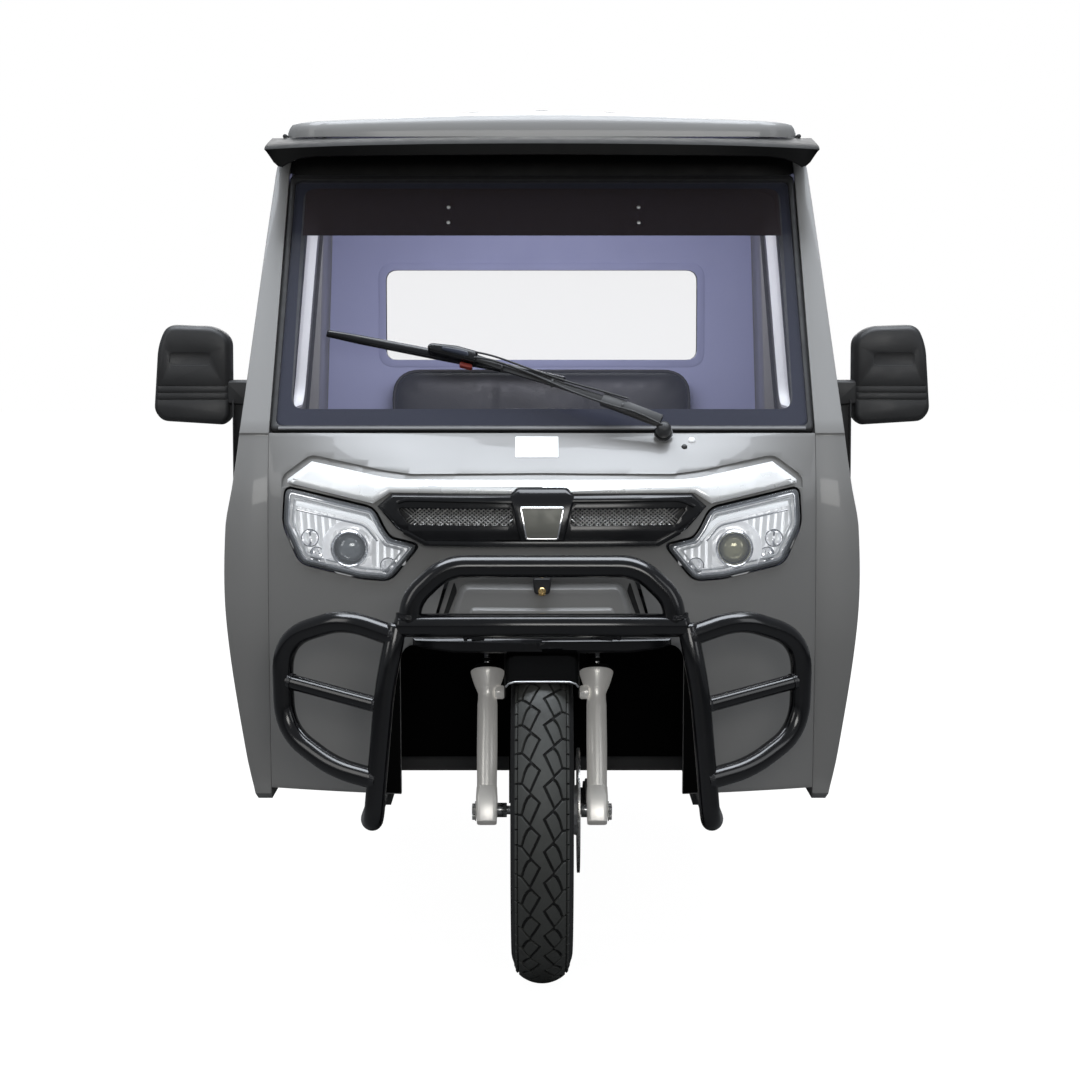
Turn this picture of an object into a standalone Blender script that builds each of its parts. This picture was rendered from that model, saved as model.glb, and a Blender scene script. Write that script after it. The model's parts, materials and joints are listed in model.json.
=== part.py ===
"""Electric cargo tricycle with a closed cab, a steered front wheel and a rear axle under a cargo bed.

The front faces -Y, +Z is up and the ground is z = 0. Sizes are in metres.
"""

import math

import bmesh
import bpy
from mathutils import Matrix, Vector

# Whole vehicle
FRONT_AXLE_Y = -1.230
REAR_TRACK = 0.920
SEAT_GAP = 0.0003

# Front wheel
FRONT_TYRE_RADIUS = 0.302
FRONT_TYRE_WIDTH = 0.111
FRONT_RIM_RADIUS = 0.203
FRONT_RIM_WIDTH = 0.076
FRONT_HUB_WIDTH = 0.092
BRAKE_DISC_RADIUS = 0.110

# Rear wheels
REAR_TYRE_RADIUS = 0.270
REAR_TYRE_WIDTH = 0.115
REAR_RIM_RADIUS = 0.1525
REAR_RIM_WIDTH = 0.086
REAR_HUB_RADIUS = 0.048

# Steering
RAKE = math.radians(22.0)
FORK_OFFSET = 0.040
FORK_LEG_X = 0.0975
FORK_LEG_RADIUS = 0.0178
STANCHION_RADIUS = 0.0150
STEM_RADIUS = 0.0145
HEAD_TUBE_RADIUS = 0.0270
HEAD_TUBE_CLEARANCE = 0.0007
HEAD_TUBE_LOW = 0.385
HEAD_TUBE_HIGH = 0.530
STEM_TOP = 0.665
FRONT_AXLE_RADIUS = 0.0080
AXLE_CLEARANCE = 0.0008

# Cab
CAB_FRONT_HALF_WIDTH = 0.478
PANEL_THICKNESS = 0.018
CAB_BACK = 1.290
REAR_WALL_THICKNESS = 0.030
CAB_FLOOR_THICKNESS = 0.022
SCREEN_BASE_BACK = 0.020
SCREEN_BASE_Z = 0.967
SCREEN_RAKE = math.radians(28.5)
SCREEN_LENGTH = 0.520
SCREEN_HALF_WIDTH = 0.4778
GLASS_THICKNESS = 0.006
SCREEN_FRAME_THICKNESS = 0.014
ROOF_CROWN = 0.052

# Doors
DOOR_FRONT = 0.365
DOOR_BACK = 1.020
DOOR_BOTTOM = 0.420
SIDE_TOP = 1.500
DOOR_HEADROOM = 0.045
DOOR_TOP = SIDE_TOP - DOOR_HEADROOM
DOOR_THICKNESS = 0.036
DOOR_GAP = 0.007
HINGE_X = 0.572

# Chassis
SPRING_INSET = 0.170
RAIL_X = REAR_TRACK / 2 - SPRING_INSET
RAIL_WIDTH = 0.040
RAIL_DEPTH = 0.060
RAIL_LOW_Z = 0.330
RAIL_HIGH_Z = 0.490
RAIL_FRONT = 0.060

# Cargo bed
BED_FRONT = 1.330
BED_LENGTH = 1.420
BED_OVERHANG = 0.050
AXLE_SHARE = 0.5423
WHEELBASE = BED_FRONT + AXLE_SHARE * BED_LENGTH
RAIL_BACK = BED_FRONT + BED_LENGTH - BED_OVERHANG
BED_HALF_WIDTH = 0.525
BED_FLOOR_Z = 0.600
BED_SIDE_HEIGHT = 0.300
BED_WALL = 0.025

# Wheel details
FRONT_WHEEL_SIDES = 26
REAR_WHEEL_SIDES = 22
FLANGE_THICKNESS = 0.0035
FLANGE_HEIGHT = 0.010
WELL_DEPTH = 0.014
FRONT_SPOKES = 6
BRAKE_DISC_X = 0.064
BRAKE_DISC_THICKNESS = 0.004
CALIPER_CLEARANCE = 0.0055
REAR_WHEEL_HOLES = 5
REAR_SPINDLE_RADIUS = 0.017
REAR_DRUM_RADIUS = 0.086
BRAKE_PLATE_CLEARANCE = 0.006
AXLE_TUBE_RADIUS = 0.032

# Fork, mudguard and handlebar
CUP_LOW = 0.198
CUP_HIGH = 0.242
CUP_RADIUS = 0.0265
CLAMP_HIGH = 0.375
CLAMP_DEPTH = 0.036
MUDGUARD_RADIUS = 0.3125
MUDGUARD_HALF_WIDTH = 0.0645
MUDGUARD_THICKNESS = 0.003
MUDGUARD_BACK = -8.0
MUDGUARD_FRONT = 126.0
MUDGUARD_STEPS = 14
STAY_THICKNESS = 0.003
STAY_BOLT_RADIUS = 0.2135
HANDLEBAR_HALF = 0.310
HANDLEBAR_RADIUS = 0.011
POD_HALF_WIDTH = 0.072

# Rear springs
SPRING_WIDTH = 0.045
SPRING_LEAF = 0.008
SPRING_HALF_LENGTH = 0.380
SPRING_SEAT_Z = 0.335
SPRING_CAMBER = 0.062
SPRING_EYE_RADIUS = 0.015

# Front panel and its trim
FRONT_BOTTOM = 0.341
WHEEL_OPENING_HALF = 0.245
WHEEL_OPENING_TOP = 0.608
LID_LOW = 0.628
LID_HIGH = 0.724
LID_BASE = 0.188
LID_TOP = 0.158
LID_GAP = 0.006
LID_HINGE_X = 0.110
LID_HINGE_PROUD = 0.0105
LID_HINGE_DROP = 0.006
LID_PIN_RADIUS = 0.0035
HINGE_PIN_RADIUS = 0.0045
PIN_CLEARANCE = 0.0006
GARNISH_PROUD = 0.014
LAMP_PROUD = 0.010
LAMP_DEPTH = 0.055
GRILLE_PROUD = 0.012
GRILLE_BARS = 6
GRILLE_BAR_START = 0.071
GRILLE_BAR_PITCH = 0.0300
GRILLE_BAR_HALF = 0.0018
FRONT_X_LEVELS = (0.0, 0.14, 0.26, 0.37, 0.478)

# Height, how far the front's outer edge lies behind the axle there,
# and how far its middle bows ahead of that edge
FRONT_TABLE = (
    (0.335, 0.010, 0.092),
    (0.600, -0.012, 0.092),
    (0.720, -0.014, 0.092),
    (0.860, -0.008, 0.092),
    (0.925, 0.004, 0.044),
    (0.967, 0.014, 0.0),
)

# Outlines on the front seen from ahead, for the +X side, as (x, z)
LAMP_OUTLINE = (
    (0.446, 0.874),
    (0.290, 0.841),
    (0.273, 0.807),
    (0.261, 0.790),
    (0.212, 0.779),
    (0.262, 0.718),
    (0.315, 0.721),
    (0.420, 0.744),
    (0.450, 0.810),
)
GARNISH_OUTLINE = [
    (0.0, 0.8905),
    (0.245, 0.8905),
    (0.276, 0.894),
    (0.401, 0.919),
    (0.443, 0.888),
    (0.443, 0.882),
    (0.291, 0.849),
    (0.262, 0.868),
    (0.0, 0.868),
]
GRILLE_OUTLINE = [(0.0, 0.867), (0.258, 0.867), (0.283, 0.845), (0.250, 0.808), (0.207, 0.782), (0.0, 0.782)]
GRILLE_WINDOW = ((0.058, 0.808), (0.225, 0.808), (0.246, 0.838), (0.058, 0.838))
BADGE_OUTLINE = (
    (0.044, 0.866), (0.052, 0.856), (0.036, 0.796), (-0.036, 0.796), (-0.052, 0.856), (-0.044, 0.866)
)
MIRROR_OUTLINE = (
    (0.668, 1.157),
    (0.599, 1.154),
    (0.566, 1.133),
    (0.566, 0.988),
    (0.579, 0.974),
    (0.692, 0.981),
    (0.707, 1.000),
    (0.697, 1.110),
)

# Height, then half the cab's width outside and inside its front pillars
SIDE_TABLE = (
    (0.300, 0.500),
    (0.404, 0.522),
    (0.643, 0.553),
    (0.803, 0.553),
    (0.876, 0.541),
    (0.967, 0.530),
    (1.443, 0.486),
    (1.500, 0.474),
)
INNER_TABLE = (
    (0.300, 0.4783),
    (0.967, 0.4783),
    (1.443, 0.4623),
    (1.500, 0.4530),
)

# Cab sides, roof and hinges
PILLAR_FRONT = 0.012
PILLAR_BOTTOM = 0.318
SILL_BOTTOM = 0.345
SILL_TOP = 0.3606
DOOR_BACK_GAP = 0.013
DOOR_PROUD = 0.012
WINDOW_MARGIN = 0.050
WINDOW_HEIGHT = 0.420
HINGE_BACK = 0.368
HINGE_HEIGHTS = (0.520, 0.900)
HANDLE_Z = 0.880
SCREEN_MARGIN = 0.010
SCREEN_TAPER = 0.0307
ROOF_FRONT = 0.275
ROOF_BACK = 1.318
ROOF_EDGE = 0.026
ROOF_HALF_WIDTH = 0.474
VISOR_HALF_WIDTH = 0.500
VISOR_FRONT = 0.100
VISOR_SWEEP = 0.050
VISOR_BOTTOM = 1.4345
VISOR_DROP = 0.034
VISOR_TAPER_START = 0.380
VISOR_TIP_RISE = 0.020
VISOR_TIP_DROP = 0.004
REAR_WINDOW_HALF = 0.351
REAR_WINDOW_LOW = 1.075
REAR_WINDOW_HIGH = 1.284
MIRROR_BACK = 0.190
MIRROR_DEPTH = 0.060

# Wiper, in the windscreen's plane
WIPER_X = 0.212
WIPER_UP = -0.008
ADAPTOR_X = -0.163
ADAPTOR_UP = 0.137
BLADE_TIP_X = -0.382
BLADE_TIP_UP = 0.190
BLADE_END_X = 0.041
BLADE_END_UP = 0.097

# Bull bar, liner and chassis details
GUARD = -0.250
HOOP_RADIUS = 0.0165
LEG_RADIUS = 0.016
LOOP_RADIUS = 0.0165
BRACE_RADIUS = 0.0125
# The hoop's centre line round its +X corner, as (x, height)
HOOP_CORNER = (
    (0.222, 0.655),
    (0.218, 0.688),
    (0.208, 0.713),
    (0.193, 0.733),
    (0.172, 0.748),
    (0.145, 0.755),
)
FOOT_Z = 0.322
LINER_WALL = 0.004
LINER_BACK = 0.342
LINER_TOP = 0.620
KICK_FRONT = 1.310
KICK_BACK = 1.450
BEAM_WIDTH = 0.040
# Distance behind the axle and height of each cross beam between the rails
CROSS_BEAMS = (
    (0.370, RAIL_LOW_Z),
    (1.150, RAIL_LOW_Z),
    (1.480, RAIL_HIGH_Z),
    (1.960, RAIL_HIGH_Z),
    (RAIL_BACK - 0.060, RAIL_HIGH_Z),
)
NECK_SPREAD = 0.120

# Cab inside
TOE_BOARD_FRONT = 0.425
TOE_BOARD_TOP = 0.740
SEAT_FRONT = 0.800
SEAT_HALF_WIDTH = 0.330
SEAT_LENGTH = 0.370
SEAT_BASE_TOP = 0.610
SEAT_CUSHION_HEIGHT = 0.110
BACKREST_TOP = 1.060
BACKREST_DEPTH = 0.080

# Bed, tailgate, mudguards, bumper and battery
BED_FLOOR_THICKNESS = 0.015
HEADBOARD_RISE = 0.100
BED_POSTS = 5
BEARER_WIDTH = 0.040
BEARER_HALF = 0.500
# Place of each bearer under the bed as a share of its length, and whether it stops short of the rear wheels
BED_BEARERS = ((0.05, False), (0.26, False), (0.53, True), (0.78, False), (0.94, False))
GATE_HINGE_X = 0.350
GATE_GAP = 0.006
GATE_POSTS = 5
REAR_GUARD_RADIUS = 0.290
REAR_GUARD_ANGLE = 78.0
REAR_GUARD_STEPS = 14
BUMPER_HALF = 0.480
BATTERY_SIDE_GAP = 0.020
WHEEL_ROOM = 0.042
BATTERY_HEIGHT = 0.230

SIDES = (("right", -1), ("left", 1))


def behind(distance):
    """Y of a point this far behind the front axle."""
    return FRONT_AXLE_Y + distance


REAR_AXLE_Y = behind(WHEELBASE)


def clear_scene():
    for item in list(bpy.data.objects):
        bpy.data.objects.remove(item, do_unlink=True)


def make_finish(name, colour, roughness, metallic, alpha=1.0):
    finish = bpy.data.materials.new(name)
    finish.use_nodes = True
    shader = finish.node_tree.nodes["Principled BSDF"]
    shader.inputs["Base Color"].default_value = (*colour, 1.0)
    shader.inputs["Roughness"].default_value = roughness
    shader.inputs["Metallic"].default_value = metallic
    shader.inputs["Alpha"].default_value = alpha
    return finish


def solid(points, faces):
    """Closed bmesh of points and faces, with its normals outwards."""
    shape = bmesh.new()
    corners = [shape.verts.new(point) for point in points]
    for face in faces:
        shape.faces.new([corners[index] for index in face])
    bmesh.ops.recalc_face_normals(shape, faces=shape.faces)
    return shape


def block(x_range, y_range, z_range):
    """Box between the two ends of each range."""
    outline = [
        (x_range[0], y_range[0]), (x_range[1], y_range[0]), (x_range[1], y_range[1]),
        (x_range[0], y_range[1])
    ]
    return plate(outline, "z", z_range[0], z_range[1])


def plate(outline, axis, low, high):
    """Closed outline in the two other coordinates, in XYZ order, extruded along axis."""
    index = "xyz".index(axis)
    count = len(outline)
    points = []
    for level in (low, high):
        points += [(*point[:index], level, *point[index:]) for point in outline]
    faces = [list(range(count)), list(range(count, 2 * count))]
    for first in range(count):
        second = (first + 1) % count
        faces.append([first, second, count + second, count + first])
    return solid(points, faces)


def loft(loops):
    """Closed loops of equal count joined in turn, with flat ends."""
    count = len(loops[0])
    points = [point for loop in loops for point in loop]
    last = count * (len(loops) - 1)
    faces = [list(range(count)), list(range(last, last + count))]
    for row in range(len(loops) - 1):
        base = row * count
        for first in range(count):
            second = (first + 1) % count
            faces.append([base + first, base + second, base + count + second, base + count + first])
    return solid(points, faces)


def revolve(profile, axis, centre, sides):
    """Closed profile of (radius, along) points turned round an axis through centre."""
    index = "xyz".index(axis)
    points = []
    rows = []
    for radius, along in profile:
        row = []
        for step in range(sides):
            if radius == 0.0 and row:
                row.append(row[0])
                continue
            angle = math.tau * step / sides
            ring = [radius * math.cos(angle), radius * math.sin(angle)]
            ring.insert(index, along)
            row.append(len(points))
            points.append(Vector(centre) + Vector(ring))
        rows.append(row)
    faces = []
    for near, far in zip(rows, rows[1:] + rows[:1]):
        for step in range(sides):
            after = (step + 1) % sides
            face = list(dict.fromkeys((near[step], near[after], far[after], far[step])))
            if len(face) > 2:
                faces.append(face)
    return solid(points, faces)


def revolve_on_flat(profile, centre, sides):
    """Profile turned round a wheel's axle, with a flat at the bottom that lies at the profile's radius."""
    stretch = 1.0 / math.cos(math.pi / sides)
    shape = revolve([(radius * stretch, along) for radius, along in profile], "x", (0.0, 0.0, 0.0), sides)
    turn = Matrix.Rotation(math.pi / sides - math.pi / 2, 4, "X")
    return moved(shape, Matrix.Translation(centre) @ turn)


def rod(axis, centre, radius, low, high, sides=20):
    """Round bar along axis, from low to high about centre."""
    return revolve([(0.0, low), (radius, low), (radius, high), (0.0, high)], axis, centre, sides)


def bend(points, radius, steps=4, closed=False):
    """Path or outline with its corners rounded over the given distance."""
    corners = [Vector(point) for point in points]
    count = len(corners)
    path = []
    for index, corner in enumerate(corners):
        if not closed and index in (0, count - 1):
            path.append(corner)
            continue
        before = corners[index - 1] - corner
        after = corners[(index + 1) % count] - corner
        reach = min(radius, 0.45 * before.length, 0.45 * after.length)
        start = corner + before.normalized() * reach
        end = corner + after.normalized() * reach
        for step in range(steps + 1):
            share = step / steps
            path.append(start * (1 - share) ** 2 + corner * 2 * share * (1 - share) + end * share ** 2)
    return [tuple(point) for point in path]


def tube(points, radius, sides=10):
    """Round bar swept along a path, with flat ends."""
    path = [Vector(point) for point in points]
    tangents = []
    for index in range(len(path)):
        before = path[max(index - 1, 0)]
        after = path[min(index + 1, len(path) - 1)]
        tangents.append((after - before).normalized())
    side = tangents[0].orthogonal().normalized()
    loops = []
    for point, tangent in zip(path, tangents):
        side = (side - tangent * side.dot(tangent)).normalized()
        other = tangent.cross(side)
        loop = []
        for step in range(sides):
            angle = math.tau * step / sides
            loop.append(point + radius * (math.cos(angle) * side + math.sin(angle) * other))
        loops.append(loop)
    return loft(loops)


def ribbon(points, half_width):
    """Outline of constant width round a two-dimensional path."""
    path = [Vector(point) for point in points]
    near = []
    far = []
    for index, point in enumerate(path):
        normals = []
        if index > 0:
            step = (point - path[index - 1]).normalized()
            normals.append(Vector((-step.y, step.x)))
        if index < len(path) - 1:
            step = (path[index + 1] - point).normalized()
            normals.append(Vector((-step.y, step.x)))
        normal = sum(normals, Vector((0.0, 0.0))).normalized()
        reach = half_width / normal.dot(normals[0])
        near.append(tuple(point + normal * reach))
        far.append(tuple(point - normal * reach))
    return near + far[::-1]


def as_object(shape):
    mesh = bpy.data.meshes.new("working")
    shape.to_mesh(mesh)
    shape.free()
    item = bpy.data.objects.new("working", mesh)
    bpy.context.scene.collection.objects.link(item)
    return item


def combine(base, tool, operation):
    """Boolean of two closed shapes, with the seams between them merged."""
    body = as_object(base)
    helper = as_object(tool)
    step = body.modifiers.new("step", "BOOLEAN")
    step.operation = operation
    step.object = helper
    graph = bpy.context.evaluated_depsgraph_get()
    result = bpy.data.meshes.new_from_object(body.evaluated_get(graph))
    shape = bmesh.new()
    shape.from_mesh(result)
    bpy.data.meshes.remove(result)
    for item in (body, helper):
        mesh = item.data
        bpy.data.objects.remove(item, do_unlink=True)
        bpy.data.meshes.remove(mesh)
    bmesh.ops.remove_doubles(shape, verts=shape.verts, dist=2e-6)
    bmesh.ops.dissolve_degenerate(shape, edges=shape.edges, dist=2e-6)
    return shape


def union(shapes):
    base = shapes[0]
    for shape in shapes[1:]:
        base = combine(base, shape, "UNION")
    return base


def cut(base, tools):
    for tool in tools:
        base = combine(base, tool, "DIFFERENCE")
    return base


def moved(shape, matrix):
    bmesh.ops.transform(shape, matrix=matrix, verts=shape.verts)
    if matrix.determinant() < 0:
        bmesh.ops.reverse_faces(shape, faces=shape.faces)
    return shape


def bisect(shape, levels):
    """Cut the faces of a shape at levels of each coordinate."""
    for letter, values in levels.items():
        normal = Vector([float(letter == other) for other in "xyz"])
        for value in values:
            geometry = [*shape.verts, *shape.edges, *shape.faces]
            bmesh.ops.bisect_plane(shape, geom=geometry, dist=1e-5, plane_co=normal * value, plane_no=normal)


def drape(shape, levels, axis, shift):
    """Cut a flat shape at levels of each coordinate, then move its points along axis by shift(point)."""
    bisect(shape, levels)
    index = "xyz".index(axis)
    for vertex in shape.verts:
        vertex.co[index] += shift(vertex.co)
    return shape


def lookup(table, value, column):
    """Column of a table at a value of its first column, straight between its rows."""
    if value <= table[0][0]:
        return table[0][column]
    for low, high in zip(table, table[1:]):
        if value <= high[0]:
            share = (value - low[0]) / (high[0] - low[0])
            return low[column] + share * (high[column] - low[column])
    return table[-1][column]


def add_pivot(name, place):
    pivot = bpy.data.objects.new(name, None)
    pivot.location = place
    bpy.context.scene.collection.objects.link(pivot)
    return pivot


def add_part(name, shape, finish, pivot=None):
    """Object of a shape that is built in place, with its origin on its pivot if it moves."""
    if pivot:
        bmesh.ops.translate(shape, verts=shape.verts, vec=-pivot.location)
    mesh = bpy.data.meshes.new(name)
    shape.to_mesh(mesh)
    shape.free()
    mesh.materials.append(finish)
    mesh.shade_smooth()
    mesh.set_sharp_from_angle(angle=math.radians(32))
    part = bpy.data.objects.new(name, mesh)
    bpy.context.scene.collection.objects.link(part)
    part.parent = pivot
    return part


def steering_frame():
    """Frame on the steering axis at axle height: X across, Y away from the axis backwards, Z up the axis."""
    foot = Vector((0.0, behind(FORK_OFFSET), FRONT_TYRE_RADIUS))
    return Matrix.Translation(foot) @ Matrix.Rotation(-RAKE, 4, "X")


AXLE_Y = -FORK_OFFSET * math.cos(RAKE)
AXLE_Z = -FORK_OFFSET * math.sin(RAKE)


def rim_ring(radius, width, axis_centre, sides):
    """Rim with a flange on each side of its bead seat."""
    half = width / 2
    seat = half - FLANGE_THICKNESS
    top = radius + FLANGE_HEIGHT
    well = radius - WELL_DEPTH
    profile = [
        (radius, -seat), (top, -seat), (top, -half), (radius - 0.006, -half), (well - 0.004, -0.45 * half)
    ]
    profile += [(well - 0.004, 0.45 * half), (radius - 0.006, half), (top, half), (top, seat), (radius, seat)]
    return revolve_on_flat(profile, axis_centre, sides)


def tyre_ring(rim_radius, rim_width, radius, width, axis_centre, sides):
    """Tyre from its bead seat to its tread, solid inside."""
    bead = rim_width / 2 - FLANGE_THICKNESS - SEAT_GAP
    half = width / 2
    height = radius - rim_radius
    side = [(rim_radius + SEAT_GAP, bead), (rim_radius + FLANGE_HEIGHT + 0.003, bead)]
    side += [(rim_radius + 0.38 * height, 0.94 * half), (rim_radius + 0.58 * height, half)]
    side += [(rim_radius + 0.78 * height, 0.93 * half), (rim_radius + 0.94 * height, 0.62 * half)]
    side += [(radius, 0.25 * half)]
    profile = side + [(reach, -along) for reach, along in side[::-1]]
    return revolve_on_flat(profile, axis_centre, sides)


def spoke(centre, inner, outer, angle, half_inner, half_outer, thickness):
    """Flat tapered spoke across a wheel that turns about X."""
    outline = [(inner, -half_inner), (outer, -half_outer), (outer, half_outer), (inner, half_inner)]
    shape = plate(outline, "x", -thickness / 2, thickness / 2)
    return moved(shape, Matrix.Translation(centre) @ Matrix.Rotation(angle, 4, "X"))


def build_front_wheel(finishes, wheel):
    centre = (0.0, FRONT_AXLE_Y, FRONT_TYRE_RADIUS)
    tyre = tyre_ring(
        FRONT_RIM_RADIUS, FRONT_RIM_WIDTH, FRONT_TYRE_RADIUS, FRONT_TYRE_WIDTH, centre, FRONT_WHEEL_SIDES
    )
    add_part("front_tyre", tyre, finishes["tyre"], wheel)
    bore = FRONT_AXLE_RADIUS + AXLE_CLEARANCE
    disc_outer = BRAKE_DISC_X + BRAKE_DISC_THICKNESS / 2
    hub_profile = [
        (bore, -FRONT_HUB_WIDTH / 2), (0.026, -FRONT_HUB_WIDTH / 2), (0.036, -0.024), (0.036, 0.030)
    ]
    hub_profile += [(0.046, disc_outer), (bore, disc_outer)]
    shapes = [revolve(hub_profile, "x", centre, 14)]
    for number in range(FRONT_SPOKES):
        angle = math.tau * number / FRONT_SPOKES
        shapes.append(spoke(centre, 0.030, FRONT_RIM_RADIUS - WELL_DEPTH - 0.001, angle, 0.020, 0.012, 0.030))
    disc = [(0.030, -0.5), (BRAKE_DISC_RADIUS, -0.5), (BRAKE_DISC_RADIUS, 0.5), (0.030, 0.5)]
    disc = [(radius, BRAKE_DISC_X + along * BRAKE_DISC_THICKNESS) for radius, along in disc]
    shapes.append(revolve(disc, "x", centre, 18))
    shapes.append(rim_ring(FRONT_RIM_RADIUS, FRONT_RIM_WIDTH, centre, FRONT_WHEEL_SIDES))
    add_part("front_wheel", union(shapes), finishes["alloy"], wheel)


def fork_leg(side):
    profile = [(0.0, AXLE_Z - 0.026), (FORK_LEG_RADIUS, AXLE_Z - 0.026), (FORK_LEG_RADIUS, CUP_LOW)]
    profile += [(CUP_RADIUS, CUP_HIGH - 0.006), (CUP_RADIUS, CUP_HIGH), (STANCHION_RADIUS, CUP_HIGH + 0.004)]
    profile += [(STANCHION_RADIUS, CLAMP_HIGH), (0.0, CLAMP_HIGH)]
    return revolve(profile, "z", (side * FORK_LEG_X, AXLE_Y, 0.0), 12)


def build_fork(finishes, steering):
    shapes = [fork_leg(-1), fork_leg(1)]
    reach = FORK_LEG_X + 0.026
    outline = [(-reach, AXLE_Y - 0.024), (reach, AXLE_Y - 0.024), (reach, AXLE_Y + 0.022), (0.045, 0.034)]
    outline += [(-0.045, 0.034), (-reach, AXLE_Y + 0.022)]
    outline = bend(outline, 0.014, 2, closed=True)
    shapes.append(plate(outline, "z", CLAMP_HIGH - CLAMP_DEPTH, CLAMP_HIGH - 0.004))
    shapes.append(rod("z", (0.0, 0.0, 0.0), STEM_RADIUS, CLAMP_HIGH - 0.020, STEM_TOP, 14))
    shapes.append(rod("x", (0.0, AXLE_Y, AXLE_Z), FRONT_AXLE_RADIUS, -reach, reach, 10))
    hub_ends = (-FRONT_HUB_WIDTH / 2, BRAKE_DISC_X + BRAKE_DISC_THICKNESS / 2)
    for side, hub_end in zip((-1, 1), hub_ends):
        ends = sorted((hub_end + side * AXLE_CLEARANCE, side * (FORK_LEG_X - 0.004)))
        shapes.append(rod("x", (0.0, AXLE_Y, AXLE_Z), 0.013, *ends, 10))
        ends = sorted((side * (FORK_LEG_X - 0.012), side * (FORK_LEG_X + 0.019)))
        shapes.append(rod("x", (0.0, AXLE_Y, AXLE_Z), 0.023, *ends, 12))
        ends = sorted((side * (MUDGUARD_HALF_WIDTH + STAY_THICKNESS + SEAT_GAP), side * FORK_LEG_X))
        shapes.append(rod("x", (0.0, AXLE_Y, AXLE_Z + STAY_BOLT_RADIUS), 0.007, *ends, 8))
    shapes += caliper_shapes()
    add_part("front_fork", moved(union(shapes), steering_frame()), finishes["silver"], steering)


def caliper_shapes():
    """Bracket, bridge and inner jaw of the brake caliper, clear of the disc all round."""
    near = BRAKE_DISC_X + BRAKE_DISC_THICKNESS / 2 + CALIPER_CLEARANCE
    far = BRAKE_DISC_X - BRAKE_DISC_THICKNESS / 2 - CALIPER_CLEARANCE
    bridge = AXLE_Y + BRAKE_DISC_RADIUS + CALIPER_CLEARANCE + 0.002
    heights = (AXLE_Z + 0.022, AXLE_Z + 0.070)
    bracket = block((near, near + 0.014), (AXLE_Y + 0.004, bridge + 0.016), heights)
    middle = block((far - 0.013, near + 0.014), (bridge, bridge + 0.016), heights)
    jaw = block((far - 0.013, far), (bridge - 0.036, bridge + 0.016), heights)
    return [bracket, middle, jaw]


def build_mudguard(finishes, steering):
    outer = MUDGUARD_RADIUS
    half = MUDGUARD_HALF_WIDTH
    skin = MUDGUARD_THICKNESS
    crown = [(outer - 0.040, half), (outer - 0.012, half), (outer, half - 0.014)]
    under = [
        (outer - skin, half - 0.014 - 0.4 * skin), (outer - 0.012, half - skin),
        (outer - 0.040, half - skin)
    ]
    section = crown + [(reach, -along) for reach, along in crown[::-1]]
    section += [(reach, -along) for reach, along in under[::-1]] + under
    loops = []
    for step in range(MUDGUARD_STEPS + 1):
        angle = math.radians(MUDGUARD_BACK + (MUDGUARD_FRONT - MUDGUARD_BACK) * step / MUDGUARD_STEPS)
        across = (math.cos(angle), math.sin(angle))
        loops.append(
            [(x, FRONT_AXLE_Y + r * across[0], FRONT_TYRE_RADIUS + r * across[1]) for r, x in section]
        )
    shapes = [loft(loops)]
    for side in (-1, 1):
        x_range = sorted((side * (half - 0.001), side * (half + STAY_THICKNESS)))
        outline = ribbon(
            [(AXLE_Y, AXLE_Z + STAY_BOLT_RADIUS - 0.008), (AXLE_Y, AXLE_Z + outer - 0.016)], 0.009
        )
        shapes.append(moved(plate(outline, "x", *x_range), steering_frame()))
    add_part("front_mudguard", union(shapes), finishes["black"], steering)


def build_handlebar(finishes, steering):
    clamp = [(STEM_RADIUS + SEAT_GAP, STEM_TOP - 0.050), (0.027, STEM_TOP - 0.050), (0.027, STEM_TOP - 0.004)]
    clamp += [(STEM_RADIUS + SEAT_GAP, STEM_TOP - 0.004)]
    shapes = [revolve(clamp, "z", (0.0, 0.0, 0.0), 14)]
    shapes.append(block((-0.024, 0.024), (0.018, 0.046), (STEM_TOP - 0.044, STEM_TOP + 0.0006)))
    bar = STEM_TOP - 0.010
    half = [(HANDLEBAR_HALF, 0.150, bar + 0.118), (0.170, 0.104, bar + 0.108), (0.115, 0.046, bar)]
    path = half + [(-x, y, z) for x, y, z in half[::-1]]
    shapes.append(tube(bend(path, 0.030, 3), HANDLEBAR_RADIUS, 8))
    for side in (-1, 1):
        grip = [
            (side * (HANDLEBAR_HALF + 0.006), 0.1515, bar + 0.1184),
            (side * (HANDLEBAR_HALF - 0.115), 0.117, bar + 0.111)
        ]
        shapes.append(tube(grip, HANDLEBAR_RADIUS + 0.006, 10))
        lever = [
            (side * 0.185, 0.104, bar + 0.108), (side * 0.200, 0.068, bar + 0.112),
            (side * 0.295, 0.098, bar + 0.114)
        ]
        shapes.append(tube(bend(lever, 0.012, 2), 0.0065, 6))
    add_part("handlebar", moved(union(shapes), steering_frame()), finishes["black"], steering)
    base = bar + HANDLEBAR_RADIUS + SEAT_GAP
    outline = [
        (0.006, base), (0.058, base), (0.050, base + 0.085), (-0.012, base + 0.085), (-0.022, base + 0.040)
    ]
    pod = plate(bend(outline, 0.012, 2, closed=True), "x", -POD_HALF_WIDTH, POD_HALF_WIDTH)
    add_part("instrument_pod", moved(pod, steering_frame()), finishes["black"], steering)


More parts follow.
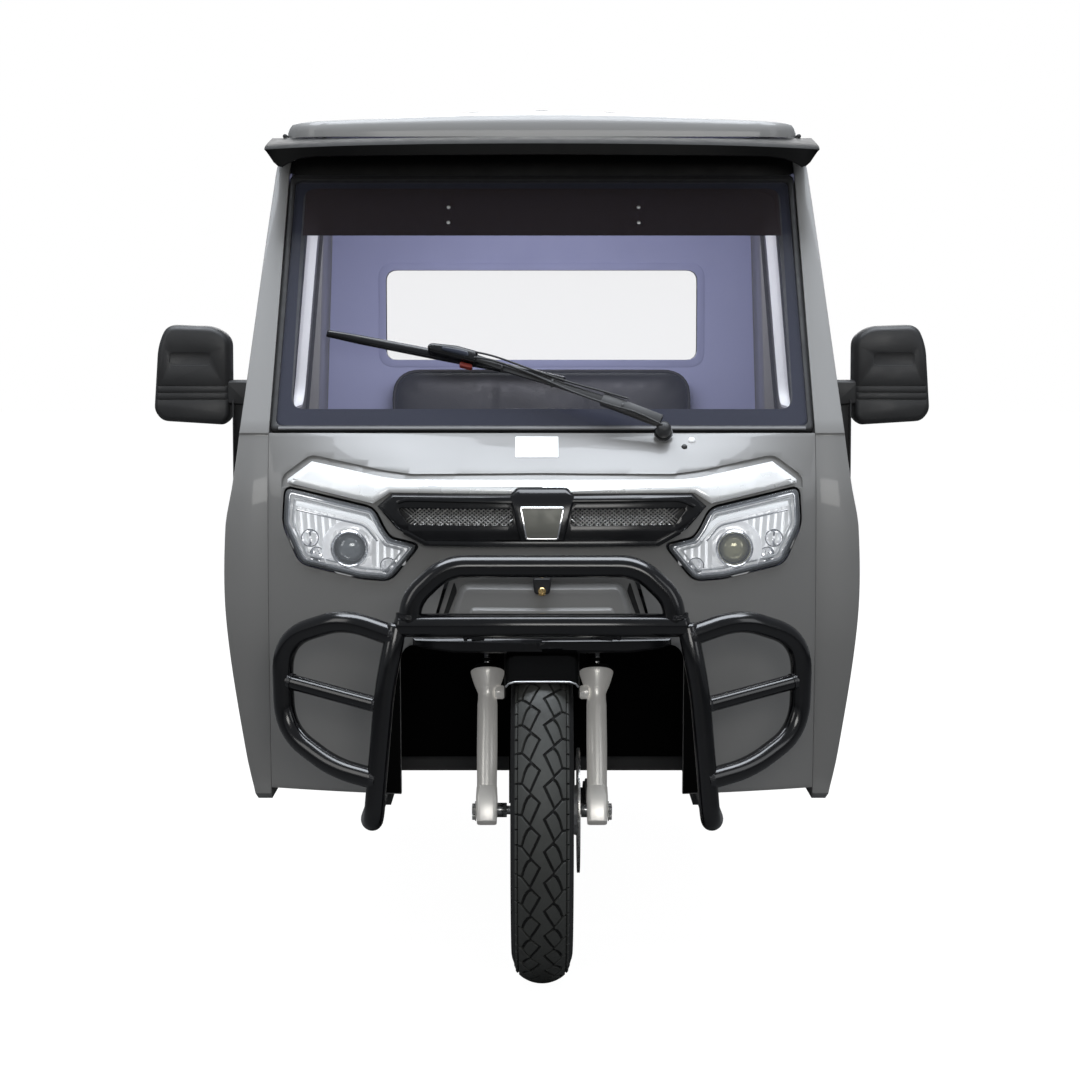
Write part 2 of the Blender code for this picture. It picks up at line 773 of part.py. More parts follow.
def build_rear_wheels(finishes, pivots):
    for name, side in SIDES:
        centre = (side * REAR_TRACK / 2, REAR_AXLE_Y, REAR_TYRE_RADIUS)
        tyre = tyre_ring(
            REAR_RIM_RADIUS, REAR_RIM_WIDTH, REAR_TYRE_RADIUS, REAR_TYRE_WIDTH, centre, REAR_WHEEL_SIDES
        )
        add_part("rear_tyre_" + name, tyre, finishes["tyre"], pivots[name])
        bore = REAR_SPINDLE_RADIUS + AXLE_CLEARANCE
        drum = [
            (bore, -0.078), (REAR_DRUM_RADIUS, -0.078), (REAR_DRUM_RADIUS, -0.046),
            (REAR_HUB_RADIUS, -0.040)
        ]
        drum += [
            (REAR_HUB_RADIUS, 0.004), (0.030, 0.010), (0.030, 0.026), (0.0, 0.026), (0.0, 0.016),
            (bore, 0.016)
        ]
        drum = [(radius, side * along) for radius, along in drum]
        dish_out = REAR_RIM_RADIUS - WELL_DEPTH - 0.002
        dish = [(0.040, -0.034), (0.086, -0.034), (0.112, -0.012), (dish_out, -0.012), (dish_out, -0.006)]
        dish += [(0.108, -0.006), (0.082, -0.028), (0.040, -0.028)]
        dish = revolve_on_flat([(radius, side * along) for radius, along in dish], centre, REAR_WHEEL_SIDES)
        holes = []
        for number in range(REAR_WHEEL_HOLES):
            angle = math.tau * number / REAR_WHEEL_HOLES
            place = (centre[0], centre[1] + 0.100 * math.cos(angle), centre[2] + 0.100 * math.sin(angle))
            holes.append(rod("x", place, 0.013, -0.060, 0.060, 6))
        shapes = [cut(dish, holes), revolve(drum, "x", centre, 12)]
        shapes.append(rim_ring(REAR_RIM_RADIUS, REAR_RIM_WIDTH, centre, REAR_WHEEL_SIDES))
        add_part("rear_wheel_" + name, union(shapes), finishes["silver"], pivots[name])


def build_rear_axle(finishes):
    """Axle tube with its motor, brake back plates, spindles and the two leaf springs clamped on it."""
    centre = (0.0, REAR_AXLE_Y, REAR_TYRE_RADIUS)
    wheel_x = REAR_TRACK / 2
    plate_x = wheel_x - 0.078 - BRAKE_PLATE_CLEARANCE
    half = [
        (REAR_SPINDLE_RADIUS, wheel_x + 0.012), (REAR_SPINDLE_RADIUS, plate_x),
        (REAR_DRUM_RADIUS + 0.006, plate_x)
    ]
    half += [
        (REAR_DRUM_RADIUS + 0.006, plate_x - 0.008), (0.050, plate_x - 0.020),
        (AXLE_TUBE_RADIUS, plate_x - 0.020)
    ]
    profile = [(0.0, wheel_x + 0.012), *half, *[(radius, -along) for radius, along in half[::-1]]]
    profile.append((0.0, -wheel_x - 0.012))
    shapes = [revolve(profile, "x", centre, 10)]
    motor = [(0.0, -0.105), (0.060, -0.105), (0.088, -0.070), (0.088, 0.010), (0.100, 0.022), (0.100, 0.205)]
    motor += [(0.060, 0.225), (0.0, 0.225)]
    shapes.append(revolve(motor, "x", centre, 12))
    for side in (-1, 1):
        shapes += spring_shapes(side)
    add_part("rear_axle", union(shapes), finishes["frame"])


def spring_shapes(side):
    """Three leaves of falling length, their eyes and the block that clamps them on the axle tube."""
    x_range = (side * RAIL_X - SPRING_WIDTH / 2, side * RAIL_X + SPRING_WIDTH / 2)
    shapes = []
    for leaf, reach in enumerate((SPRING_HALF_LENGTH, 0.66 * SPRING_HALF_LENGTH, 0.38 * SPRING_HALF_LENGTH)):
        path = []
        for step in range(-2, 3):
            share = step / 2
            along = share * reach
            rise = SPRING_CAMBER * (along / SPRING_HALF_LENGTH) ** 2
            path.append((REAR_AXLE_Y + along, SPRING_SEAT_Z + rise - leaf * (SPRING_LEAF - 0.0005)))
        shapes.append(plate(ribbon(path, SPRING_LEAF / 2), "x", *x_range))
    for end in (-1, 1):
        eye = (0.0, REAR_AXLE_Y + end * SPRING_HALF_LENGTH, SPRING_SEAT_Z + SPRING_CAMBER)
        shapes.append(rod("x", eye, SPRING_EYE_RADIUS, *x_range, 8))
    clamp_x = (x_range[0] - 0.007, x_range[1] + 0.007)
    clamp_y = (REAR_AXLE_Y - 0.045, REAR_AXLE_Y + 0.045)
    clamp_z = (REAR_TYRE_RADIUS - 0.004, SPRING_SEAT_Z + 0.016)
    shapes.append(block(clamp_x, clamp_y, clamp_z))
    return shapes


def grow(outline, distance):
    """Closed outline moved outwards by a distance."""
    points = [Vector(point) for point in outline]
    count = len(points)
    area = sum(points[i - 1].cross(points[i]) for i in range(count))
    turn = 1.0 if area > 0 else -1.0
    moved_points = []
    for index, point in enumerate(points):
        before = (point - points[index - 1]).normalized()
        after = (points[(index + 1) % count] - point).normalized()
        normal = (Vector((before.y, -before.x)) + Vector((after.y, -after.x))).normalized() * turn
        reach = distance / max(normal.dot(Vector((before.y, -before.x)) * turn), 0.5)
        moved_points.append(tuple(point + normal * reach))
    return moved_points


def mirrored(outline):
    """Outline of the front seen from ahead, turned over to the other side."""
    return [(-point[0], *point[1:]) for point in outline]


def rectangle(low, high):
    return [(low[0], low[1]), (high[0], low[1]), (high[0], high[1]), (low[0], high[1])]


def other_side(shape, side):
    """Shape built for +X, turned over when its side is -1."""
    if side > 0:
        return shape
    return moved(shape, Matrix.Scale(-1.0, 4, (1.0, 0.0, 0.0)))


def soften(shape, chosen, width, segments=2):
    """Bevel the edges whose two ends both pass the test."""
    edges = [edge for edge in shape.edges if all(chosen(vertex.co) for vertex in edge.verts)]
    bmesh.ops.bevel(shape, geom=edges, offset=width, segments=segments, profile=0.6, affect="EDGES")
    return shape


def front_cell(x, height):
    """Ends of the level intervals that hold a point of the front, its side taken as +X."""
    heights = [row[0] for row in FRONT_TABLE]
    column = next(
        (i for i in range(1, len(FRONT_X_LEVELS) - 1) if x <= FRONT_X_LEVELS[i]), len(FRONT_X_LEVELS) - 1
    )
    row = next((i for i in range(1, len(heights) - 1) if height <= heights[i]), len(heights) - 1)
    return FRONT_X_LEVELS[column - 1:column + 1], heights[row - 1:row + 1]


def front_y(point):
    """Y of the front's outer face at a point's X and Z, flat over each half of a cell."""
    (x_low, x_high), (z_low, z_high) = front_cell(abs(point.x), point.z)

    def corner(x, height):
        share = 1.0 - (x / CAB_FRONT_HALF_WIDTH) ** 2
        return lookup(FRONT_TABLE, height, 1) - lookup(FRONT_TABLE, height, 2) * share

    across = (abs(point.x) - x_low) / (x_high - x_low)
    up = (point.z - z_low) / (z_high - z_low)
    low = corner(x_low, z_low)
    high = corner(x_high, z_high)
    if across >= up:
        turn = corner(x_high, z_low)
        return behind(low + across * (turn - low) + up * (high - turn))
    turn = corner(x_low, z_high)
    return behind(low + up * (turn - low) + across * (high - turn))


def split_cells(shape):
    """Cut the faces in each twisted cell of the front along the cell's diagonal."""
    for low_row, high_row in zip(FRONT_TABLE, FRONT_TABLE[1:]):
        if low_row[2] == high_row[2]:
            continue
        for x_low, x_high in zip(FRONT_X_LEVELS, FRONT_X_LEVELS[1:]):
            for side in (-1, 1):
                faces = []
                for face in shape.faces:
                    middle = face.calc_center_median()
                    if x_low < side * middle.x < x_high and low_row[0] < middle.z < high_row[0]:
                        faces.append(face)
                edges = {edge for face in faces for edge in face.edges}
                corners = {vertex for face in faces for vertex in face.verts}
                start = Vector((side * x_low, 0.0, low_row[0]))
                along = Vector((side * (x_high - x_low), 0.0, high_row[0] - low_row[0]))
                normal = Vector((-along.z, 0.0, along.x))
                geometry = [*corners, *edges, *faces]
                bmesh.ops.bisect_plane(shape, geom=geometry, dist=1e-5, plane_co=start, plane_no=normal)


def on_front(outline, proud, depth, holes=(), extras=()):
    """Piece that follows the front panel: it stands proud of its face and reaches depth behind it.

    The extras are flat shapes that are joined to it before the whole piece is bowed.
    """
    shape = plate(outline, "y", -proud, depth)
    if holes:
        shape = cut(shape, [plate(hole, "y", -proud - 1.0, depth + 1.0) for hole in holes])
    shape = union([shape, *extras])
    x_levels = [*FRONT_X_LEVELS[1:-1], *[-x for x in FRONT_X_LEVELS[:-1]]]
    bisect(shape, {"x": x_levels, "z": [row[0] for row in FRONT_TABLE]})
    split_cells(shape)
    return drape(shape, {}, "y", front_y)


def lamp_outline(side):
    outline = bend(LAMP_OUTLINE, 0.014, 2, closed=True)
    return outline if side > 0 else mirrored(outline)


def lid_outline():
    corners = [(-LID_BASE, LID_LOW), (LID_BASE, LID_LOW), (LID_TOP, LID_HIGH), (-LID_TOP, LID_HIGH)]
    return bend(corners, 0.016, 3, closed=True)


def build_front_panel(finishes):
    half = CAB_FRONT_HALF_WIDTH
    opening = [(WHEEL_OPENING_HALF, WHEEL_OPENING_TOP), (-WHEEL_OPENING_HALF, WHEEL_OPENING_TOP)]
    outline = [(-WHEEL_OPENING_HALF, FRONT_BOTTOM), (-half, FRONT_BOTTOM), (-half, SCREEN_BASE_Z)]
    outline += [(half, SCREEN_BASE_Z), (half, FRONT_BOTTOM), (WHEEL_OPENING_HALF, FRONT_BOTTOM)]
    outline += bend([outline[-1], *opening, outline[0]], 0.035, 4)[1:-1]
    holes = [grow(lamp_outline(side), SEAT_GAP) for name, side in SIDES]
    holes.append(grow(lid_outline(), LID_GAP))
    lip = [(-0.205, WHEEL_OPENING_TOP - 0.007), (0.205, WHEEL_OPENING_TOP - 0.007)]
    lip += [(0.222, WHEEL_OPENING_TOP + 0.004), (-0.222, WHEEL_OPENING_TOP + 0.004)]
    panel = on_front(outline, 0.0, PANEL_THICKNESS, holes, [plate(lip, "y", -0.016, 0.002)])
    add_part("front_panel", union([panel, *lid_pin_shapes(), wiper_pin()]), finishes["paint"])


def lid_hinge_place(x=0.0):
    face = front_y(Vector((LID_HINGE_X, 0.0, LID_LOW)))
    return Vector((x, face - LID_HINGE_PROUD, LID_LOW - LID_HINGE_DROP))


def lid_pin_shapes():
    """Hinge pins of the lid, each between two cheeks on the panel's face."""
    shapes = []
    for x in (-LID_HINGE_X, LID_HINGE_X):
        place = lid_hinge_place(x)
        shapes.append(rod("x", place, LID_PIN_RADIUS, -0.024, 0.024, 8))
        for end in (-0.024, 0.018):
            y_range = (place.y - 0.005, place.y + 0.012)
            shapes.append(block((x + end, x + end + 0.006), y_range, (place.z - 0.013, place.z + 0.004)))
    return shapes


def build_lid(finishes, pivot):
    low = LID_HIGH - 0.052
    high = LID_HIGH - 0.012
    raised = bend([(-0.130, low), (0.130, low), (0.140, high), (-0.140, high)], 0.012, 2, closed=True)
    extras = [plate(raised, "y", -0.010, 0.002)]
    extras.append(rod("y", (0.0, 0.0, LID_HIGH - 0.026), 0.012, -0.013, 0.0, 10))
    shapes = [on_front(lid_outline(), 0.004, PANEL_THICKNESS - 0.008, (), extras)]
    for x in (-LID_HINGE_X, LID_HINGE_X):
        place = lid_hinge_place(x)
        bore = LID_PIN_RADIUS + PIN_CLEARANCE
        ring = [(bore, -0.011), (bore + 0.0036, -0.011), (bore + 0.0036, 0.011), (bore, 0.011)]
        shapes.append(revolve(ring, "x", place, 10))
        y_range = (place.y + 0.001, place.y + 0.009)
        shapes.append(block((x - 0.011, x + 0.011), y_range, (place.z + 0.005, place.z + 0.016)))
    add_part("front_lid", union(shapes), finishes["paint"], pivot)


def build_front_trim(finishes):
    half = GARNISH_OUTLINE
    add_part("garnish", on_front(half + mirrored(half[::-1]), GARNISH_PROUD, -SEAT_GAP), finishes["bright"])
    for name, side in SIDES:
        lamp = on_front(lamp_outline(side), LAMP_PROUD, LAMP_DEPTH)
        add_part("headlamp_" + name, lamp, finishes["lens"])
    half = GRILLE_OUTLINE
    outline = half + mirrored(half[::-1])
    windows = []
    for side in (1, -1):
        window = bend(GRILLE_WINDOW, 0.006, 2, closed=True)
        windows.append(window if side > 0 else mirrored(window))
    extras = []
    for side in (-1, 1):
        for number in range(GRILLE_BARS):
            x = GRILLE_BAR_START + number * GRILLE_BAR_PITCH
            low = (x - 0.5 * GRILLE_BAR_PITCH, GRILLE_WINDOW[0][1] - 0.002)
            high = (x + 0.5 * GRILLE_BAR_PITCH, GRILLE_WINDOW[2][1] + 0.002)
            bar = ribbon([low, high], GRILLE_BAR_HALF)
            bar = bar if side > 0 else mirrored(bar)
            extras.append(plate(bar, "y", 0.004 - GRILLE_PROUD, -SEAT_GAP))
    badge = bend(BADGE_OUTLINE, 0.008, 2, closed=True)
    extras.append(plate(badge, "y", -GRILLE_PROUD - 0.006, -0.002))
    grille = on_front(outline, GRILLE_PROUD, -SEAT_GAP, windows, extras)
    add_part("grille", grille, finishes["black"])


def side_shape(outline, hole, inner_edge, outer_proud, inner=None):
    """Piece of the cab side between the outline and a hole, bowed like the side."""
    low, high = 0.0, 1.0
    shape = plate(outline, "x", low, high)
    if hole:
        shape = cut(shape, [plate(hole, "x", low - 1.0, high + 1.0)])
    levels = {"z": [row[0] for row in SIDE_TABLE]}

    def shift(point):
        if point.x > 0.5:
            return lookup(SIDE_TABLE, point.z, 1) + outer_proud - high
        if inner_edge:
            return lookup(INNER_TABLE, point.z, 1) - low
        return lookup(SIDE_TABLE, point.z, 1) + outer_proud - inner - low

    return drape(shape, levels, "x", shift)


def door_outline():
    corners = rectangle((behind(DOOR_FRONT), DOOR_BOTTOM), (behind(DOOR_BACK), DOOR_TOP))
    return bend(corners, 0.050, 3, closed=True)


def window_outline():
    low = (behind(DOOR_FRONT + WINDOW_MARGIN), DOOR_TOP - WINDOW_MARGIN - WINDOW_HEIGHT)
    high = (behind(DOOR_BACK - WINDOW_MARGIN), DOOR_TOP - WINDOW_MARGIN)
    return bend(rectangle(low, high), 0.055, 3, closed=True)


def screen_back(height):
    """Distance of the pillar's front edge behind the axle beside the windscreen."""
    return PILLAR_FRONT + (height - SCREEN_BASE_Z) * math.tan(SCREEN_RAKE)


def build_sides(finishes, doors):
    back = behind(CAB_BACK - REAR_WALL_THICKNESS) - SEAT_GAP
    outline = [(behind(row[1]), row[0]) for row in FRONT_TABLE if FRONT_BOTTOM < row[0] < SCREEN_BASE_Z]
    outline += [
        (behind(PILLAR_FRONT), SCREEN_BASE_Z), (behind(screen_back(SIDE_TOP)), SIDE_TOP), (back, SIDE_TOP)
    ]
    outline += [(back, SILL_BOTTOM), (behind(0.36), SILL_BOTTOM), (behind(0.30), PILLAR_BOTTOM)]
    outline += [(behind(0.030), PILLAR_BOTTOM), (behind(0.002), PILLAR_BOTTOM + 0.020)]
    low = (behind(DOOR_FRONT) - DOOR_GAP, DOOR_BOTTOM - DOOR_GAP)
    high = (behind(DOOR_BACK) + DOOR_BACK_GAP, DOOR_TOP + DOOR_GAP)
    opening = bend(rectangle(low, high), 0.055, 3, closed=True)
    for name, side in SIDES:
        frame = side_shape(outline, opening, True, 0.0)
        hinges = [*hinge_pin_shapes()]
        add_part("side_frame_" + name, other_side(union([frame, *hinges]), side), finishes["paint"])
        door = side_shape(door_outline(), window_outline(), False, DOOR_PROUD, DOOR_THICKNESS)
        door = union([door, *hinge_knuckle_shapes(), door_handle()])
        add_part("door_" + name, other_side(door, side), finishes["paint"], doors[name])
        pane = side_shape(grow(window_outline(), -SEAT_GAP), None, False, DOOR_PROUD - 0.015, GLASS_THICKNESS)
        add_part("door_glass_" + name, other_side(pane, side), finishes["glass"], doors[name])


def hinge_pin_shapes():
    """Door hinge pins with the bracket below and above each, for the +X side."""
    shapes = []
    for height in HINGE_HEIGHTS:
        place = (HINGE_X, behind(HINGE_BACK), height)
        shapes.append(rod("z", place, HINGE_PIN_RADIUS, -0.030, 0.030, 8))
        for low in (-0.030, 0.024):
            face = lookup(SIDE_TABLE, height + low, 1)
            edge = DOOR_FRONT - DOOR_GAP - 0.001
            outline = [(face - 0.015, HINGE_BACK - 0.055), (HINGE_X + 0.008, HINGE_BACK - 0.006)]
            outline += [(HINGE_X + 0.008, HINGE_BACK + 0.006), (HINGE_X - 0.006, HINGE_BACK + 0.006)]
            outline += [(HINGE_X - 0.010, edge + 0.003), (face + 0.001, edge), (face - 0.015, edge)]
            outline = [(x, behind(distance)) for x, distance in outline]
            shapes.append(plate(outline, "z", height + low, height + low + 0.006))
    return shapes


def hinge_knuckle_shapes():
    shapes = []
    for height in HINGE_HEIGHTS:
        place = (HINGE_X, behind(HINGE_BACK), height)
        ring = [(HINGE_PIN_RADIUS + PIN_CLEARANCE, -0.019), (HINGE_PIN_RADIUS + 0.005, -0.019)]
        ring += [(radius, -along) for radius, along in ring[::-1]]
        shapes.append(revolve(ring, "z", place, 10))
        face = lookup(SIDE_TABLE, height, 1) + DOOR_PROUD
        outline = [
            (HINGE_X - 0.003, behind(HINGE_BACK + 0.0065)), (HINGE_X + 0.006, behind(HINGE_BACK + 0.008))
        ]
        outline += [(face + 0.003, behind(HINGE_BACK + 0.055)), (face - 0.012, behind(HINGE_BACK + 0.055))]
        outline += [(face - 0.012, behind(HINGE_BACK + 0.010))]
        shapes.append(plate(outline, "z", height - 0.019, height + 0.019))
    return shapes


def door_handle():
    face = lookup(SIDE_TABLE, HANDLE_Z, 1) + DOOR_PROUD
    path = [
        (face - 0.004, DOOR_BACK - 0.060), (face + 0.022, DOOR_BACK - 0.066),
        (face + 0.022, DOOR_BACK - 0.174)
    ]
    path.append((face - 0.004, DOOR_BACK - 0.180))
    path = [(x, behind(distance), HANDLE_Z) for x, distance in path]
    return tube(bend(path, 0.016, 2), 0.009, 8)


def screen_frame():
    """Frame in the windscreen's plane: X across, Y into the cab, Z up the glass."""
    foot = Vector((0.0, behind(SCREEN_BASE_BACK), SCREEN_BASE_Z))
    return Matrix.Translation(foot) @ Matrix.Rotation(-SCREEN_RAKE, 4, "X")


def screen_outline(low, high, inset):
    """Outline in the windscreen's plane, its sides drawing in towards the top."""
    sides = []
    for height in (low, high):
        sides.append((SCREEN_HALF_WIDTH - inset - SCREEN_TAPER * height, height))
    return [(-sides[0][0], low), sides[0], sides[1], (-sides[1][0], high)]


def build_screen(finishes):
    low = SCREEN_MARGIN
    outer = bend(screen_outline(low, SCREEN_LENGTH + 0.007, 0.0), 0.012, 3, closed=True)
    window = bend(screen_outline(low + 0.026, SCREEN_LENGTH - 0.026, 0.036), 0.040, 5, closed=True)
    frame = cut(
        plate(outer, "y", SEAT_GAP, SEAT_GAP + SCREEN_FRAME_THICKNESS), [plate(window, "y", -1.0, 1.0)]
    )
    add_part("windscreen_frame", moved(frame, screen_frame()), finishes["rubber"])
    pane = bend(screen_outline(low + 0.001, SCREEN_LENGTH, 0.008), 0.030, 5, closed=True)
    add_part("windscreen", moved(plate(pane, "y", -GLASS_THICKNESS, 0.0), screen_frame()), finishes["glass"])


def wiper_pin():
    pin = rod("y", (0.0, 0.0, 0.0), 0.012, -0.019, 0.012, 12)
    spindle = rod("y", (0.0, 0.0, 0.0), 0.005, -0.037, 0.0, 10)
    shapes = union([pin, spindle])
    return moved(shapes, screen_frame() @ Matrix.Translation((WIPER_X, 0.0, WIPER_UP)))


def build_wiper(finishes, pivot):
    bore = 0.005 + PIN_CLEARANCE
    cap = [
        (bore, -0.0198), (0.0115, -0.0198), (0.0115, -0.043), (0.0, -0.043), (0.0, -0.0376), (bore, -0.0376)
    ]
    head = revolve(cap, "y", (WIPER_X, 0.0, WIPER_UP), 12)
    direction = Vector((ADAPTOR_X - WIPER_X, ADAPTOR_UP - WIPER_UP))
    near = Vector((WIPER_X, WIPER_UP)) + direction.normalized() * 0.009
    far = Vector((ADAPTOR_X, ADAPTOR_UP))
    across = Vector((-direction.y, direction.x)).normalized()
    outline = [near + across * 0.010, near - across * 0.010, far - across * 0.005, far + across * 0.005]
    arm = plate([tuple(point) for point in outline], "y", -0.0415, -0.0335)
    start = Vector((BLADE_TIP_X, BLADE_TIP_UP))
    end = Vector((BLADE_END_X, BLADE_END_UP))
    along = (end - start).normalized()
    blade = plate(ribbon([start, end], 0.006), "y", -0.021, -0.0125)
    rubber = plate(
        ribbon([start + along * 0.004, end - along * 0.004], 0.002), "y", -0.013, -GLASS_THICKNESS - 0.0006
    )
    adaptor = plate(ribbon([far - along * 0.030, far + along * 0.022], 0.0075), "y", -0.040, -0.014)
    shape = union([head, arm, adaptor, blade, rubber])
    add_part("wiper", moved(shape, screen_frame()), finishes["black"], pivot)


def build_roof(finishes):
    half = ROOF_HALF_WIDTH
    outline = bend(rectangle((-half, behind(ROOF_FRONT)), (half, behind(ROOF_BACK))), 0.050, 3, closed=True)
    base = SIDE_TOP + SEAT_GAP
    shape = plate(outline, "z", base, base + ROOF_EDGE)
    shape = soften(shape, lambda place: place.z > base + 0.5 * ROOF_EDGE, 0.010)
    middle = behind((ROOF_FRONT + ROOF_BACK) / 2)
    reach = (ROOF_BACK - ROOF_FRONT) / 2 * 1.12

    def crown(point):
        if point.z < base + 0.4 * ROOF_EDGE:
            return 0.0
        across = 1.0 - (point.x / half) ** 2
        return ROOF_CROWN * max(across, 0.0) * (1.0 - ((point.y - middle) / reach) ** 2)

    x_levels = [half * share for share in (-0.85, -0.6, -0.3, 0.0, 0.3, 0.6, 0.85)]
    y_levels = [middle + reach * share for share in (-0.75, -0.4, 0.0, 0.4, 0.75)]
    add_part("roof", drape(shape, {"x": x_levels, "y": y_levels}, "z", crown), finishes["paint"])


def build_visor(finishes):
    half = VISOR_HALF_WIDTH
    front = []
    for step in range(-8, 9):
        x = half * step / 8
        front.append((x, behind(VISOR_FRONT + VISOR_SWEEP * (x / half) ** 2)))
    wing = behind(screen_back(VISOR_BOTTOM)) - 0.004
    inner = lookup(INNER_TABLE, SIDE_TOP, 1) - 0.001
    back = behind(ROOF_FRONT + 0.025)
    outline = front + [
        (half, wing), (inner, wing), (inner, back), (-inner, back), (-inner, wing), (-half, wing)
    ]
    shape = plate(outline, "z", VISOR_BOTTOM, SIDE_TOP)
    tip = VISOR_FRONT + VISOR_SWEEP

    def slope(point):
        out = max(abs(point.x) - VISOR_TAPER_START, 0.0) / (half - VISOR_TAPER_START)
        if point.z < VISOR_BOTTOM + 0.01:
            return VISOR_TIP_RISE * out
        share = min(max((point.y - behind(VISOR_FRONT)) / (ROOF_FRONT - VISOR_FRONT - 0.020), 0.0), 1.0)
        return (share - 1.0) * VISOR_DROP - VISOR_TIP_DROP * out

    x_levels = [-VISOR_TAPER_START, 0.0, VISOR_TAPER_START]
    levels = {"y": [behind(tip), behind(ROOF_FRONT - 0.020)], "x": x_levels}
    add_part("roof_visor", drape(shape, levels, "z", slope), finishes["black"])


def build_rear_wall(finishes):
    rows = [row for row in SIDE_TABLE if SILL_TOP < row[0] < SIDE_TOP]
    sides = [(lookup(SIDE_TABLE, SILL_TOP, 1), SILL_TOP), *[(row[1], row[0]) for row in rows]]
    sides.append((lookup(SIDE_TABLE, SIDE_TOP, 1), SIDE_TOP))
    outline = sides + mirrored(sides[::-1])
    low = behind(CAB_BACK - REAR_WALL_THICKNESS)
    window = bend(
        rectangle((-REAR_WINDOW_HALF, REAR_WINDOW_LOW), (REAR_WINDOW_HALF, REAR_WINDOW_HIGH)), 0.045, 4,
        closed=True
    )
    wall = cut(plate(outline, "y", low, behind(CAB_BACK)), [plate(window, "y", low - 1.0, low + 1.0)])
    add_part("rear_wall", wall, finishes["paint"])
    pane = plate(grow(window, -SEAT_GAP), "y", low + 0.012, low + 0.012 + GLASS_THICKNESS)
    add_part("rear_window", pane, finishes["glass"])


def mirror_shapes():
    """Bracket, arm and housing of the +X mirror."""
    outline = rectangle((behind(MIRROR_BACK - 0.060), 0.867), (behind(MIRROR_BACK), 1.050))
    outline = bend(outline, 0.012, 2, closed=True)
    bracket = plate(outline, "x", 0.0, 1.0)
    levels = {"z": [row[0] for row in SIDE_TABLE]}

    def shift(point):
        face = lookup(SIDE_TABLE, point.z, 1)
        return face + 0.012 - 1.0 if point.x > 0.5 else face + SEAT_GAP

    bracket = drape(bracket, levels, "x", shift)
    arm = [(0.527, 1.012), (0.585, 1.012), (0.585, 1.052), (0.527, 1.052)]
    arm = plate(
        bend(arm, 0.010, 2, closed=True), "y", behind(MIRROR_BACK - 0.045), behind(MIRROR_BACK + 0.040)
    )
    housing = plate(
        bend(MIRROR_OUTLINE, 0.020, 2, closed=True), "y", behind(MIRROR_BACK),
        behind(MIRROR_BACK + MIRROR_DEPTH)
    )
    front = behind(MIRROR_BACK)
    housing = soften(housing, lambda place: abs(place.y - front) < 1e-4, 0.016)
    recess = plate(bend(grow(MIRROR_OUTLINE, -0.010), 0.016, 2, closed=True), "y",
                   behind(MIRROR_BACK + MIRROR_DEPTH - 0.006), behind(MIRROR_BACK + MIRROR_DEPTH + 0.1))
    return [bracket, arm, cut(housing, [recess])]


def build_mirrors(finishes):
    for name, side in SIDES:
        add_part("mirror_" + name, other_side(union(mirror_shapes()), side), finishes["black"])


def build_bull_bar(finishes):
    """Hoop, middle bar, two legs with their rearward feet, and a loop with a brace on each side."""
    def place(x, distance, height):
        return (x, behind(distance), height)

    corner = [(x, GUARD, height) for x, height in HOOP_CORNER]
    hoop = [place(*point) for point in mirrored(corner) + corner[::-1]]
    shapes = [tube(hoop, HOOP_RADIUS, 8)]
    shapes.append(tube([place(-0.246, GUARD, 0.659), place(0.246, GUARD, 0.659)], 0.019, 8))
    for side in (-1, 1):
        leg = [
            place(side * 0.240, GUARD, 0.664), place(side * 0.262, GUARD, 0.55),
            place(side * 0.281, GUARD, 0.330)
        ]
        foot = [
            place(side * RAIL_X, GUARD + 0.055, FOOT_Z), place(side * RAIL_X, RAIL_FRONT - SEAT_GAP, FOOT_Z)
        ]
        shapes.append(tube(bend(leg + foot, 0.040, 2), LEG_RADIUS, 8))
        loop = [place(side * 0.243, GUARD, 0.640), place(side * 0.330, GUARD + 0.020, 0.668)]
        loop += [place(side * 0.440, GUARD + 0.080, 0.628), place(side * 0.436, GUARD + 0.085, 0.470)]
        loop += [place(side * 0.350, GUARD + 0.035, 0.415), place(side * 0.274, GUARD, 0.400)]
        shapes.append(tube(bend(loop, 0.075, 2), LOOP_RADIUS, 8))
        brace = [place(side * 0.266, GUARD + 0.002, 0.523), place(side * 0.432, GUARD + 0.078, 0.556)]
        shapes.append(tube(brace, BRACE_RADIUS, 8))
    add_part("bull_bar", union(shapes), finishes["black"])


def build_liner(finishes):
    """Walls beside and behind the front wheel, open above for the fork."""
    half = RAIL_X - RAIL_WIDTH / 2 - SEAT_GAP - LINER_WALL / 2
    back = behind(LINER_BACK)
    start = behind(0.0)
    path = [(-half, start), (-half, back), (half, back), (half, start)]
    shape = plate(ribbon(path, LINER_WALL / 2), "z", FRONT_BOTTOM, LINER_TOP)
    levels = {"z": [row[0] for row in FRONT_TABLE]}

    def shift(point):
        if point.y > start + 0.01:
            return 0.0
        return front_y(point) + PANEL_THICKNESS + SEAT_GAP - start

    add_part("wheel_liner", drape(shape, levels, "y", shift), finishes["black"])


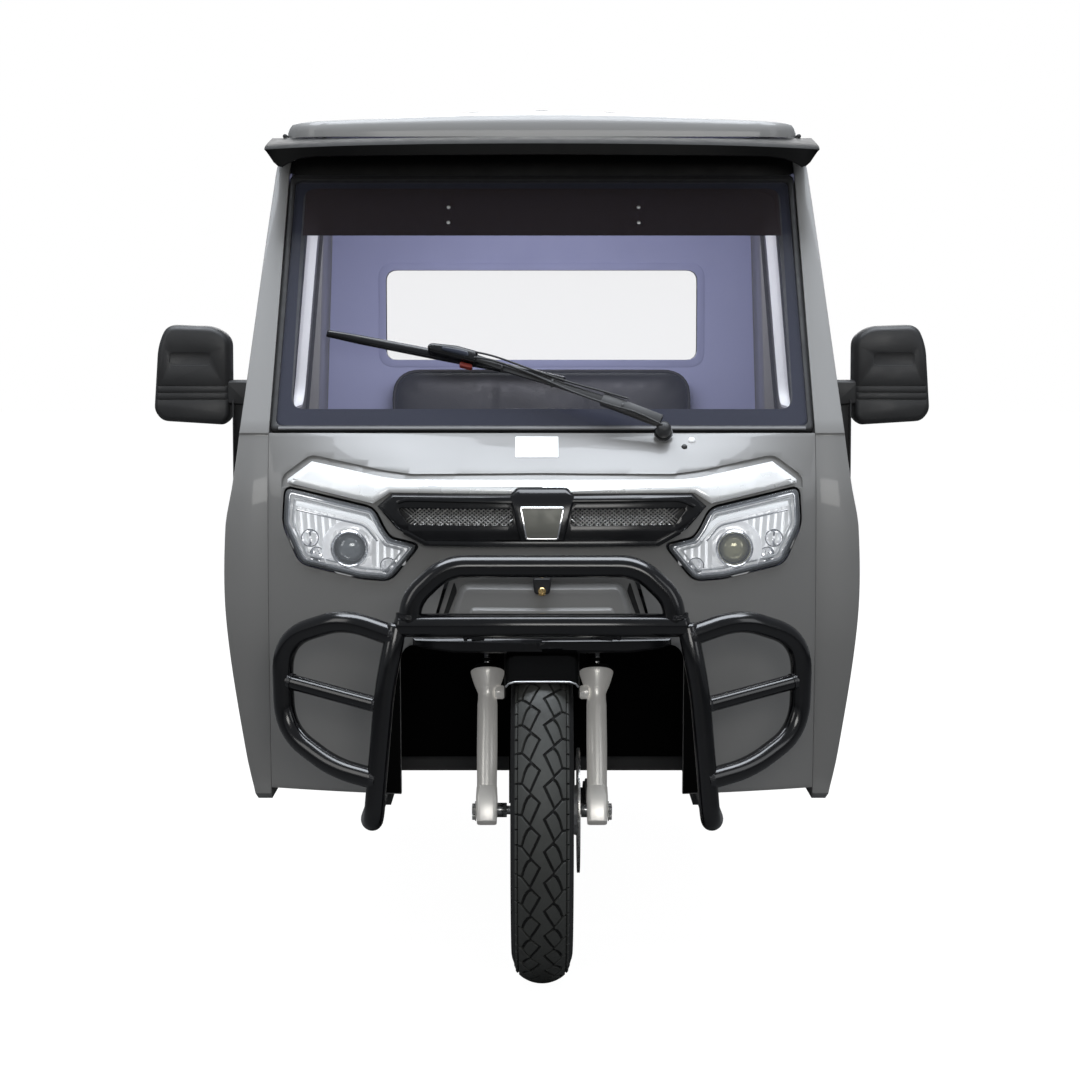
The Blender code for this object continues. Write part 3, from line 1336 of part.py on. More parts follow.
def build_chassis(finishes):
    half = RAIL_WIDTH / 2
    path = [
        (RAIL_FRONT, RAIL_LOW_Z), (KICK_FRONT, RAIL_LOW_Z), (KICK_BACK, RAIL_HIGH_Z),
        (RAIL_BACK, RAIL_HIGH_Z)
    ]
    path = [(behind(distance), height) for distance, height in path]
    shapes = []
    for side in (-1, 1):
        x_range = (side * RAIL_X - half, side * RAIL_X + half)
        shapes.append(plate(ribbon(path, RAIL_DEPTH / 2), "x", *x_range))
        for end in (-1, 1):
            shapes += hanger_shapes(side, end)
    for distance, height in CROSS_BEAMS:
        y_range = (behind(distance), behind(distance) + BEAM_WIDTH)
        shapes.append(block((-RAIL_X, RAIL_X), y_range, (height - 0.021, height + 0.019)))
    hoop = [(-RAIL_X, 0.390, RAIL_LOW_Z), (0.015 - RAIL_X, 0.390, 0.600), (0.080 - RAIL_X, 0.390, 0.660)]
    hoop += [(-x, distance, height) for x, distance, height in hoop[::-1]]
    hoop = [(x, behind(distance), height) for x, distance, height in hoop]
    shapes.append(tube(bend(hoop, 0.070, 3), 0.017, 8))
    head = [(STEM_RADIUS + HEAD_TUBE_CLEARANCE, HEAD_TUBE_LOW), (HEAD_TUBE_RADIUS, HEAD_TUBE_LOW)]
    head += [(radius, HEAD_TUBE_HIGH) for radius, along in head[::-1]]
    shapes.append(moved(revolve(head, "z", (0.0, 0.0, 0.0), 16), steering_frame()))
    start = steering_frame() @ Vector(
        (0.0, (HEAD_TUBE_RADIUS + STEM_RADIUS) / 2, (HEAD_TUBE_LOW + HEAD_TUBE_HIGH) / 2)
    )
    for x in (-NECK_SPREAD, NECK_SPREAD):
        neck = [start, Vector((0.5 * x, behind(0.330), 0.675)), Vector((x, behind(0.392), 0.655))]
        shapes.append(tube(neck, 0.0155, 8))
    add_part("chassis_frame", union(shapes), finishes["frame"])


def hanger_shapes(side, end):
    """Two cheeks and the pin that hold one spring eye under a rail."""
    place = Vector((side * RAIL_X, REAR_AXLE_Y + end * SPRING_HALF_LENGTH, SPRING_SEAT_Z + SPRING_CAMBER))
    inner = SPRING_WIDTH / 2 + SEAT_GAP
    outer = inner + 0.006
    y_range = (place.y - 0.020, place.y + 0.020)
    z_range = (place.z - 0.020, RAIL_HIGH_Z - RAIL_DEPTH / 2 + 0.004)
    shapes = []
    for cheek in (-1, 1):
        x_range = sorted((place.x + cheek * inner, place.x + cheek * outer))
        shapes.append(block(x_range, y_range, z_range))
    roof_z = place.z + SPRING_EYE_RADIUS + 0.004
    shapes.append(block((place.x - outer, place.x + outer), y_range, (roof_z, z_range[1])))
    return shapes


def build_floor(finishes):
    """Cab floor with its upright toe board."""
    half = CAB_FRONT_HALF_WIDTH
    low = RAIL_LOW_Z + RAIL_DEPTH / 2 + SEAT_GAP
    front = behind(TOE_BOARD_FRONT)
    back = behind(CAB_BACK - REAR_WALL_THICKNESS) - SEAT_GAP
    floor = block((-half, half), (front, back), (low, low + CAB_FLOOR_THICKNESS))
    toe = block((-half, half), (front, front + 0.012), (low, TOE_BOARD_TOP))
    add_part("cab_floor", union([floor, toe]), finishes["black"])
    return low + CAB_FLOOR_THICKNESS


def build_interior(finishes, floor_top):
    half = lookup(INNER_TABLE, SCREEN_BASE_Z, 1) - SEAT_GAP
    outline = [(0.055, 0.800), (0.055, 0.930), (0.120, 0.934), (0.200, 0.905), (0.196, 0.800)]
    outline = [(behind(distance), height) for distance, height in outline]
    add_part("dashboard", plate(bend(outline, 0.016, 3, closed=True), "x", -half, half), finishes["black"])
    y_range = (behind(SEAT_FRONT), behind(CAB_BACK - REAR_WALL_THICKNESS) - SEAT_GAP)
    base = block((-SEAT_HALF_WIDTH, SEAT_HALF_WIDTH), y_range, (floor_top + SEAT_GAP, SEAT_BASE_TOP))
    inside_x = (-SEAT_HALF_WIDTH + 0.020, SEAT_HALF_WIDTH - 0.020)
    inside_y = (y_range[0] + 0.020, y_range[1] - 0.020)
    hollow = block(inside_x, inside_y, (floor_top - 0.1, SEAT_BASE_TOP - 0.020))
    add_part("seat_box", cut(base, [hollow]), finishes["black"])
    corners = rectangle(
        (-SEAT_HALF_WIDTH, behind(SEAT_FRONT - 0.010)), (SEAT_HALF_WIDTH, behind(SEAT_FRONT + SEAT_LENGTH))
    )
    low = SEAT_BASE_TOP + SEAT_GAP
    cushion = plate(bend(corners, 0.060, 4, closed=True), "z", low, low + SEAT_CUSHION_HEIGHT)
    cushion = soften(cushion, lambda place: place.z > low + 0.05, 0.025)
    add_part("seat_cushion", cushion, finishes["seat"])
    low = low + SEAT_CUSHION_HEIGHT + 0.010
    corners = rectangle((-SEAT_HALF_WIDTH, low), (SEAT_HALF_WIDTH, BACKREST_TOP))
    back = behind(CAB_BACK - REAR_WALL_THICKNESS) - SEAT_GAP
    rest = plate(bend(corners, 0.070, 4, closed=True), "y", back - BACKREST_DEPTH, back)
    rest = soften(rest, lambda place: place.y < back - 0.5 * BACKREST_DEPTH, 0.025)
    add_part("seat_backrest", rest, finishes["seat"])


def build_bed(finishes):
    front = behind(BED_FRONT)
    back = behind(BED_FRONT + BED_LENGTH)
    half = BED_HALF_WIDTH
    wall = BED_WALL
    top = BED_FLOOR_Z + BED_SIDE_HEIGHT
    floor_low = BED_FLOOR_Z - BED_FLOOR_THICKNESS
    shapes = [block((-half, half), (front, back), (floor_low, BED_FLOOR_Z))]
    shapes.append(block((-half, half), (front, front + wall), (BED_FLOOR_Z - 0.005, top + HEADBOARD_RISE)))
    inner = half - wall
    for side in (-1, 1):
        x_range = sorted((side * inner, side * half))
        shapes.append(block(x_range, (front + 0.001, back), (BED_FLOOR_Z - 0.005, top)))
        rail = sorted((side * (inner + 0.001), side * (half + 0.007)))
        shapes.append(block(rail, (front + 0.001, back), (top - 0.030, top + 0.004)))
        for number in range(BED_POSTS):
            y = front + 0.030 + number * (BED_LENGTH - 0.080) / (BED_POSTS - 1)
            post = sorted((side * (half - 0.001), side * (half + 0.010)))
            shapes.append(block(post, (y, y + 0.030), (floor_low, top - 0.004)))
    rail_top = RAIL_HIGH_Z + RAIL_DEPTH / 2 + SEAT_GAP
    between_wheels = REAR_TRACK / 2 - REAR_TYRE_WIDTH / 2 - WHEEL_ROOM
    for share, short in BED_BEARERS:
        y = behind(BED_FRONT + share * BED_LENGTH)
        reach = between_wheels if short else BEARER_HALF
        shapes.append(block((-reach, reach), (y, y + BEARER_WIDTH), (rail_top, BED_FLOOR_Z - 0.001)))
    shapes += gate_pin_shapes()
    add_part("cargo_bed", union(shapes), finishes["paint"])


def gate_hinge_place(x=0.0):
    return Vector((x, behind(BED_FRONT + BED_LENGTH + 0.013), BED_FLOOR_Z - 0.008))


def gate_pin_shapes():
    shapes = []
    for x in (-GATE_HINGE_X, GATE_HINGE_X):
        place = gate_hinge_place(x)
        shapes.append(rod("x", place, HINGE_PIN_RADIUS, -0.034, 0.034, 8))
        for end in (-0.034, 0.028):
            y_range = (place.y - 0.015, place.y + 0.007)
            shapes.append(block((x + end, x + end + 0.006), y_range, (place.z - 0.006, place.z + 0.006)))
    return shapes


def build_tailgate(finishes, pivot):
    back = behind(BED_FRONT + BED_LENGTH)
    inner = BED_HALF_WIDTH - BED_WALL
    half = inner - GATE_GAP
    low = BED_FLOOR_Z + GATE_GAP + 0.002
    top = BED_FLOOR_Z + BED_SIDE_HEIGHT
    shapes = [block((-half, half), (back - BED_WALL, back), (low, top))]
    for number in range(GATE_POSTS):
        x = -half + 0.010 + number * (2 * half - 0.050) / (GATE_POSTS - 1)
        shapes.append(block((x, x + 0.030), (back - 0.001, back + 0.009), (low + 0.006, top - 0.006)))
    for x in (-GATE_HINGE_X, GATE_HINGE_X):
        place = gate_hinge_place(x)
        ring = [(HINGE_PIN_RADIUS + PIN_CLEARANCE, -0.022), (HINGE_PIN_RADIUS + 0.005, -0.022)]
        ring += [(radius, -along) for radius, along in ring[::-1]]
        shapes.append(revolve(ring, "x", place, 10))
        strap = [
            (place.y - 0.0010, place.z + 0.0068), (place.y + 0.0070, place.z + 0.0050),
            (place.y + 0.0020, place.z + 0.110)
        ]
        strap += [(place.y - 0.0150, place.z + 0.110), (place.y - 0.0150, place.z + 0.018)]
        shapes.append(plate(strap, "x", x - 0.022, x + 0.022))
    add_part("tailgate", union(shapes), finishes["paint"], pivot)


def build_rear_mudguards(finishes):
    centre_z = REAR_TYRE_RADIUS
    for name, side in SIDES:
        middle = side * REAR_TRACK / 2
        half = REAR_TYRE_WIDTH / 2 + 0.014
        loops = []
        for step in range(REAR_GUARD_STEPS + 1):
            angle = math.radians(REAR_GUARD_ANGLE * (2 * step / REAR_GUARD_STEPS - 1) + 90.0)
            section = [
                (REAR_GUARD_RADIUS - 0.022, -half), (REAR_GUARD_RADIUS, -half + 0.008),
                (REAR_GUARD_RADIUS, half - 0.008)
            ]
            section += [(REAR_GUARD_RADIUS - 0.022, half), (REAR_GUARD_RADIUS - 0.022, half - 0.0025)]
            section += [(REAR_GUARD_RADIUS - 0.003, half - 0.010), (REAR_GUARD_RADIUS - 0.003, -half + 0.010)]
            section += [(REAR_GUARD_RADIUS - 0.022, -half + 0.0025)]
            across, up = math.cos(angle), math.sin(angle)
            loops.append([(middle + x, REAR_AXLE_Y + r * across, centre_z + r * up) for r, x in section])
        floor_low = BED_FLOOR_Z - BED_FLOOR_THICKNESS
        shapes = [loft(loops)]
        for offset in (-0.070, 0.070):
            y_range = (REAR_AXLE_Y + offset - 0.015, REAR_AXLE_Y + offset + 0.015)
            z_range = (centre_z + REAR_GUARD_RADIUS - 0.012, floor_low - SEAT_GAP)
            shapes.append(block((middle - 0.020, middle + 0.020), y_range, z_range))
        add_part("rear_mudguard_" + name, union(shapes), finishes["black"])


def build_rear_bumper(finishes):
    low = behind(RAIL_BACK) + SEAT_GAP
    shapes = [
        block((-BUMPER_HALF, BUMPER_HALF), (low, low + 0.030), (RAIL_HIGH_Z - 0.035, RAIL_HIGH_Z + 0.025))
    ]
    for side in (-1, 1):
        x_range = sorted((side * (BUMPER_HALF - 0.150), side * (BUMPER_HALF - 0.010)))
        shapes.append(block(x_range, (low + 0.029, low + 0.060), (RAIL_HIGH_Z - 0.040, RAIL_HIGH_Z + 0.030)))
    add_part("rear_bumper", union(shapes), finishes["black"])


def build_battery_box(finishes):
    """Closed battery box under the bed, between the rails and two of their cross beams."""
    front = behind(CROSS_BEAMS[2][0] + BEAM_WIDTH) + SEAT_GAP
    back = behind(CROSS_BEAMS[3][0]) - SEAT_GAP
    low = RAIL_HIGH_Z + 0.015 - BATTERY_HEIGHT
    half = RAIL_X - RAIL_WIDTH / 2 - BATTERY_SIDE_GAP
    box = block((-half, half), (front, back), (low, low + BATTERY_HEIGHT))
    box = soften(box, lambda place: place.z < low + 0.01, 0.012)
    add_part("battery_box", box, finishes["black"])


def make_finishes():
    finishes = {}
    table = (
        ("paint", (0.225, 0.222, 0.217), 0.35, 0.0, 1.0),
        ("black", (0.016, 0.016, 0.018), 0.42, 0.0, 1.0),
        ("frame", (0.030, 0.030, 0.032), 0.50, 0.3, 1.0),
        ("silver", (0.55, 0.55, 0.56), 0.35, 0.8, 1.0),
        ("bright", (0.72, 0.72, 0.74), 0.22, 0.9, 1.0),
        ("alloy", (0.50, 0.50, 0.51), 0.40, 0.8, 1.0),
        ("tyre", (0.022, 0.022, 0.022), 0.85, 0.0, 1.0),
        ("rubber", (0.020, 0.020, 0.020), 0.70, 0.0, 1.0),
        ("glass", (0.30, 0.30, 0.33), 0.05, 0.0, 0.35),
        ("lens", (0.70, 0.72, 0.75), 0.06, 0.0, 0.55),
        ("seat", (0.035, 0.035, 0.037), 0.75, 0.0, 1.0),
    )
    for name, colour, roughness, metallic, alpha in table:
        finishes[name] = make_finish(name, colour, roughness, metallic, alpha)
    return finishes


def main():
    clear_scene()
    finishes = make_finishes()
    steering = add_pivot("steering_axis", (0.0, behind(FORK_OFFSET), FRONT_TYRE_RADIUS))
    front_wheel = add_pivot("front_wheel_axis", (0.0, FRONT_AXLE_Y, FRONT_TYRE_RADIUS))
    rear = {
        name: add_pivot("rear_axis_" + name, (side * REAR_TRACK / 2, REAR_AXLE_Y, REAR_TYRE_RADIUS)) for name,
        side in SIDES
    }
    doors = {
        name: add_pivot("door_axis_" + name, (side * HINGE_X, behind(HINGE_BACK), HINGE_HEIGHTS[0])) for name,
        side in SIDES
    }
    lid = add_pivot("lid_axis", lid_hinge_place())
    gate = add_pivot("tailgate_axis", gate_hinge_place())
    wiper = add_pivot("wiper_axis", screen_frame() @ Vector((WIPER_X, 0.0, WIPER_UP)))
    build_front_wheel(finishes, front_wheel)
    build_fork(finishes, steering)
    build_mudguard(finishes, steering)
    build_handlebar(finishes, steering)
    build_rear_wheels(finishes, rear)
    build_rear_axle(finishes)
    build_front_panel(finishes)
    build_lid(finishes, lid)
    build_front_trim(finishes)
    build_sides(finishes, doors)
    build_screen(finishes)
    build_wiper(finishes, wiper)
    build_roof(finishes)
    build_visor(finishes)
    build_rear_wall(finishes)
    build_mirrors(finishes)
    build_bull_bar(finishes)
    build_liner(finishes)
    build_chassis(finishes)
    floor_top = build_floor(finishes)
    build_interior(finishes, floor_top)
    build_bed(finishes)
    build_tailgate(finishes, gate)
    build_rear_mudguards(finishes)
    build_rear_bumper(finishes)
    build_battery_box(finishes)


main()
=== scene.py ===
"""Looks of the electric cargo tricycle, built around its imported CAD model.

The front faces -Y, +Z is up and the ground is z = 0. Sizes are in metres.
"""

import json
import math

import bmesh
import bpy
from mathutils import Matrix, Vector


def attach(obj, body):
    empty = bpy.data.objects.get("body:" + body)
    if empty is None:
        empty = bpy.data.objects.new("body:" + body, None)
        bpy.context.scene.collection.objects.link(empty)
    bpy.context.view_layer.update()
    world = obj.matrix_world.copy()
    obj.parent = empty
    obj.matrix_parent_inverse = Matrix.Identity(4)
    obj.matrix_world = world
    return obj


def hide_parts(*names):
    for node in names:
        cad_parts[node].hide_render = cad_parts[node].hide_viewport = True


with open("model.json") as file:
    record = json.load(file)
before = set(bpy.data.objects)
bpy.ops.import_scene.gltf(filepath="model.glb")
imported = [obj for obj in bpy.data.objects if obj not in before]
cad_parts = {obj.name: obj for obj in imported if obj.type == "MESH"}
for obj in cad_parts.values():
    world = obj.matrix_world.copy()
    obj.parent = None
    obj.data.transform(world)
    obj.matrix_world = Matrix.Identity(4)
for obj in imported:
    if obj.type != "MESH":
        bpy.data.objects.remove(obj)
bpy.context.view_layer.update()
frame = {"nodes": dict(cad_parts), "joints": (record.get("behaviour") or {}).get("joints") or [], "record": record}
NODES = frame["nodes"]
JOINTS = {joint["name"]: joint for joint in frame["joints"]}
SIDES = (("right", -1), ("left", 1))
MIRROR_X = Matrix.Scale(-1.0, 4, (1.0, 0.0, 0.0))

# Camera, as the photograph was taken
CAMERA_PLACE = (-0.0035, -5.730, 1.148)
CAMERA_PITCH = math.radians(4.67)
CAMERA_LENS = 85.95
CAMERA_SENSOR = 36.0

# Places and sizes shared with the CAD model
FRONT_AXLE = Vector(JOINTS["front_wheel_spin"]["pos_m"])
REAR_AXLE = Vector(JOINTS["rear_left_spin"]["pos_m"])
STEM_TOP = 0.665
STEERING_FOOT = Vector(JOINTS["steering_turn"]["pos_m"])
STEERING_AXIS = Vector(JOINTS["steering_turn"]["axis"]).normalized()
SCREEN_RAKE = math.radians(28.5)
SCREEN_FOOT = Vector((0.0, FRONT_AXLE.y + 0.020, 0.967))
SCREEN_HALF_WIDTH = 0.4778
SCREEN_TAPER = 0.0307


def new_nodes(name):
    """Material with only its Principled shader, and that shader."""
    material = bpy.data.materials.new(name)
    material.use_nodes = True
    return material, material.node_tree.nodes["Principled BSDF"]


def noise_of(tree, scale, detail=3.0):
    """Noise over the object's own coordinates."""
    coordinates = tree.nodes.new("ShaderNodeTexCoord")
    noise = tree.nodes.new("ShaderNodeTexNoise")
    noise.inputs["Scale"].default_value = scale
    noise.inputs["Detail"].default_value = detail
    tree.links.new(coordinates.outputs["Object"], noise.inputs["Vector"])
    return noise


def spread(tree, source, low, high):
    """Value from low to high as a noise goes from its usual least to its usual most."""
    ranged = tree.nodes.new("ShaderNodeMapRange")
    ranged.inputs["From Min"].default_value = 0.3
    ranged.inputs["From Max"].default_value = 0.7
    ranged.inputs["To Min"].default_value = low
    ranged.inputs["To Max"].default_value = high
    tree.links.new(source, ranged.inputs["Value"])
    return ranged.outputs["Result"]


def mottle(tree, source, colour, share):
    """Colour that drifts by a share of itself with a noise."""
    mix = tree.nodes.new("ShaderNodeMix")
    mix.data_type = "RGBA"
    mix.inputs["A"].default_value = (*[value * (1.0 - share) for value in colour], 1.0)
    mix.inputs["B"].default_value = (*[min(value * (1.0 + share), 1.0) for value in colour], 1.0)
    tree.links.new(source, mix.inputs["Factor"])
    return mix.outputs["Result"]


def bump_of(tree, shader, source, strength, distance):
    """Fine relief from a noise, on the shader's normal."""
    bump = tree.nodes.new("ShaderNodeBump")
    bump.inputs["Strength"].default_value = strength
    bump.inputs["Distance"].default_value = distance
    tree.links.new(source, bump.inputs["Height"])
    tree.links.new(bump.outputs["Normal"], shader.inputs["Normal"])


def finish(name, colour, roughness, metallic, share, drift, rough_share,
           grain, bump, depth, coat=0.0, specular=0.5, glow=0.0):
    """Solid finish with a slow drift of colour and gloss and a fine grain."""
    material, shader = new_nodes(name)
    tree = material.node_tree
    slow = noise_of(tree, drift)
    tree.links.new(mottle(tree, slow.outputs["Fac"], colour, share), shader.inputs["Base Color"])
    low = roughness * (1.0 - rough_share)
    high = roughness * (1.0 + rough_share)
    middle = noise_of(tree, drift * 7.0, 4.0)
    tree.links.new(spread(tree, middle.outputs["Fac"], low, high), shader.inputs["Roughness"])
    fine = noise_of(tree, grain, 2.0)
    bump_of(tree, shader, fine.outputs["Fac"], bump, depth)
    shader.inputs["Metallic"].default_value = metallic
    shader.inputs["Coat Weight"].default_value = coat
    shader.inputs["Coat Roughness"].default_value = 0.05
    shader.inputs["Specular IOR Level"].default_value = specular
    shader.inputs["Emission Color"].default_value = (*colour, 1.0)
    shader.inputs["Emission Strength"].default_value = glow
    return material


def glass(name, colour, alpha, roughness=0.02, specular=0.3):
    """Thin clear sheet: part of it lets light straight through, and the rest is a glossy tint."""
    material, shader = new_nodes(name)
    tree = material.node_tree
    slow = noise_of(tree, 2.0)
    tree.links.new(mottle(tree, slow.outputs["Fac"], colour, 0.10), shader.inputs["Base Color"])
    shader.inputs["Roughness"].default_value = roughness
    shader.inputs["Alpha"].default_value = alpha
    shader.inputs["Specular IOR Level"].default_value = specular
    return material


def make_finishes():
    return {
        "paint": finish("paint", (0.225, 0.222, 0.217), 0.39, 0.0, 0.035, 1.5, 0.10, 2400.0, 0.03, 0.0002,
                        0.35),
        "black": finish("black_plastic", (0.026, 0.026, 0.027), 0.46, 0.0, 0.15, 5.0, 0.15, 1500.0, 0.25,
                        0.0003),
        "trim": finish("black_gloss_trim", (0.008, 0.008, 0.009), 0.16, 0.0, 0.10, 4.0, 0.2, 1200.0, 0.02,
                       0.0002),
        "guard": finish("black_gloss_enamel", (0.002, 0.002, 0.003), 0.19, 0.0, 0.10, 4.0, 0.15, 160.0,
                        0.02, 0.0003, 0.25, 0.6),
        "frame": finish("chassis_black", (0.020, 0.020, 0.021), 0.42, 0.0, 0.20, 6.0, 0.2, 500.0, 0.2,
                        0.0004),
        "silver": finish("silver_enamel", (0.80, 0.79, 0.755), 0.34, 0.22, 0.05, 6.0, 0.2, 900.0, 0.08,
                         0.0003, 0.2),
        "alloy": finish("cast_alloy", (0.50, 0.50, 0.50), 0.40, 0.8, 0.06, 8.0, 0.2, 700.0, 0.20, 0.0004),
        # The satin chrome glows a little (glow 0.10): painted light on the garnish.
        "bright": finish("satin_chrome_painted_light", (0.88, 0.89, 0.89), 0.30, 0.30, 0.03, 3.0, 0.2, 2600.0, 0.03,
                         0.0002, 0.0, 0.5, 0.10),
        "chrome": finish("mirror_chrome", (0.88, 0.88, 0.90), 0.07, 1.0, 0.02, 6.0, 0.3, 900.0, 0.01,
                         0.0002),
        "tyre": finish("tyre_rubber", (0.011, 0.011, 0.011), 0.78, 0.0, 0.22, 14.0, 0.12, 900.0, 0.35,
                       0.0005),
        "rubber": finish("seal_rubber", (0.018, 0.018, 0.019), 0.62, 0.0, 0.15, 9.0, 0.15, 1200.0, 0.2,
                         0.0003),
        "seat": finish("leatherette", (0.022, 0.022, 0.023), 0.48, 0.0, 0.18, 7.0, 0.15, 420.0, 0.55,
                       0.0006),
        "satin": finish("satin_silver", (0.62, 0.63, 0.64), 0.30, 0.75, 0.03, 4.0, 0.2, 2200.0, 0.03,
                        0.0002),
        # The reflector chrome glows (glow 0.30): painted reflection that keeps the unlit reflectors white.
        "lamp_chrome_painted_light": finish("lamp_reflector_painted_light", (0.88, 0.89, 0.90), 0.20, 0.55, 0.05, 9.0, 0.3, 160.0, 0.10,
                              0.0008, 0.0, 0.5, 0.30),
        "plaque": finish("plaque_grey", (0.115, 0.115, 0.100), 0.38, 0.3, 0.06, 9.0, 0.2, 2400.0, 0.05,
                         0.0002),
        # Seam black also paints the shade in the recesses beside the lid's plateau.
        "seam": finish("seam_black_and_painted_shade", (0.004, 0.004, 0.004), 0.70, 0.0, 0.10, 9.0, 0.1, 1200.0, 0.05,
                       0.0002),
        "brass": finish("brass", (0.78, 0.55, 0.24), 0.26, 1.0, 0.08, 30.0, 0.2, 1200.0, 0.05, 0.0002),
        "weld": finish("guard_weld", (0.007, 0.007, 0.009), 0.22, 0.0, 0.10, 9.0, 0.25, 420.0, 0.9, 0.0012,
                       0.5),
        "dark_chrome": finish("dark_chrome", (0.34, 0.34, 0.34), 0.20, 1.0, 0.05, 12.0, 0.3, 900.0, 0.02,
                              0.0002),
        "tread": finish("tread_rubber", (0.062, 0.064, 0.060), 0.60, 0.0, 0.18, 18.0, 0.15, 700.0, 0.30,
                        0.0005),
        "label": finish("blank_label", (0.80, 0.80, 0.80), 0.55, 0.0, 0.03, 12.0, 0.1, 900.0, 0.03, 0.0002),
        "strip": finish("screen_strip", (0.16, 0.16, 0.165), 0.45, 0.0, 0.10, 12.0, 0.1, 900.0, 0.05,
                        0.0002),
        "sheen": finish("wiper_cover", (0.022, 0.026, 0.040), 0.22, 0.0, 0.10, 12.0, 0.1, 900.0, 0.05,
                        0.0002),
        "clip_red": finish("wiper_clip", (0.25, 0.03, 0.02), 0.40, 0.0, 0.10, 12.0, 0.1, 900.0, 0.05,
                           0.0002),
        "screw": finish("screw_head", (0.80, 0.80, 0.80), 0.30, 0.6, 0.05, 12.0, 0.1, 900.0, 0.05, 0.0002),
        # Blue-violet lining: painted reflection of the sky that the glass shows over the grey rear wall.
        "painted_light_lining": finish("wall_lining", (0.36, 0.38, 0.58), 0.60, 0.0, 0.08, 4.0, 0.1, 700.0, 0.10, 0.0003),
        "red_lens": finish("red_lens", (0.42, 0.012, 0.010), 0.14, 0.0, 0.10, 20.0, 0.2, 260.0, 0.25,
                           0.0010, 0.8),
        "amber_lens": finish("amber_lens", (0.62, 0.17, 0.010), 0.14, 0.0, 0.10, 20.0, 0.2, 260.0, 0.25,
                             0.0010, 0.8),
        "lens_white": finish("white_lens", (0.72, 0.72, 0.70), 0.14, 0.0, 0.10, 20.0, 0.2, 260.0, 0.25,
                             0.0010, 0.8),
        "deck": finish("checker_deck", (0.070, 0.070, 0.072), 0.46, 0.35, 0.12, 5.0, 0.2, 160.0, 0.60,
                       0.0012),
        "mat": finish("floor_mat", (0.016, 0.016, 0.017), 0.75, 0.0, 0.12, 9.0, 0.1, 260.0, 0.60, 0.0010),
        "display": finish("display", (0.012, 0.013, 0.016), 0.08, 0.0, 0.05, 9.0, 0.1, 900.0, 0.02, 0.0002,
                          0.6),
        # The frit's slight blue stands for the sky reflected in it: painted reflection on a black border.
        "frit": finish("frit_black", (0.020, 0.022, 0.034), 0.12, 0.0, 0.10, 3.0, 0.1, 900.0, 0.01, 0.0002,
                       0.5),
        "steel": finish("zinc_steel", (0.55, 0.54, 0.52), 0.30, 1.0, 0.06, 20.0, 0.2, 1200.0, 0.08, 0.0002),
        # The glass's blue tint stands partly for the sky's reflection in it: painted reflection.
        "glass": glass("clear_glass", (0.30, 0.31, 0.40), 0.04),
        # Fork silver glows a little (glow 0.12): painted light that brightens the legs in the shade under the
        # body.
        "fork_silver_painted_light": finish("fork_silver_painted_light", (0.92, 0.90, 0.86), 0.30, 0.40, 0.01, 6.0, 0.05, 2600.0, 0.01,
                              0.0001, 0.0, 0.5, 0.12),
        # Matt black with no gloss at all: partly the parts' own black, partly painted shade that keeps the
        # mudguard, wheel liner and arch strips dark under the bumper.
        "shade_matt": finish("matt_black", (0.004, 0.004, 0.004), 0.80, 0.0, 0.15, 6.0, 0.1, 900.0, 0.10, 0.0002,
                       0.0, 0.0),
        "visor": finish("visor_black", (0.003, 0.003, 0.003), 0.40, 0.0, 0.10, 6.0, 0.1, 900.0, 0.02,
                        0.0002, 0.0, 0.12),
        # Near-white channel: painted light that makes the door windows' reveals show as bright strips.
        "channel": finish("window_channel_painted_light", (0.86, 0.86, 0.86), 0.50, 0.0, 0.03, 6.0, 0.1, 900.0, 0.02,
                          0.0002),
        # The side glass's blue tint stands partly for the sky's reflection in it: painted reflection.
        "side_glass": glass("side_glass", (0.30, 0.31, 0.40), 0.05, 0.3, 0.0),
        "band": glass("sun_band", (0.028, 0.017, 0.014), 0.93, 0.10),
        "lens": glass("clear_lens", (0.80, 0.84, 0.90), 0.10, 0.03),
        "guide": finish("light_guide", (0.90, 0.92, 0.94), 0.22, 0.0, 0.04, 12.0, 0.2, 400.0, 0.10, 0.0004,
                        0.5, 0.5, 0.45),
        # The two projector glasses differ only by what they reflect: the grey and the warm colours are painted
        # reflections.
        "projector_grey_reflection": finish("projector_glass_painted_grey_reflection", (0.26, 0.28, 0.29), 0.06, 0.35, 0.20, 30.0, 0.2,
                                 200.0, 0.02, 0.0003, 1.0),
        "projector_warm_reflection": finish("projector_glass_painted_warm_reflection", (0.42, 0.40, 0.24), 0.06, 0.35, 0.20, 30.0, 0.2,
                                 200.0, 0.02, 0.0003, 1.0),
    }


FINISHES = make_finishes()


# Shapes

FRONT_HALF = 0.478
# Height, how far the front's outer edge lies behind the axle there, and how far its middle bows ahead
FRONT_TABLE = (
    (0.335, 0.010, 0.092), (0.600, -0.012, 0.092), (0.720, -0.014, 0.092), (0.860, -0.008, 0.092),
    (0.925, 0.004, 0.044), (0.967, 0.014, 0.0), )
PANEL_THICKNESS = 0.018


def eased(table, value, column):
    """Value of a table's column, on a smooth curve through its rows."""
    value = min(max(value, table[0][0]), table[-1][0])
    last = len(table) - 1
    index = next(i for i in range(last) if value <= table[i + 1][0])

    def slope(i):
        low, high = max(i - 1, 0), min(i + 1, last)
        return (table[high][column] - table[low][column]) / (table[high][0] - table[low][0])

    start, end = table[index], table[index + 1]
    span = end[0] - start[0]
    t = (value - start[0]) / span
    near = start[column] * (2 * t ** 3 - 3 * t ** 2 + 1) + slope(index) * span * (t ** 3 - 2 * t ** 2 + t)
    far = end[column] * (3 * t ** 2 - 2 * t ** 3) + slope(index + 1) * span * (t ** 3 - t ** 2)
    return near + far


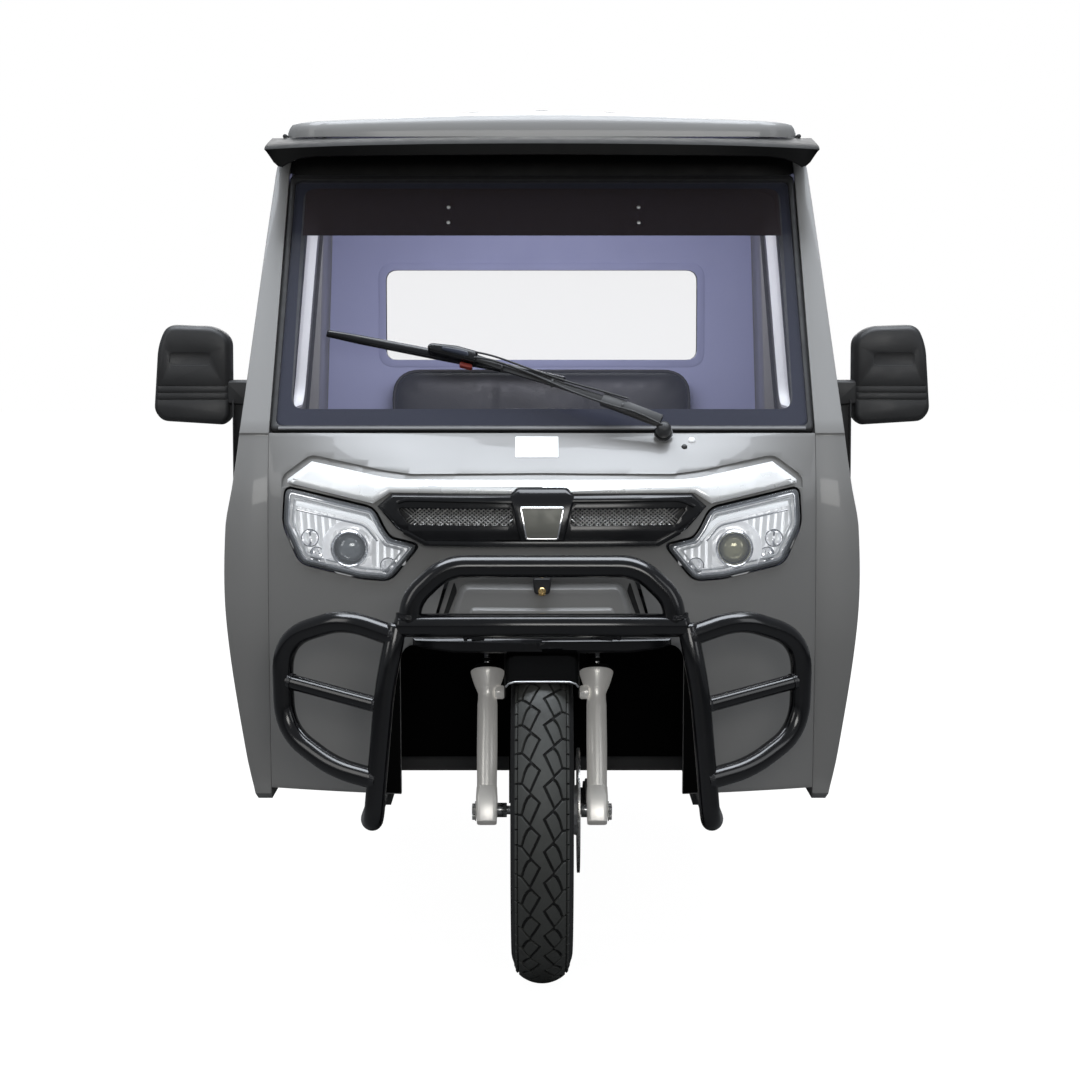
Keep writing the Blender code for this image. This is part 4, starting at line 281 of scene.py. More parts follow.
def front_y(x, z):
    """Y of the front panel's outer face."""
    bow = eased(FRONT_TABLE, z, 2) * (1.0 - (x / FRONT_HALF) ** 2)
    return FRONT_AXLE.y + eased(FRONT_TABLE, z, 1) - bow


def on_face(x, z):
    """Point of the front panel's face."""
    return Vector((x, front_y(x, z), z))


def bend(points, radius, steps, closed=False):
    """Path or outline with its corners rounded over the given distance."""
    corners = [Vector(point) for point in points]
    count = len(corners)
    path = []
    for index, corner in enumerate(corners):
        if not closed and index in (0, count - 1):
            path.append(corner)
            continue
        before = corners[index - 1] - corner
        after = corners[(index + 1) % count] - corner
        reach = min(radius, 0.45 * before.length, 0.45 * after.length)
        start = corner + before.normalized() * reach
        end = corner + after.normalized() * reach
        for step in range(steps + 1):
            share = step / steps
            path.append(start * (1 - share) ** 2 + corner * 2 * share * (1 - share) + end * share ** 2)
    return [tuple(point) for point in path]


def rounded(outline, radius, steps):
    """Closed outline with its corners rounded over the given distance."""
    return bend(outline, radius, steps, closed=True)


def grow(outline, distance):
    """Closed outline moved outwards by a distance, or inwards if it is negative."""
    points = [Vector(point) for point in outline]
    count = len(points)
    area = sum(points[i - 1].cross(points[i]) for i in range(count))
    turn = 1.0 if area > 0 else -1.0
    result = []
    for index, point in enumerate(points):
        before = (point - points[index - 1]).normalized()
        after = (points[(index + 1) % count] - point).normalized()
        normal = (Vector((before.y, -before.x)) + Vector((after.y, -after.x))).normalized() * turn
        reach = distance / max(normal.dot(Vector((before.y, -before.x)) * turn), 0.5)
        result.append(tuple(point + normal * reach))
    return result


def mirrored(outline):
    """Outline or path mirrored across x = 0."""
    return [(-point[0], *point[1:]) for point in outline]


def rectangle(low, high):
    """Corners of a rectangle from its low and its high corner."""
    return [(low[0], low[1]), (high[0], low[1]), (high[0], high[1]), (low[0], high[1])]


def ribbon(points, half_width):
    """Outline of constant width round a two-dimensional path."""
    path = [Vector(point) for point in points]
    near, far = [], []
    for index, point in enumerate(path):
        normals = []
        if index > 0:
            step = (point - path[index - 1]).normalized()
            normals.append(Vector((-step.y, step.x)))
        if index < len(path) - 1:
            step = (path[index + 1] - point).normalized()
            normals.append(Vector((-step.y, step.x)))
        normal = sum(normals, Vector((0.0, 0.0))).normalized()
        reach = half_width / max(normal.dot(normals[0]), 0.4)
        near.append(tuple(point + normal * reach))
        far.append(tuple(point - normal * reach))
    return near + far[::-1]


def loft(loops, caps=True, closed=False):
    """Surface through loops of the same number of points."""
    shape = bmesh.new()
    rows = [[shape.verts.new(point) for point in loop] for loop in loops]
    pairs = list(zip(rows, rows[1:])) + ([(rows[-1], rows[0])] if closed else [])
    for near, far in pairs:
        for index in range(len(near)):
            following = (index + 1) % len(near)
            shape.faces.new((near[index], near[following], far[following], far[index]))
    if caps and not closed:
        shape.faces.new(rows[0][::-1])
        shape.faces.new(rows[-1])
    bmesh.ops.recalc_face_normals(shape, faces=shape.faces)
    return shape


def across(point, axis, along):
    """Three-dimensional point from a flat one and its place along the axis that the outline faces."""
    if axis == "y":
        return (point[0], along, point[1])
    if axis == "x":
        return (along, point[0], point[1])
    return (point[0], point[1], along)


def plate(outline, axis, near, far):
    """Prism of an outline that faces an axis."""
    return loft([[across(point, axis, place) for point in outline] for place in (near, far)])


def stepped_plate(levels, axis="y"):
    """Solid through outlines of the same number of points, each with its place along the axis."""
    return loft([[across(point, axis, place) for point in outline] for outline, place in levels])


def box(x_range, y_range, z_range):
    """Block between three pairs of limits."""
    return plate(rectangle((x_range[0], z_range[0]), (x_range[1], z_range[1])), "y", *y_range)


def turned(profile, axis, centre, sides, closed=False):
    """Round shape from (radius, place along the axis) points."""
    loops = []
    for radius, along in profile:
        loop = []
        for step in range(sides):
            angle = math.tau * step / sides
            flat = (radius * math.cos(angle), radius * math.sin(angle))
            loop.append(Vector(across(flat, axis, along)) + Vector(centre))
        loops.append(loop)
    shape = loft(loops, not closed, closed)
    bmesh.ops.remove_doubles(shape, verts=shape.verts, dist=1e-6)
    return shape


def smooth_path(points, steps):
    """Points on a smooth curve through the given ones."""
    knots = [Vector(point) for point in points]
    path = []
    for index in range(len(knots) - 1):
        before = knots[max(index - 1, 0)]
        start, end = knots[index], knots[index + 1]
        after = knots[min(index + 2, len(knots) - 1)]
        for step in range(steps):
            t = step / steps
            path.append(0.5 * (2 * start + (end - before) * t
                               + (2 * before - 5 * start + 4 * end - after) * t ** 2
                               + (3 * start - before - 3 * end + after) * t ** 3))
    path.append(knots[-1])
    return path


def tube(points, radius, sides, round_ends=True):
    """Round bar along a path, with domed ends. The radius may be a list with one value a point."""
    path = [Vector(point) for point in points]
    sizes = list(radius) if isinstance(radius, (list, tuple)) else [radius] * len(path)
    tangents = []
    for index in range(len(path)):
        tangents.append((path[min(index + 1, len(path) - 1)] - path[max(index - 1, 0)]).normalized())
    rings = list(zip(path, tangents, sizes))
    if round_ends:
        dome = [(math.sin(math.radians(a)), math.cos(math.radians(a))) for a in (10, 35, 62)]
        size = sizes[0]
        start = [(path[0] + tangents[0] * size * (0.5 - 0.5 * c), tangents[0], size * s) for s, c in dome]
        size = sizes[-1]
        end = [(path[-1] - tangents[-1] * size * (0.5 - 0.5 * c), tangents[-1], size * s) for s, c in dome]
        body = [(place, tangent, size) for place, tangent, size in rings[1:-1]]
        first = (path[0] + tangents[0] * sizes[0] * 0.5, tangents[0], sizes[0])
        last = (path[-1] - tangents[-1] * sizes[-1] * 0.5, tangents[-1], sizes[-1])
        rings = [*start, first, *body, last, *end[::-1]]
    side = rings[0][1].orthogonal().normalized()
    loops = []
    for place, tangent, size in rings:
        side = (side - tangent * side.dot(tangent)).normalized()
        other = tangent.cross(side)
        loop = []
        for step in range(sides):
            angle = math.tau * step / sides
            loop.append(place + size * (math.cos(angle) * side + math.sin(angle) * other))
        loops.append(loop)
    return loft(loops)


def join(shapes):
    """One mesh from several separate shapes."""
    total = bmesh.new()
    for shape in shapes:
        mesh = bpy.data.meshes.new("joined")
        shape.to_mesh(mesh)
        shape.free()
        total.from_mesh(mesh)
        bpy.data.meshes.remove(mesh)
    return total


def boolean(shape, tools):
    """Shape less each tool in turn."""
    base = as_object("base", shape)
    for tool in tools:
        other = as_object("tool", tool)
        modifier = base.modifiers.new("boolean", "BOOLEAN")
        modifier.operation = "DIFFERENCE"
        modifier.solver = "EXACT"
        modifier.object = other
        result = bpy.data.meshes.new_from_object(base.evaluated_get(bpy.context.evaluated_depsgraph_get()))
        base.modifiers.clear()
        old = base.data
        base.data = result
        bpy.data.meshes.remove(old)
        bpy.data.meshes.remove(other.data)
    made = bmesh.new()
    made.from_mesh(base.data)
    bpy.data.meshes.remove(base.data)
    bmesh.ops.remove_doubles(made, verts=made.verts, dist=1e-6)
    return made


def as_object(name, shape):
    """Object in the scene from a shape, which is freed."""
    mesh = bpy.data.meshes.new(name)
    shape.to_mesh(mesh)
    shape.free()
    item = bpy.data.objects.new(name, mesh)
    bpy.context.scene.collection.objects.link(item)
    return item


def sliced(shape, axis, step):
    """Shape with its faces cut at every whole step along an axis."""
    index = "xyz".index(axis)
    values = [vertex.co[index] for vertex in shape.verts]
    normal = Vector((0.0, 0.0, 0.0))
    normal[index] = 1.0
    for number in range(math.floor(min(values) / step) + 1, math.ceil(max(values) / step)):
        geometry = [*shape.verts, *shape.edges, *shape.faces]
        bmesh.ops.bisect_plane(shape, geom=geometry, dist=1e-6, plane_co=normal * number * step,
                               plane_no=normal)
    return shape


def moved(shape, matrix):
    """The shape, moved by a matrix."""
    bmesh.ops.transform(shape, matrix=matrix, verts=shape.verts)
    if matrix.determinant() < 0:
        bmesh.ops.reverse_faces(shape, faces=shape.faces)
    return shape


def shifted(shape, y):
    """The shape, moved along Y."""
    return moved(shape, Matrix.Translation((0.0, y, 0.0)))


def on_side(shape, side):
    """The shape as made for the +X side, or its mirror image for the other side."""
    return moved(shape, MIRROR_X) if side < 0 else shape


def mirror_copy(shape):
    """The shape and its mirror image on the other side."""
    other = shape.copy()
    return join([shape, moved(other, MIRROR_X)])


def draped(shape, step=0.012):
    """Flat shape laid on the front panel's face."""
    if step:
        sliced(sliced(shape, "x", step), "z", step)
    for vertex in shape.verts:
        vertex.co.y += front_y(vertex.co.x, vertex.co.z)
    return shape


def add_shading(item, angle, width=0.0, segments=2):
    """Rounded edges and smooth shading up to an angle, as modifiers."""
    if width:
        rounding = item.modifiers.new("edges", "BEVEL")
        rounding.width = width
        rounding.segments = segments
        rounding.limit_method = "ANGLE"
        rounding.angle_limit = math.radians(35.0)
        rounding.use_clamp_overlap = True
        rounding.harden_normals = False
    shading = item.modifiers.new("shading", "NODES")
    shading.node_group = shading_group(angle)


def shading_group(angle):
    """Node group that shades smooth across edges flatter than the angle."""
    name = "smooth_%d" % round(angle)
    if name in bpy.data.node_groups:
        return bpy.data.node_groups[name]
    group = bpy.data.node_groups.new(name, "GeometryNodeTree")
    group.interface.new_socket("Geometry", in_out="INPUT", socket_type="NodeSocketGeometry")
    group.interface.new_socket("Geometry", in_out="OUTPUT", socket_type="NodeSocketGeometry")
    start = group.nodes.new("NodeGroupInput")
    end = group.nodes.new("NodeGroupOutput")
    faces = group.nodes.new("GeometryNodeSetShadeSmooth")
    faces.domain = "FACE"
    edges = group.nodes.new("GeometryNodeSetShadeSmooth")
    edges.domain = "EDGE"
    edge_angle = group.nodes.new("GeometryNodeInputMeshEdgeAngle")
    compare = group.nodes.new("FunctionNodeCompare")
    compare.data_type = "FLOAT"
    compare.operation = "LESS_EQUAL"
    compare.inputs["B"].default_value = math.radians(angle)
    group.links.new(edge_angle.outputs["Unsigned Angle"], compare.inputs["A"])
    group.links.new(start.outputs[0], faces.inputs["Geometry"])
    group.links.new(faces.outputs["Geometry"], edges.inputs["Geometry"])
    group.links.new(compare.outputs["Result"], edges.inputs["Shade Smooth"])
    group.links.new(edges.outputs["Geometry"], end.inputs[0])
    return group


def add_piece(name, shape, finish_name, body, width=0.0, angle=40.0, segments=2, replaces=()):
    """Piece of the looks: its mesh, finish, rounded edges, body and material slot."""
    item = as_object(name, shape)
    item.data.materials.append(FINISHES[finish_name])
    add_shading(item, angle, width, segments)
    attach(item, body)
    if replaces:
        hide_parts(*replaces)
    return item


SMOOTH_ANGLE = 40.0


def soften_node(node, width):
    """Rounded edges and smooth shading on a CAD node that stays in sight."""
    add_shading(NODES[node], SMOOTH_ANGLE, width)


# Front

LAMP_ROUNDING = 0.014
# Outlines on the front seen from ahead, for the +X side, as (x, z)
LAMP_OUTLINE = (
    (0.446, 0.874), (0.290, 0.841), (0.273, 0.807), (0.261, 0.790), (0.212, 0.779), (0.262, 0.718),
    (0.315, 0.721), (0.420, 0.744), (0.450, 0.810), )
GARNISH_OUTLINE = [
    (0.0, 0.8905), (0.245, 0.8905), (0.276, 0.894), (0.401, 0.919), (0.443, 0.888), (0.443, 0.882),
    (0.291, 0.849), (0.262, 0.868), (0.0, 0.868),
]
GRILLE_OUTLINE = [(0.0, 0.867), (0.258, 0.867), (0.283, 0.845), (0.250, 0.808), (0.207, 0.782),
                  (0.0, 0.782)]
GRILLE_WINDOW = ((0.050, 0.8145), (0.228, 0.8145), (0.248, 0.8425), (0.050, 0.8425))
BADGE_CORNERS = [(0.043, 0.879), (0.0545, 0.867), (0.0545, 0.856), (0.037, 0.785)]
PLAQUE_OUTLINE = ((0.039, 0.848), (0.0285, 0.790), (-0.0285, 0.790), (-0.039, 0.848))
PROJECTOR = (0.333, 0.770)
PROJECTOR_RADIUS = 0.032
LID_HINGE_X = 0.110


def both_halves(outline):
    """Closed outline from its +X half."""
    return list(outline) + mirrored(list(outline)[::-1])


def lamp_outline(distance):
    """Outline of the +X lamp, grown by a distance, with rounded corners."""
    return rounded(grow(LAMP_OUTLINE, distance), max(LAMP_ROUNDING + distance, 0.004), 5)


def build_front_panel():
    """Front panel with its openings, the bumper lip, and dark strips beside the wheel opening that paint shade
    there.
    """
    half = FRONT_HALF
    low, high, wheel_half, wheel_top = 0.341, 0.967, 0.245, 0.608
    corner = [(wheel_half, low), (wheel_half, wheel_top), (-wheel_half, wheel_top), (-wheel_half, low)]
    outline = [(-wheel_half, low), (-half, low), (-half, high), (half, high), (half, low),
               (wheel_half, low)]
    outline += bend(corner, 0.035, 6)[1:-1]
    panel = plate(outline, "y", 0.0, PANEL_THICKNESS)
    lid = [(-0.194, 0.622), (0.194, 0.622), (0.163, 0.7295), (-0.163, 0.7295)]
    tools = [plate(rounded(lid, 0.020, 5), "y", -0.1, 0.1)]
    for side in (1, -1):
        shape = lamp_outline(0.0035)
        tools.append(plate(shape if side > 0 else mirrored(shape), "y", -0.1, 0.1))
    channel = grow(GARNISH_OUTLINE[1:8], 0.011)[0:5]
    channel = [(0.0, 0.9015), *bend(channel, 0.012, 3), (0.430, 0.876), (0.0, 0.876)]
    tools.append(plate(both_halves(channel), "y", -0.1, 0.0042))
    panel = boolean(panel, tools)
    add_piece("front_skin", draped(panel), "paint", "body", 0.0022, replaces=["front_panel"])
    # The lip's black reaches up to z 0.62 and so also covers the panel strip under the bar: painted shade there,
    # above the real lip.
    lip = [(0.0, 0.0), (0.150, 0.001), (0.205, 0.007), (0.222, 0.013), (0.222, 0.0255), (0.0, 0.0255)]
    lip = [(x, 0.5945 + z) for x, z in both_halves(lip)]
    shape = stepped_plate([(lip, 0.012), (lip, -0.012), (grow(lip, -0.004), -0.017)])
    add_piece("bumper_lip", draped(shape), "trim", "body", 0.0015)
    # Dark strips over the panel beside the wheel opening: painted shade, where the opening lies in shadow.
    flange = [(0.2455, 0.3430), (0.2730, 0.3430), (0.2730, 0.5950), (0.2640, 0.6060), (0.2455, 0.6060)]
    shape = draped(mirror_copy(plate(flange, "y", -0.0022, 0.0010)))
    add_piece("arch_painted_shade", shape, "shade_matt", "body")


def raised(outline, depth, base, top, inset, rounding=0.0):
    """Plate whose front stands higher inside a chamfer."""
    inner = grow(outline, -inset)
    if rounding:
        outline = rounded(outline, rounding, 4)
        inner = rounded(inner, max(rounding - inset, 0.001), 4)
    return stepped_plate([(outline, depth), (outline, -base), (inner, -top)])


def build_garnish():
    """Bright strip across the front above the lamps."""
    outline = both_halves(GARNISH_OUTLINE)
    steps = ((0.0, 0.0003), (0.0, -0.0045), (0.0012, -0.0072), (0.0035, -0.0098), (0.0066, -0.0118),
             (0.0102, -0.0130))
    shape = stepped_plate([(grow(outline, -inset), place) for inset, place in steps])
    # The garnish's bright finish carries a painted glow.
    add_piece("garnish_bar", draped(shape), "bright", "body", replaces=["garnish"])


def build_grille():
    """Grille frame with its ledges, wire mesh and bare badge place."""
    outline = both_halves(GRILLE_OUTLINE)
    frame_shape = raised(outline, -0.0003, 0.006, 0.0115, 0.005)
    window = rounded(GRILLE_WINDOW, 0.006, 3)
    tools = [plate(window, "y", -0.1, 0.1), plate(mirrored(window), "y", -0.1, 0.1)]
    frame_shape = boolean(frame_shape, tools)
    add_piece("grille_frame", draped(frame_shape), "trim", "body", 0.0018, replaces=["grille"])
    ledge = bend([(0.0, 0.858), (0.238, 0.858), (0.262, 0.846)], 0.012, 4)
    ledges = [plate(ribbon(both_halves(ledge[::-1])[:len(ledge) * 2 - 1], 0.0022), "y", -0.0165, -0.009)]
    lip = [(0.0, 0.7835), (0.200, 0.7835), (0.236, 0.803)]
    ledges.append(plate(ribbon([*mirrored(lip[::-1])[:-1], *lip], 0.0040), "y", -0.0175, -0.008))
    add_piece("grille_ledges", draped(join(ledges)), "trim", "body", 0.0016)
    backing = [(0.0, 0.846), (0.252, 0.846), (0.231, 0.811), (0.0, 0.811)]
    add_piece("grille_backing", draped(plate(both_halves(backing), "y", -0.0012, -0.0005)), "black", "body")
    wires = []
    pitch = 0.0078
    for family in (1, -1):
        for number in range(26):
            foot = 0.030 + number * pitch
            points = []
            for step in range(9):
                share = step / 8
                x = foot + family * (share - 0.5) * 0.036
                z = GRILLE_WINDOW[0][1] - 0.001 + share * 0.030
                y = -0.0042 + 0.0010 * family * (-1) ** (step + number)
                edge = 0.228 + 0.71 * (z - GRILLE_WINDOW[0][1])
                if 0.049 < x < edge + 0.002:
                    points.append((x, y, z))
            if len(points) > 1:
                wires.append(tube(points, 0.00125, 6, False))
    add_piece("grille_mesh", draped(mirror_copy(join(wires)), 0.0), "steel", "body")
    surround = raised(BADGE_CORNERS + mirrored(BADGE_CORNERS[::-1]), -0.002, 0.014, 0.0185, 0.004, 0.006)
    add_piece("badge_surround", draped(surround), "trim", "body", 0.0012)
    border = raised(PLAQUE_OUTLINE, -0.016, 0.0195, 0.0212, 0.0012, 0.006)
    face = grow(rounded(PLAQUE_OUTLINE, 0.006, 4), -0.0035)
    border = boolean(border, [plate(face, "y", -0.1, -0.0196)])
    add_piece("badge_border", draped(border), "chrome", "body", 0.0004)
    add_piece("badge_plaque", draped(plate(grow(face, -0.0002), "y", -0.0205, -0.017)), "plaque", "body")


def build_lamp(name, side):
    """One headlamp: housing, light guide, facets, projector and cover."""
    def made(suffix, shape, finish_name, slot, width=0.0, drape=0.015, replaces=()):
        shape = on_side(shape, side)
        if drape is not None:
            shape = draped(shape, drape)
        add_piece("lamp_%s_%s" % (suffix, name), shape, finish_name, "body", width, replaces=replaces)

    def ring(outer, inner, front, back):
        return boolean(plate(lamp_outline(outer), "y", -front, back),
                       [plate(lamp_outline(inner), "y", -0.2, 0.2)])

    made("bezel", ring(0.0, -0.0055, 0.0035, 0.052), "trim", "black", 0.0012, replaces=["headlamp_" + name])
    made("rim", ring(-0.0062, -0.0098, 0.0015, 0.030), "chrome", "bright", 0.0008)
    made("inner", ring(-0.0140, -0.0168, -0.004, 0.030), "satin", "bright", 0.0006)
    # Reflector back, facets and bowl carry their chrome's painted glow.
    made("back", plate(lamp_outline(-0.005), "y", 0.040, 0.044), "lamp_chrome_painted_light", "bright")
    guide = [(0.428, 0.847), (0.300, 0.8205), (0.272, 0.787)]
    made("guide", plate(ribbon(bend(guide, 0.010, 4), 0.0040), "y", 0.001, 0.014), "guide", "lens", 0.0014)
    guide = [(0.428, 0.8355), (0.306, 0.8105), (0.284, 0.784)]
    made("guide_step", plate(ribbon(bend(guide, 0.010, 4), 0.0016), "y", 0.006, 0.020), "chrome", "bright",
         0.0008)
    steps = []
    for number in range(7):
        x = 0.352 + 0.0130 * number
        lean = 0.006
        z_low, z_high = 0.752 + 0.0022 * number, 0.826 + 0.0028 * number
        facet = [(x, z_low), (x + 0.0105, z_low + 0.002), (x + 0.0105 + lean, z_high + 0.002),
                 (x + lean, z_high)]
        steps.append(stepped_plate([(facet, 0.039), (grow(facet, -0.001), 0.022 + 0.003 * (number % 2))]))
    for number in range(5):
        x = 0.236 + 0.0125 * number
        z_low, z_high = 0.740 - 0.002 * number, 0.774 + 0.004 * number
        facet = [(x, z_low), (x + 0.010, z_low), (x + 0.010, z_high), (x, z_high)]
        steps.append(stepped_plate([(facet, 0.039), (grow(facet, -0.001), 0.024 + 0.003 * (number % 2))]))
    made("facets", join(steps), "lamp_chrome_painted_light", "bright", 0.0008)
    middle = (PROJECTOR[0], 0.0, PROJECTOR[1])
    face = front_y(*PROJECTOR)
    bowl = [(PROJECTOR_RADIUS + 0.016, 0.014), (PROJECTOR_RADIUS + 0.004, 0.036),
            (PROJECTOR_RADIUS - 0.004, 0.037),
            (PROJECTOR_RADIUS - 0.004, 0.040), (PROJECTOR_RADIUS + 0.008, 0.040),
            (PROJECTOR_RADIUS + 0.017, 0.016)]
    made("bowl", shifted(turned(bowl, "y", middle, 48, True), face), "lamp_chrome_painted_light", "bright", drape=None)
    hoop = [(0.0262, 0.010), (0.0275, 0.004), (0.0300, 0.002), (0.0325, 0.004), (0.0335, 0.012),
            (0.0335, 0.036), (0.0262, 0.036)]
    made("ring", shifted(turned(hoop, "y", middle, 56, True), face), "chrome", "bright", drape=None)
    inner = [(0.0242, 0.012), (0.0252, 0.009), (0.0260, 0.010), (0.0260, 0.034), (0.0242, 0.034)]
    made("collar", shifted(turned(inner, "y", middle, 48, True), face), "trim", "black", drape=None)
    dome = [(0.0, 0.0085), (0.008, 0.0092), (0.0150, 0.0112), (0.0205, 0.0145), (0.0240, 0.0185),
            (0.0240, 0.022), (0.0, 0.024)]
    # Each side's projector gets its own painted reflection colour.
    lens_reflection = "projector_grey_reflection" if side < 0 else "projector_warm_reflection"
    made("projector", shifted(turned(dome, "y", middle, 48), face), lens_reflection, "lens", drape=None)
    cups = []
    for x, z, radius in ((0.266, 0.741, 0.0125), (0.404, 0.786, 0.014), (0.392, 0.7585, 0.011)):
        cup = [(0.0022, 0.030), (radius * 0.6, 0.027), (radius, 0.016), (radius + 0.0018, 0.016),
               (radius + 0.0018, 0.036), (0.0022, 0.036)]
        cups.append(shifted(turned(cup, "y", (x, 0.0, z), 28, True), front_y(x, z)))
    made("cups", join(cups), "chrome", "bright", drape=None)
    cover = stepped_plate([(lamp_outline(-0.0005), -0.003), (lamp_outline(-0.0005), -0.0075),
                           (lamp_outline(-0.0035), -0.0098)])
    cover = boolean(cover, [plate(lamp_outline(-0.004), "y", -0.0065, 0.1)])
    made("lens", cover, "lens", "lens", 0.0006)


def build_lid():
    """Front lid with its pressing, lock and hinges."""
    base = rounded([(-0.188, 0.628), (0.188, 0.628), (0.158, 0.724), (-0.158, 0.724)], 0.016, 5)
    pan = stepped_plate([(base, 0.017), (base, 0.008)])
    tray = [(-0.166, 0.630), (0.166, 0.630), (0.139, 0.716), (-0.139, 0.716)]
    tray = rounded(tray, 0.018, 5)
    plateau = stepped_plate([(tray, 0.010), (grow(tray, -0.003), 0.000), (grow(tray, -0.011), -0.009)])
    core = [(-0.136, 0.634), (0.136, 0.634), (0.124, 0.676), (-0.124, 0.676)]
    core = rounded(core, 0.010, 4)
    step = stepped_plate([(core, -0.006), (grow(core, -0.007), -0.0145)])
    shape = draped(join([pan, plateau, step]))
    add_piece("lid_skin", shape, "paint", "lid", 0.0016, replaces=["front_lid"])
    for side in (-1, 1):
        # Dark pads beside the lid's plateau: painted shade in the recess there.
        pad = rounded([(0.146, 0.700), (0.151, 0.716), (0.176, 0.640), (0.171, 0.634)], 0.004, 2)
        pad = pad if side > 0 else mirrored(pad)
        add_piece("lid_shadow_%d" % (side + 1), draped(plate(pad, "y", 0.0070, 0.0085)), "seam", "lid")
    hood = rounded([(-0.0165, 0.726), (-0.013, 0.697), (0.013, 0.697), (0.0165, 0.726)], 0.006, 3)
    add_piece("lid_lock_hood", draped(raised(hood, -0.004, 0.015, 0.019, 0.003)), "black", "lid",
              0.001)
    barrel = [(0.0, -0.024), (0.0052, -0.024), (0.0066, -0.0225), (0.0066, -0.016), (0.0085, -0.016),
              (0.0085, -0.010), (0.0, -0.010)]
    face = front_y(0.0, 0.703)
    shape = turned(barrel, "y", (0.0, face, 0.703), 28)
    shape = boolean(shape, [box((-0.0008, 0.0008), (face - 0.03, face - 0.0225), (0.699, 0.707))])
    add_piece("lid_lock", shape, "brass", "lid")
    pins, knuckles = [], []
    for x in (-LID_HINGE_X, LID_HINGE_X):
        place = Vector((x, *JOINTS["lid_drop"]["pos_m"][1:]))
        pins.append(tube([place - Vector((0.026, 0.0, 0.0)), place + Vector((0.026, 0.0, 0.0))], 0.0036,
                         14))
        for end in (-0.021, 0.021):
            pins.append(box((x + end - 0.003, x + end + 0.003), (place.y - 0.005, place.y + 0.016),
                            (place.z - 0.012, place.z + 0.004)))
        ring = [(0.0041, -0.011), (0.0077, -0.011), (0.0077, 0.011), (0.0041, 0.011)]
        knuckles.append(turned(ring, "x", place, 20, True))
        knuckles.append(box((x - 0.011, x + 0.011), (place.y + 0.001, place.y + 0.014),
                            (place.z + 0.005, place.z + 0.016)))
    add_piece("lid_hinge_pins", join(pins), "trim", "body", 0.0008)
    add_piece("lid_hinge_knuckles", join(knuckles), "trim", "lid", 0.0006)


def build_guard():
    """Bent tubes of the bull bar and their welds."""
    def place(x, distance, height):
        return (x, FRONT_AXLE.y + distance, height)

    back = -0.250
    corner = [(0.222, 0.655), (0.215, 0.704), (0.160, 0.757)]
    hoop = [place(x, back, height) for x, height in mirrored(corner) + corner[::-1]]
    bars = [tube(bend(hoop, 0.034, 10), 0.0188, 28, False)]
    bars.append(tube([place(-0.246, back, 0.659), place(0.246, back, 0.659)], 0.0196, 28))
    for side in (-1, 1):
        leg = [place(side * 0.240, back, 0.664), place(side * 0.262, back, 0.55),
               place(side * 0.281, back, 0.330)]
        foot = [place(side * 0.290, back + 0.055, 0.322), place(side * 0.290, 0.0597, 0.322)]
        bars.append(tube(bend(leg + foot, 0.040, 10), 0.0172, 28))
        loop = [place(side * 0.243, back, 0.640), place(side * 0.330, back + 0.020, 0.668),
                place(side * 0.440, back + 0.080, 0.628), place(side * 0.436, back + 0.085, 0.470),
                place(side * 0.350, back + 0.035, 0.415), place(side * 0.274, back, 0.400)]
        bars.append(tube(bend(loop, 0.075, 10), 0.0180, 28, False))
        bars.append(tube([place(side * 0.266, back + 0.002, 0.523),
                          place(side * 0.432, back + 0.078, 0.556)],
                         0.0134, 22, False))
    add_piece("guard_tubes", join(bars), "guard", "body", angle=60.0, replaces=["bull_bar"])
    beads = []
    for side in (-1, 1):
        for start, end, size in (((0.243, 0.640, 0.0), (0.252, 0.6425, 0.002), 0.0192),
                                 ((0.274, 0.400, 0.0), (0.283, 0.4018, 0.003), 0.0192),
                                 ((0.268, 0.5233, 0.002), (0.283, 0.5263, 0.009), 0.0148),
                                 ((0.421, 0.5538, 0.073), (0.428, 0.5552, 0.076), 0.0148)):
            ends = [Vector(place(side * p[0], back + p[2], p[1])) for p in (start, end)]
            beads.append(tube(ends, size, 20))
    for side in (-1, 1):
        ends = [Vector(place(side * 0.2235, back, 0.668)), Vector(place(side * 0.2225, back, 0.680))]
        beads.append(tube(ends, 0.0200, 22))
    add_piece("guard_welds", join(beads), "weld", "body", angle=70.0)


# Wheels and fork

STEERING_FRAME = Matrix.Translation(STEERING_FOOT) @ Vector((0.0, 0.0, 1.0)).rotation_difference(
    STEERING_AXIS).to_matrix().to_4x4()
AXLE_IN_FRAME = STEERING_FRAME.inverted() @ FRONT_AXLE
FORK_LEG_X = 0.0975
# Tyres: radius, half width, rim radius, radius of the tread across, and pitches of tread round it
FRONT_TYRE = (0.302, 0.0532, 0.203, 0.060, 35)
REAR_TYRE = (0.270, 0.0575, 0.1525, 0.064, 31)
REAR_WHEEL_X = 0.460
GROOVE_HALF = 0.0023
GROOVE_DEPTH = 0.0042
# How far each corner of the tread's middle rib moves across the tyre for its grooves, in half grooves
RIB_SHIFTS = (-1.3, -1.0, -1.3, 1.0, 1.0, 1.0, 1.0)


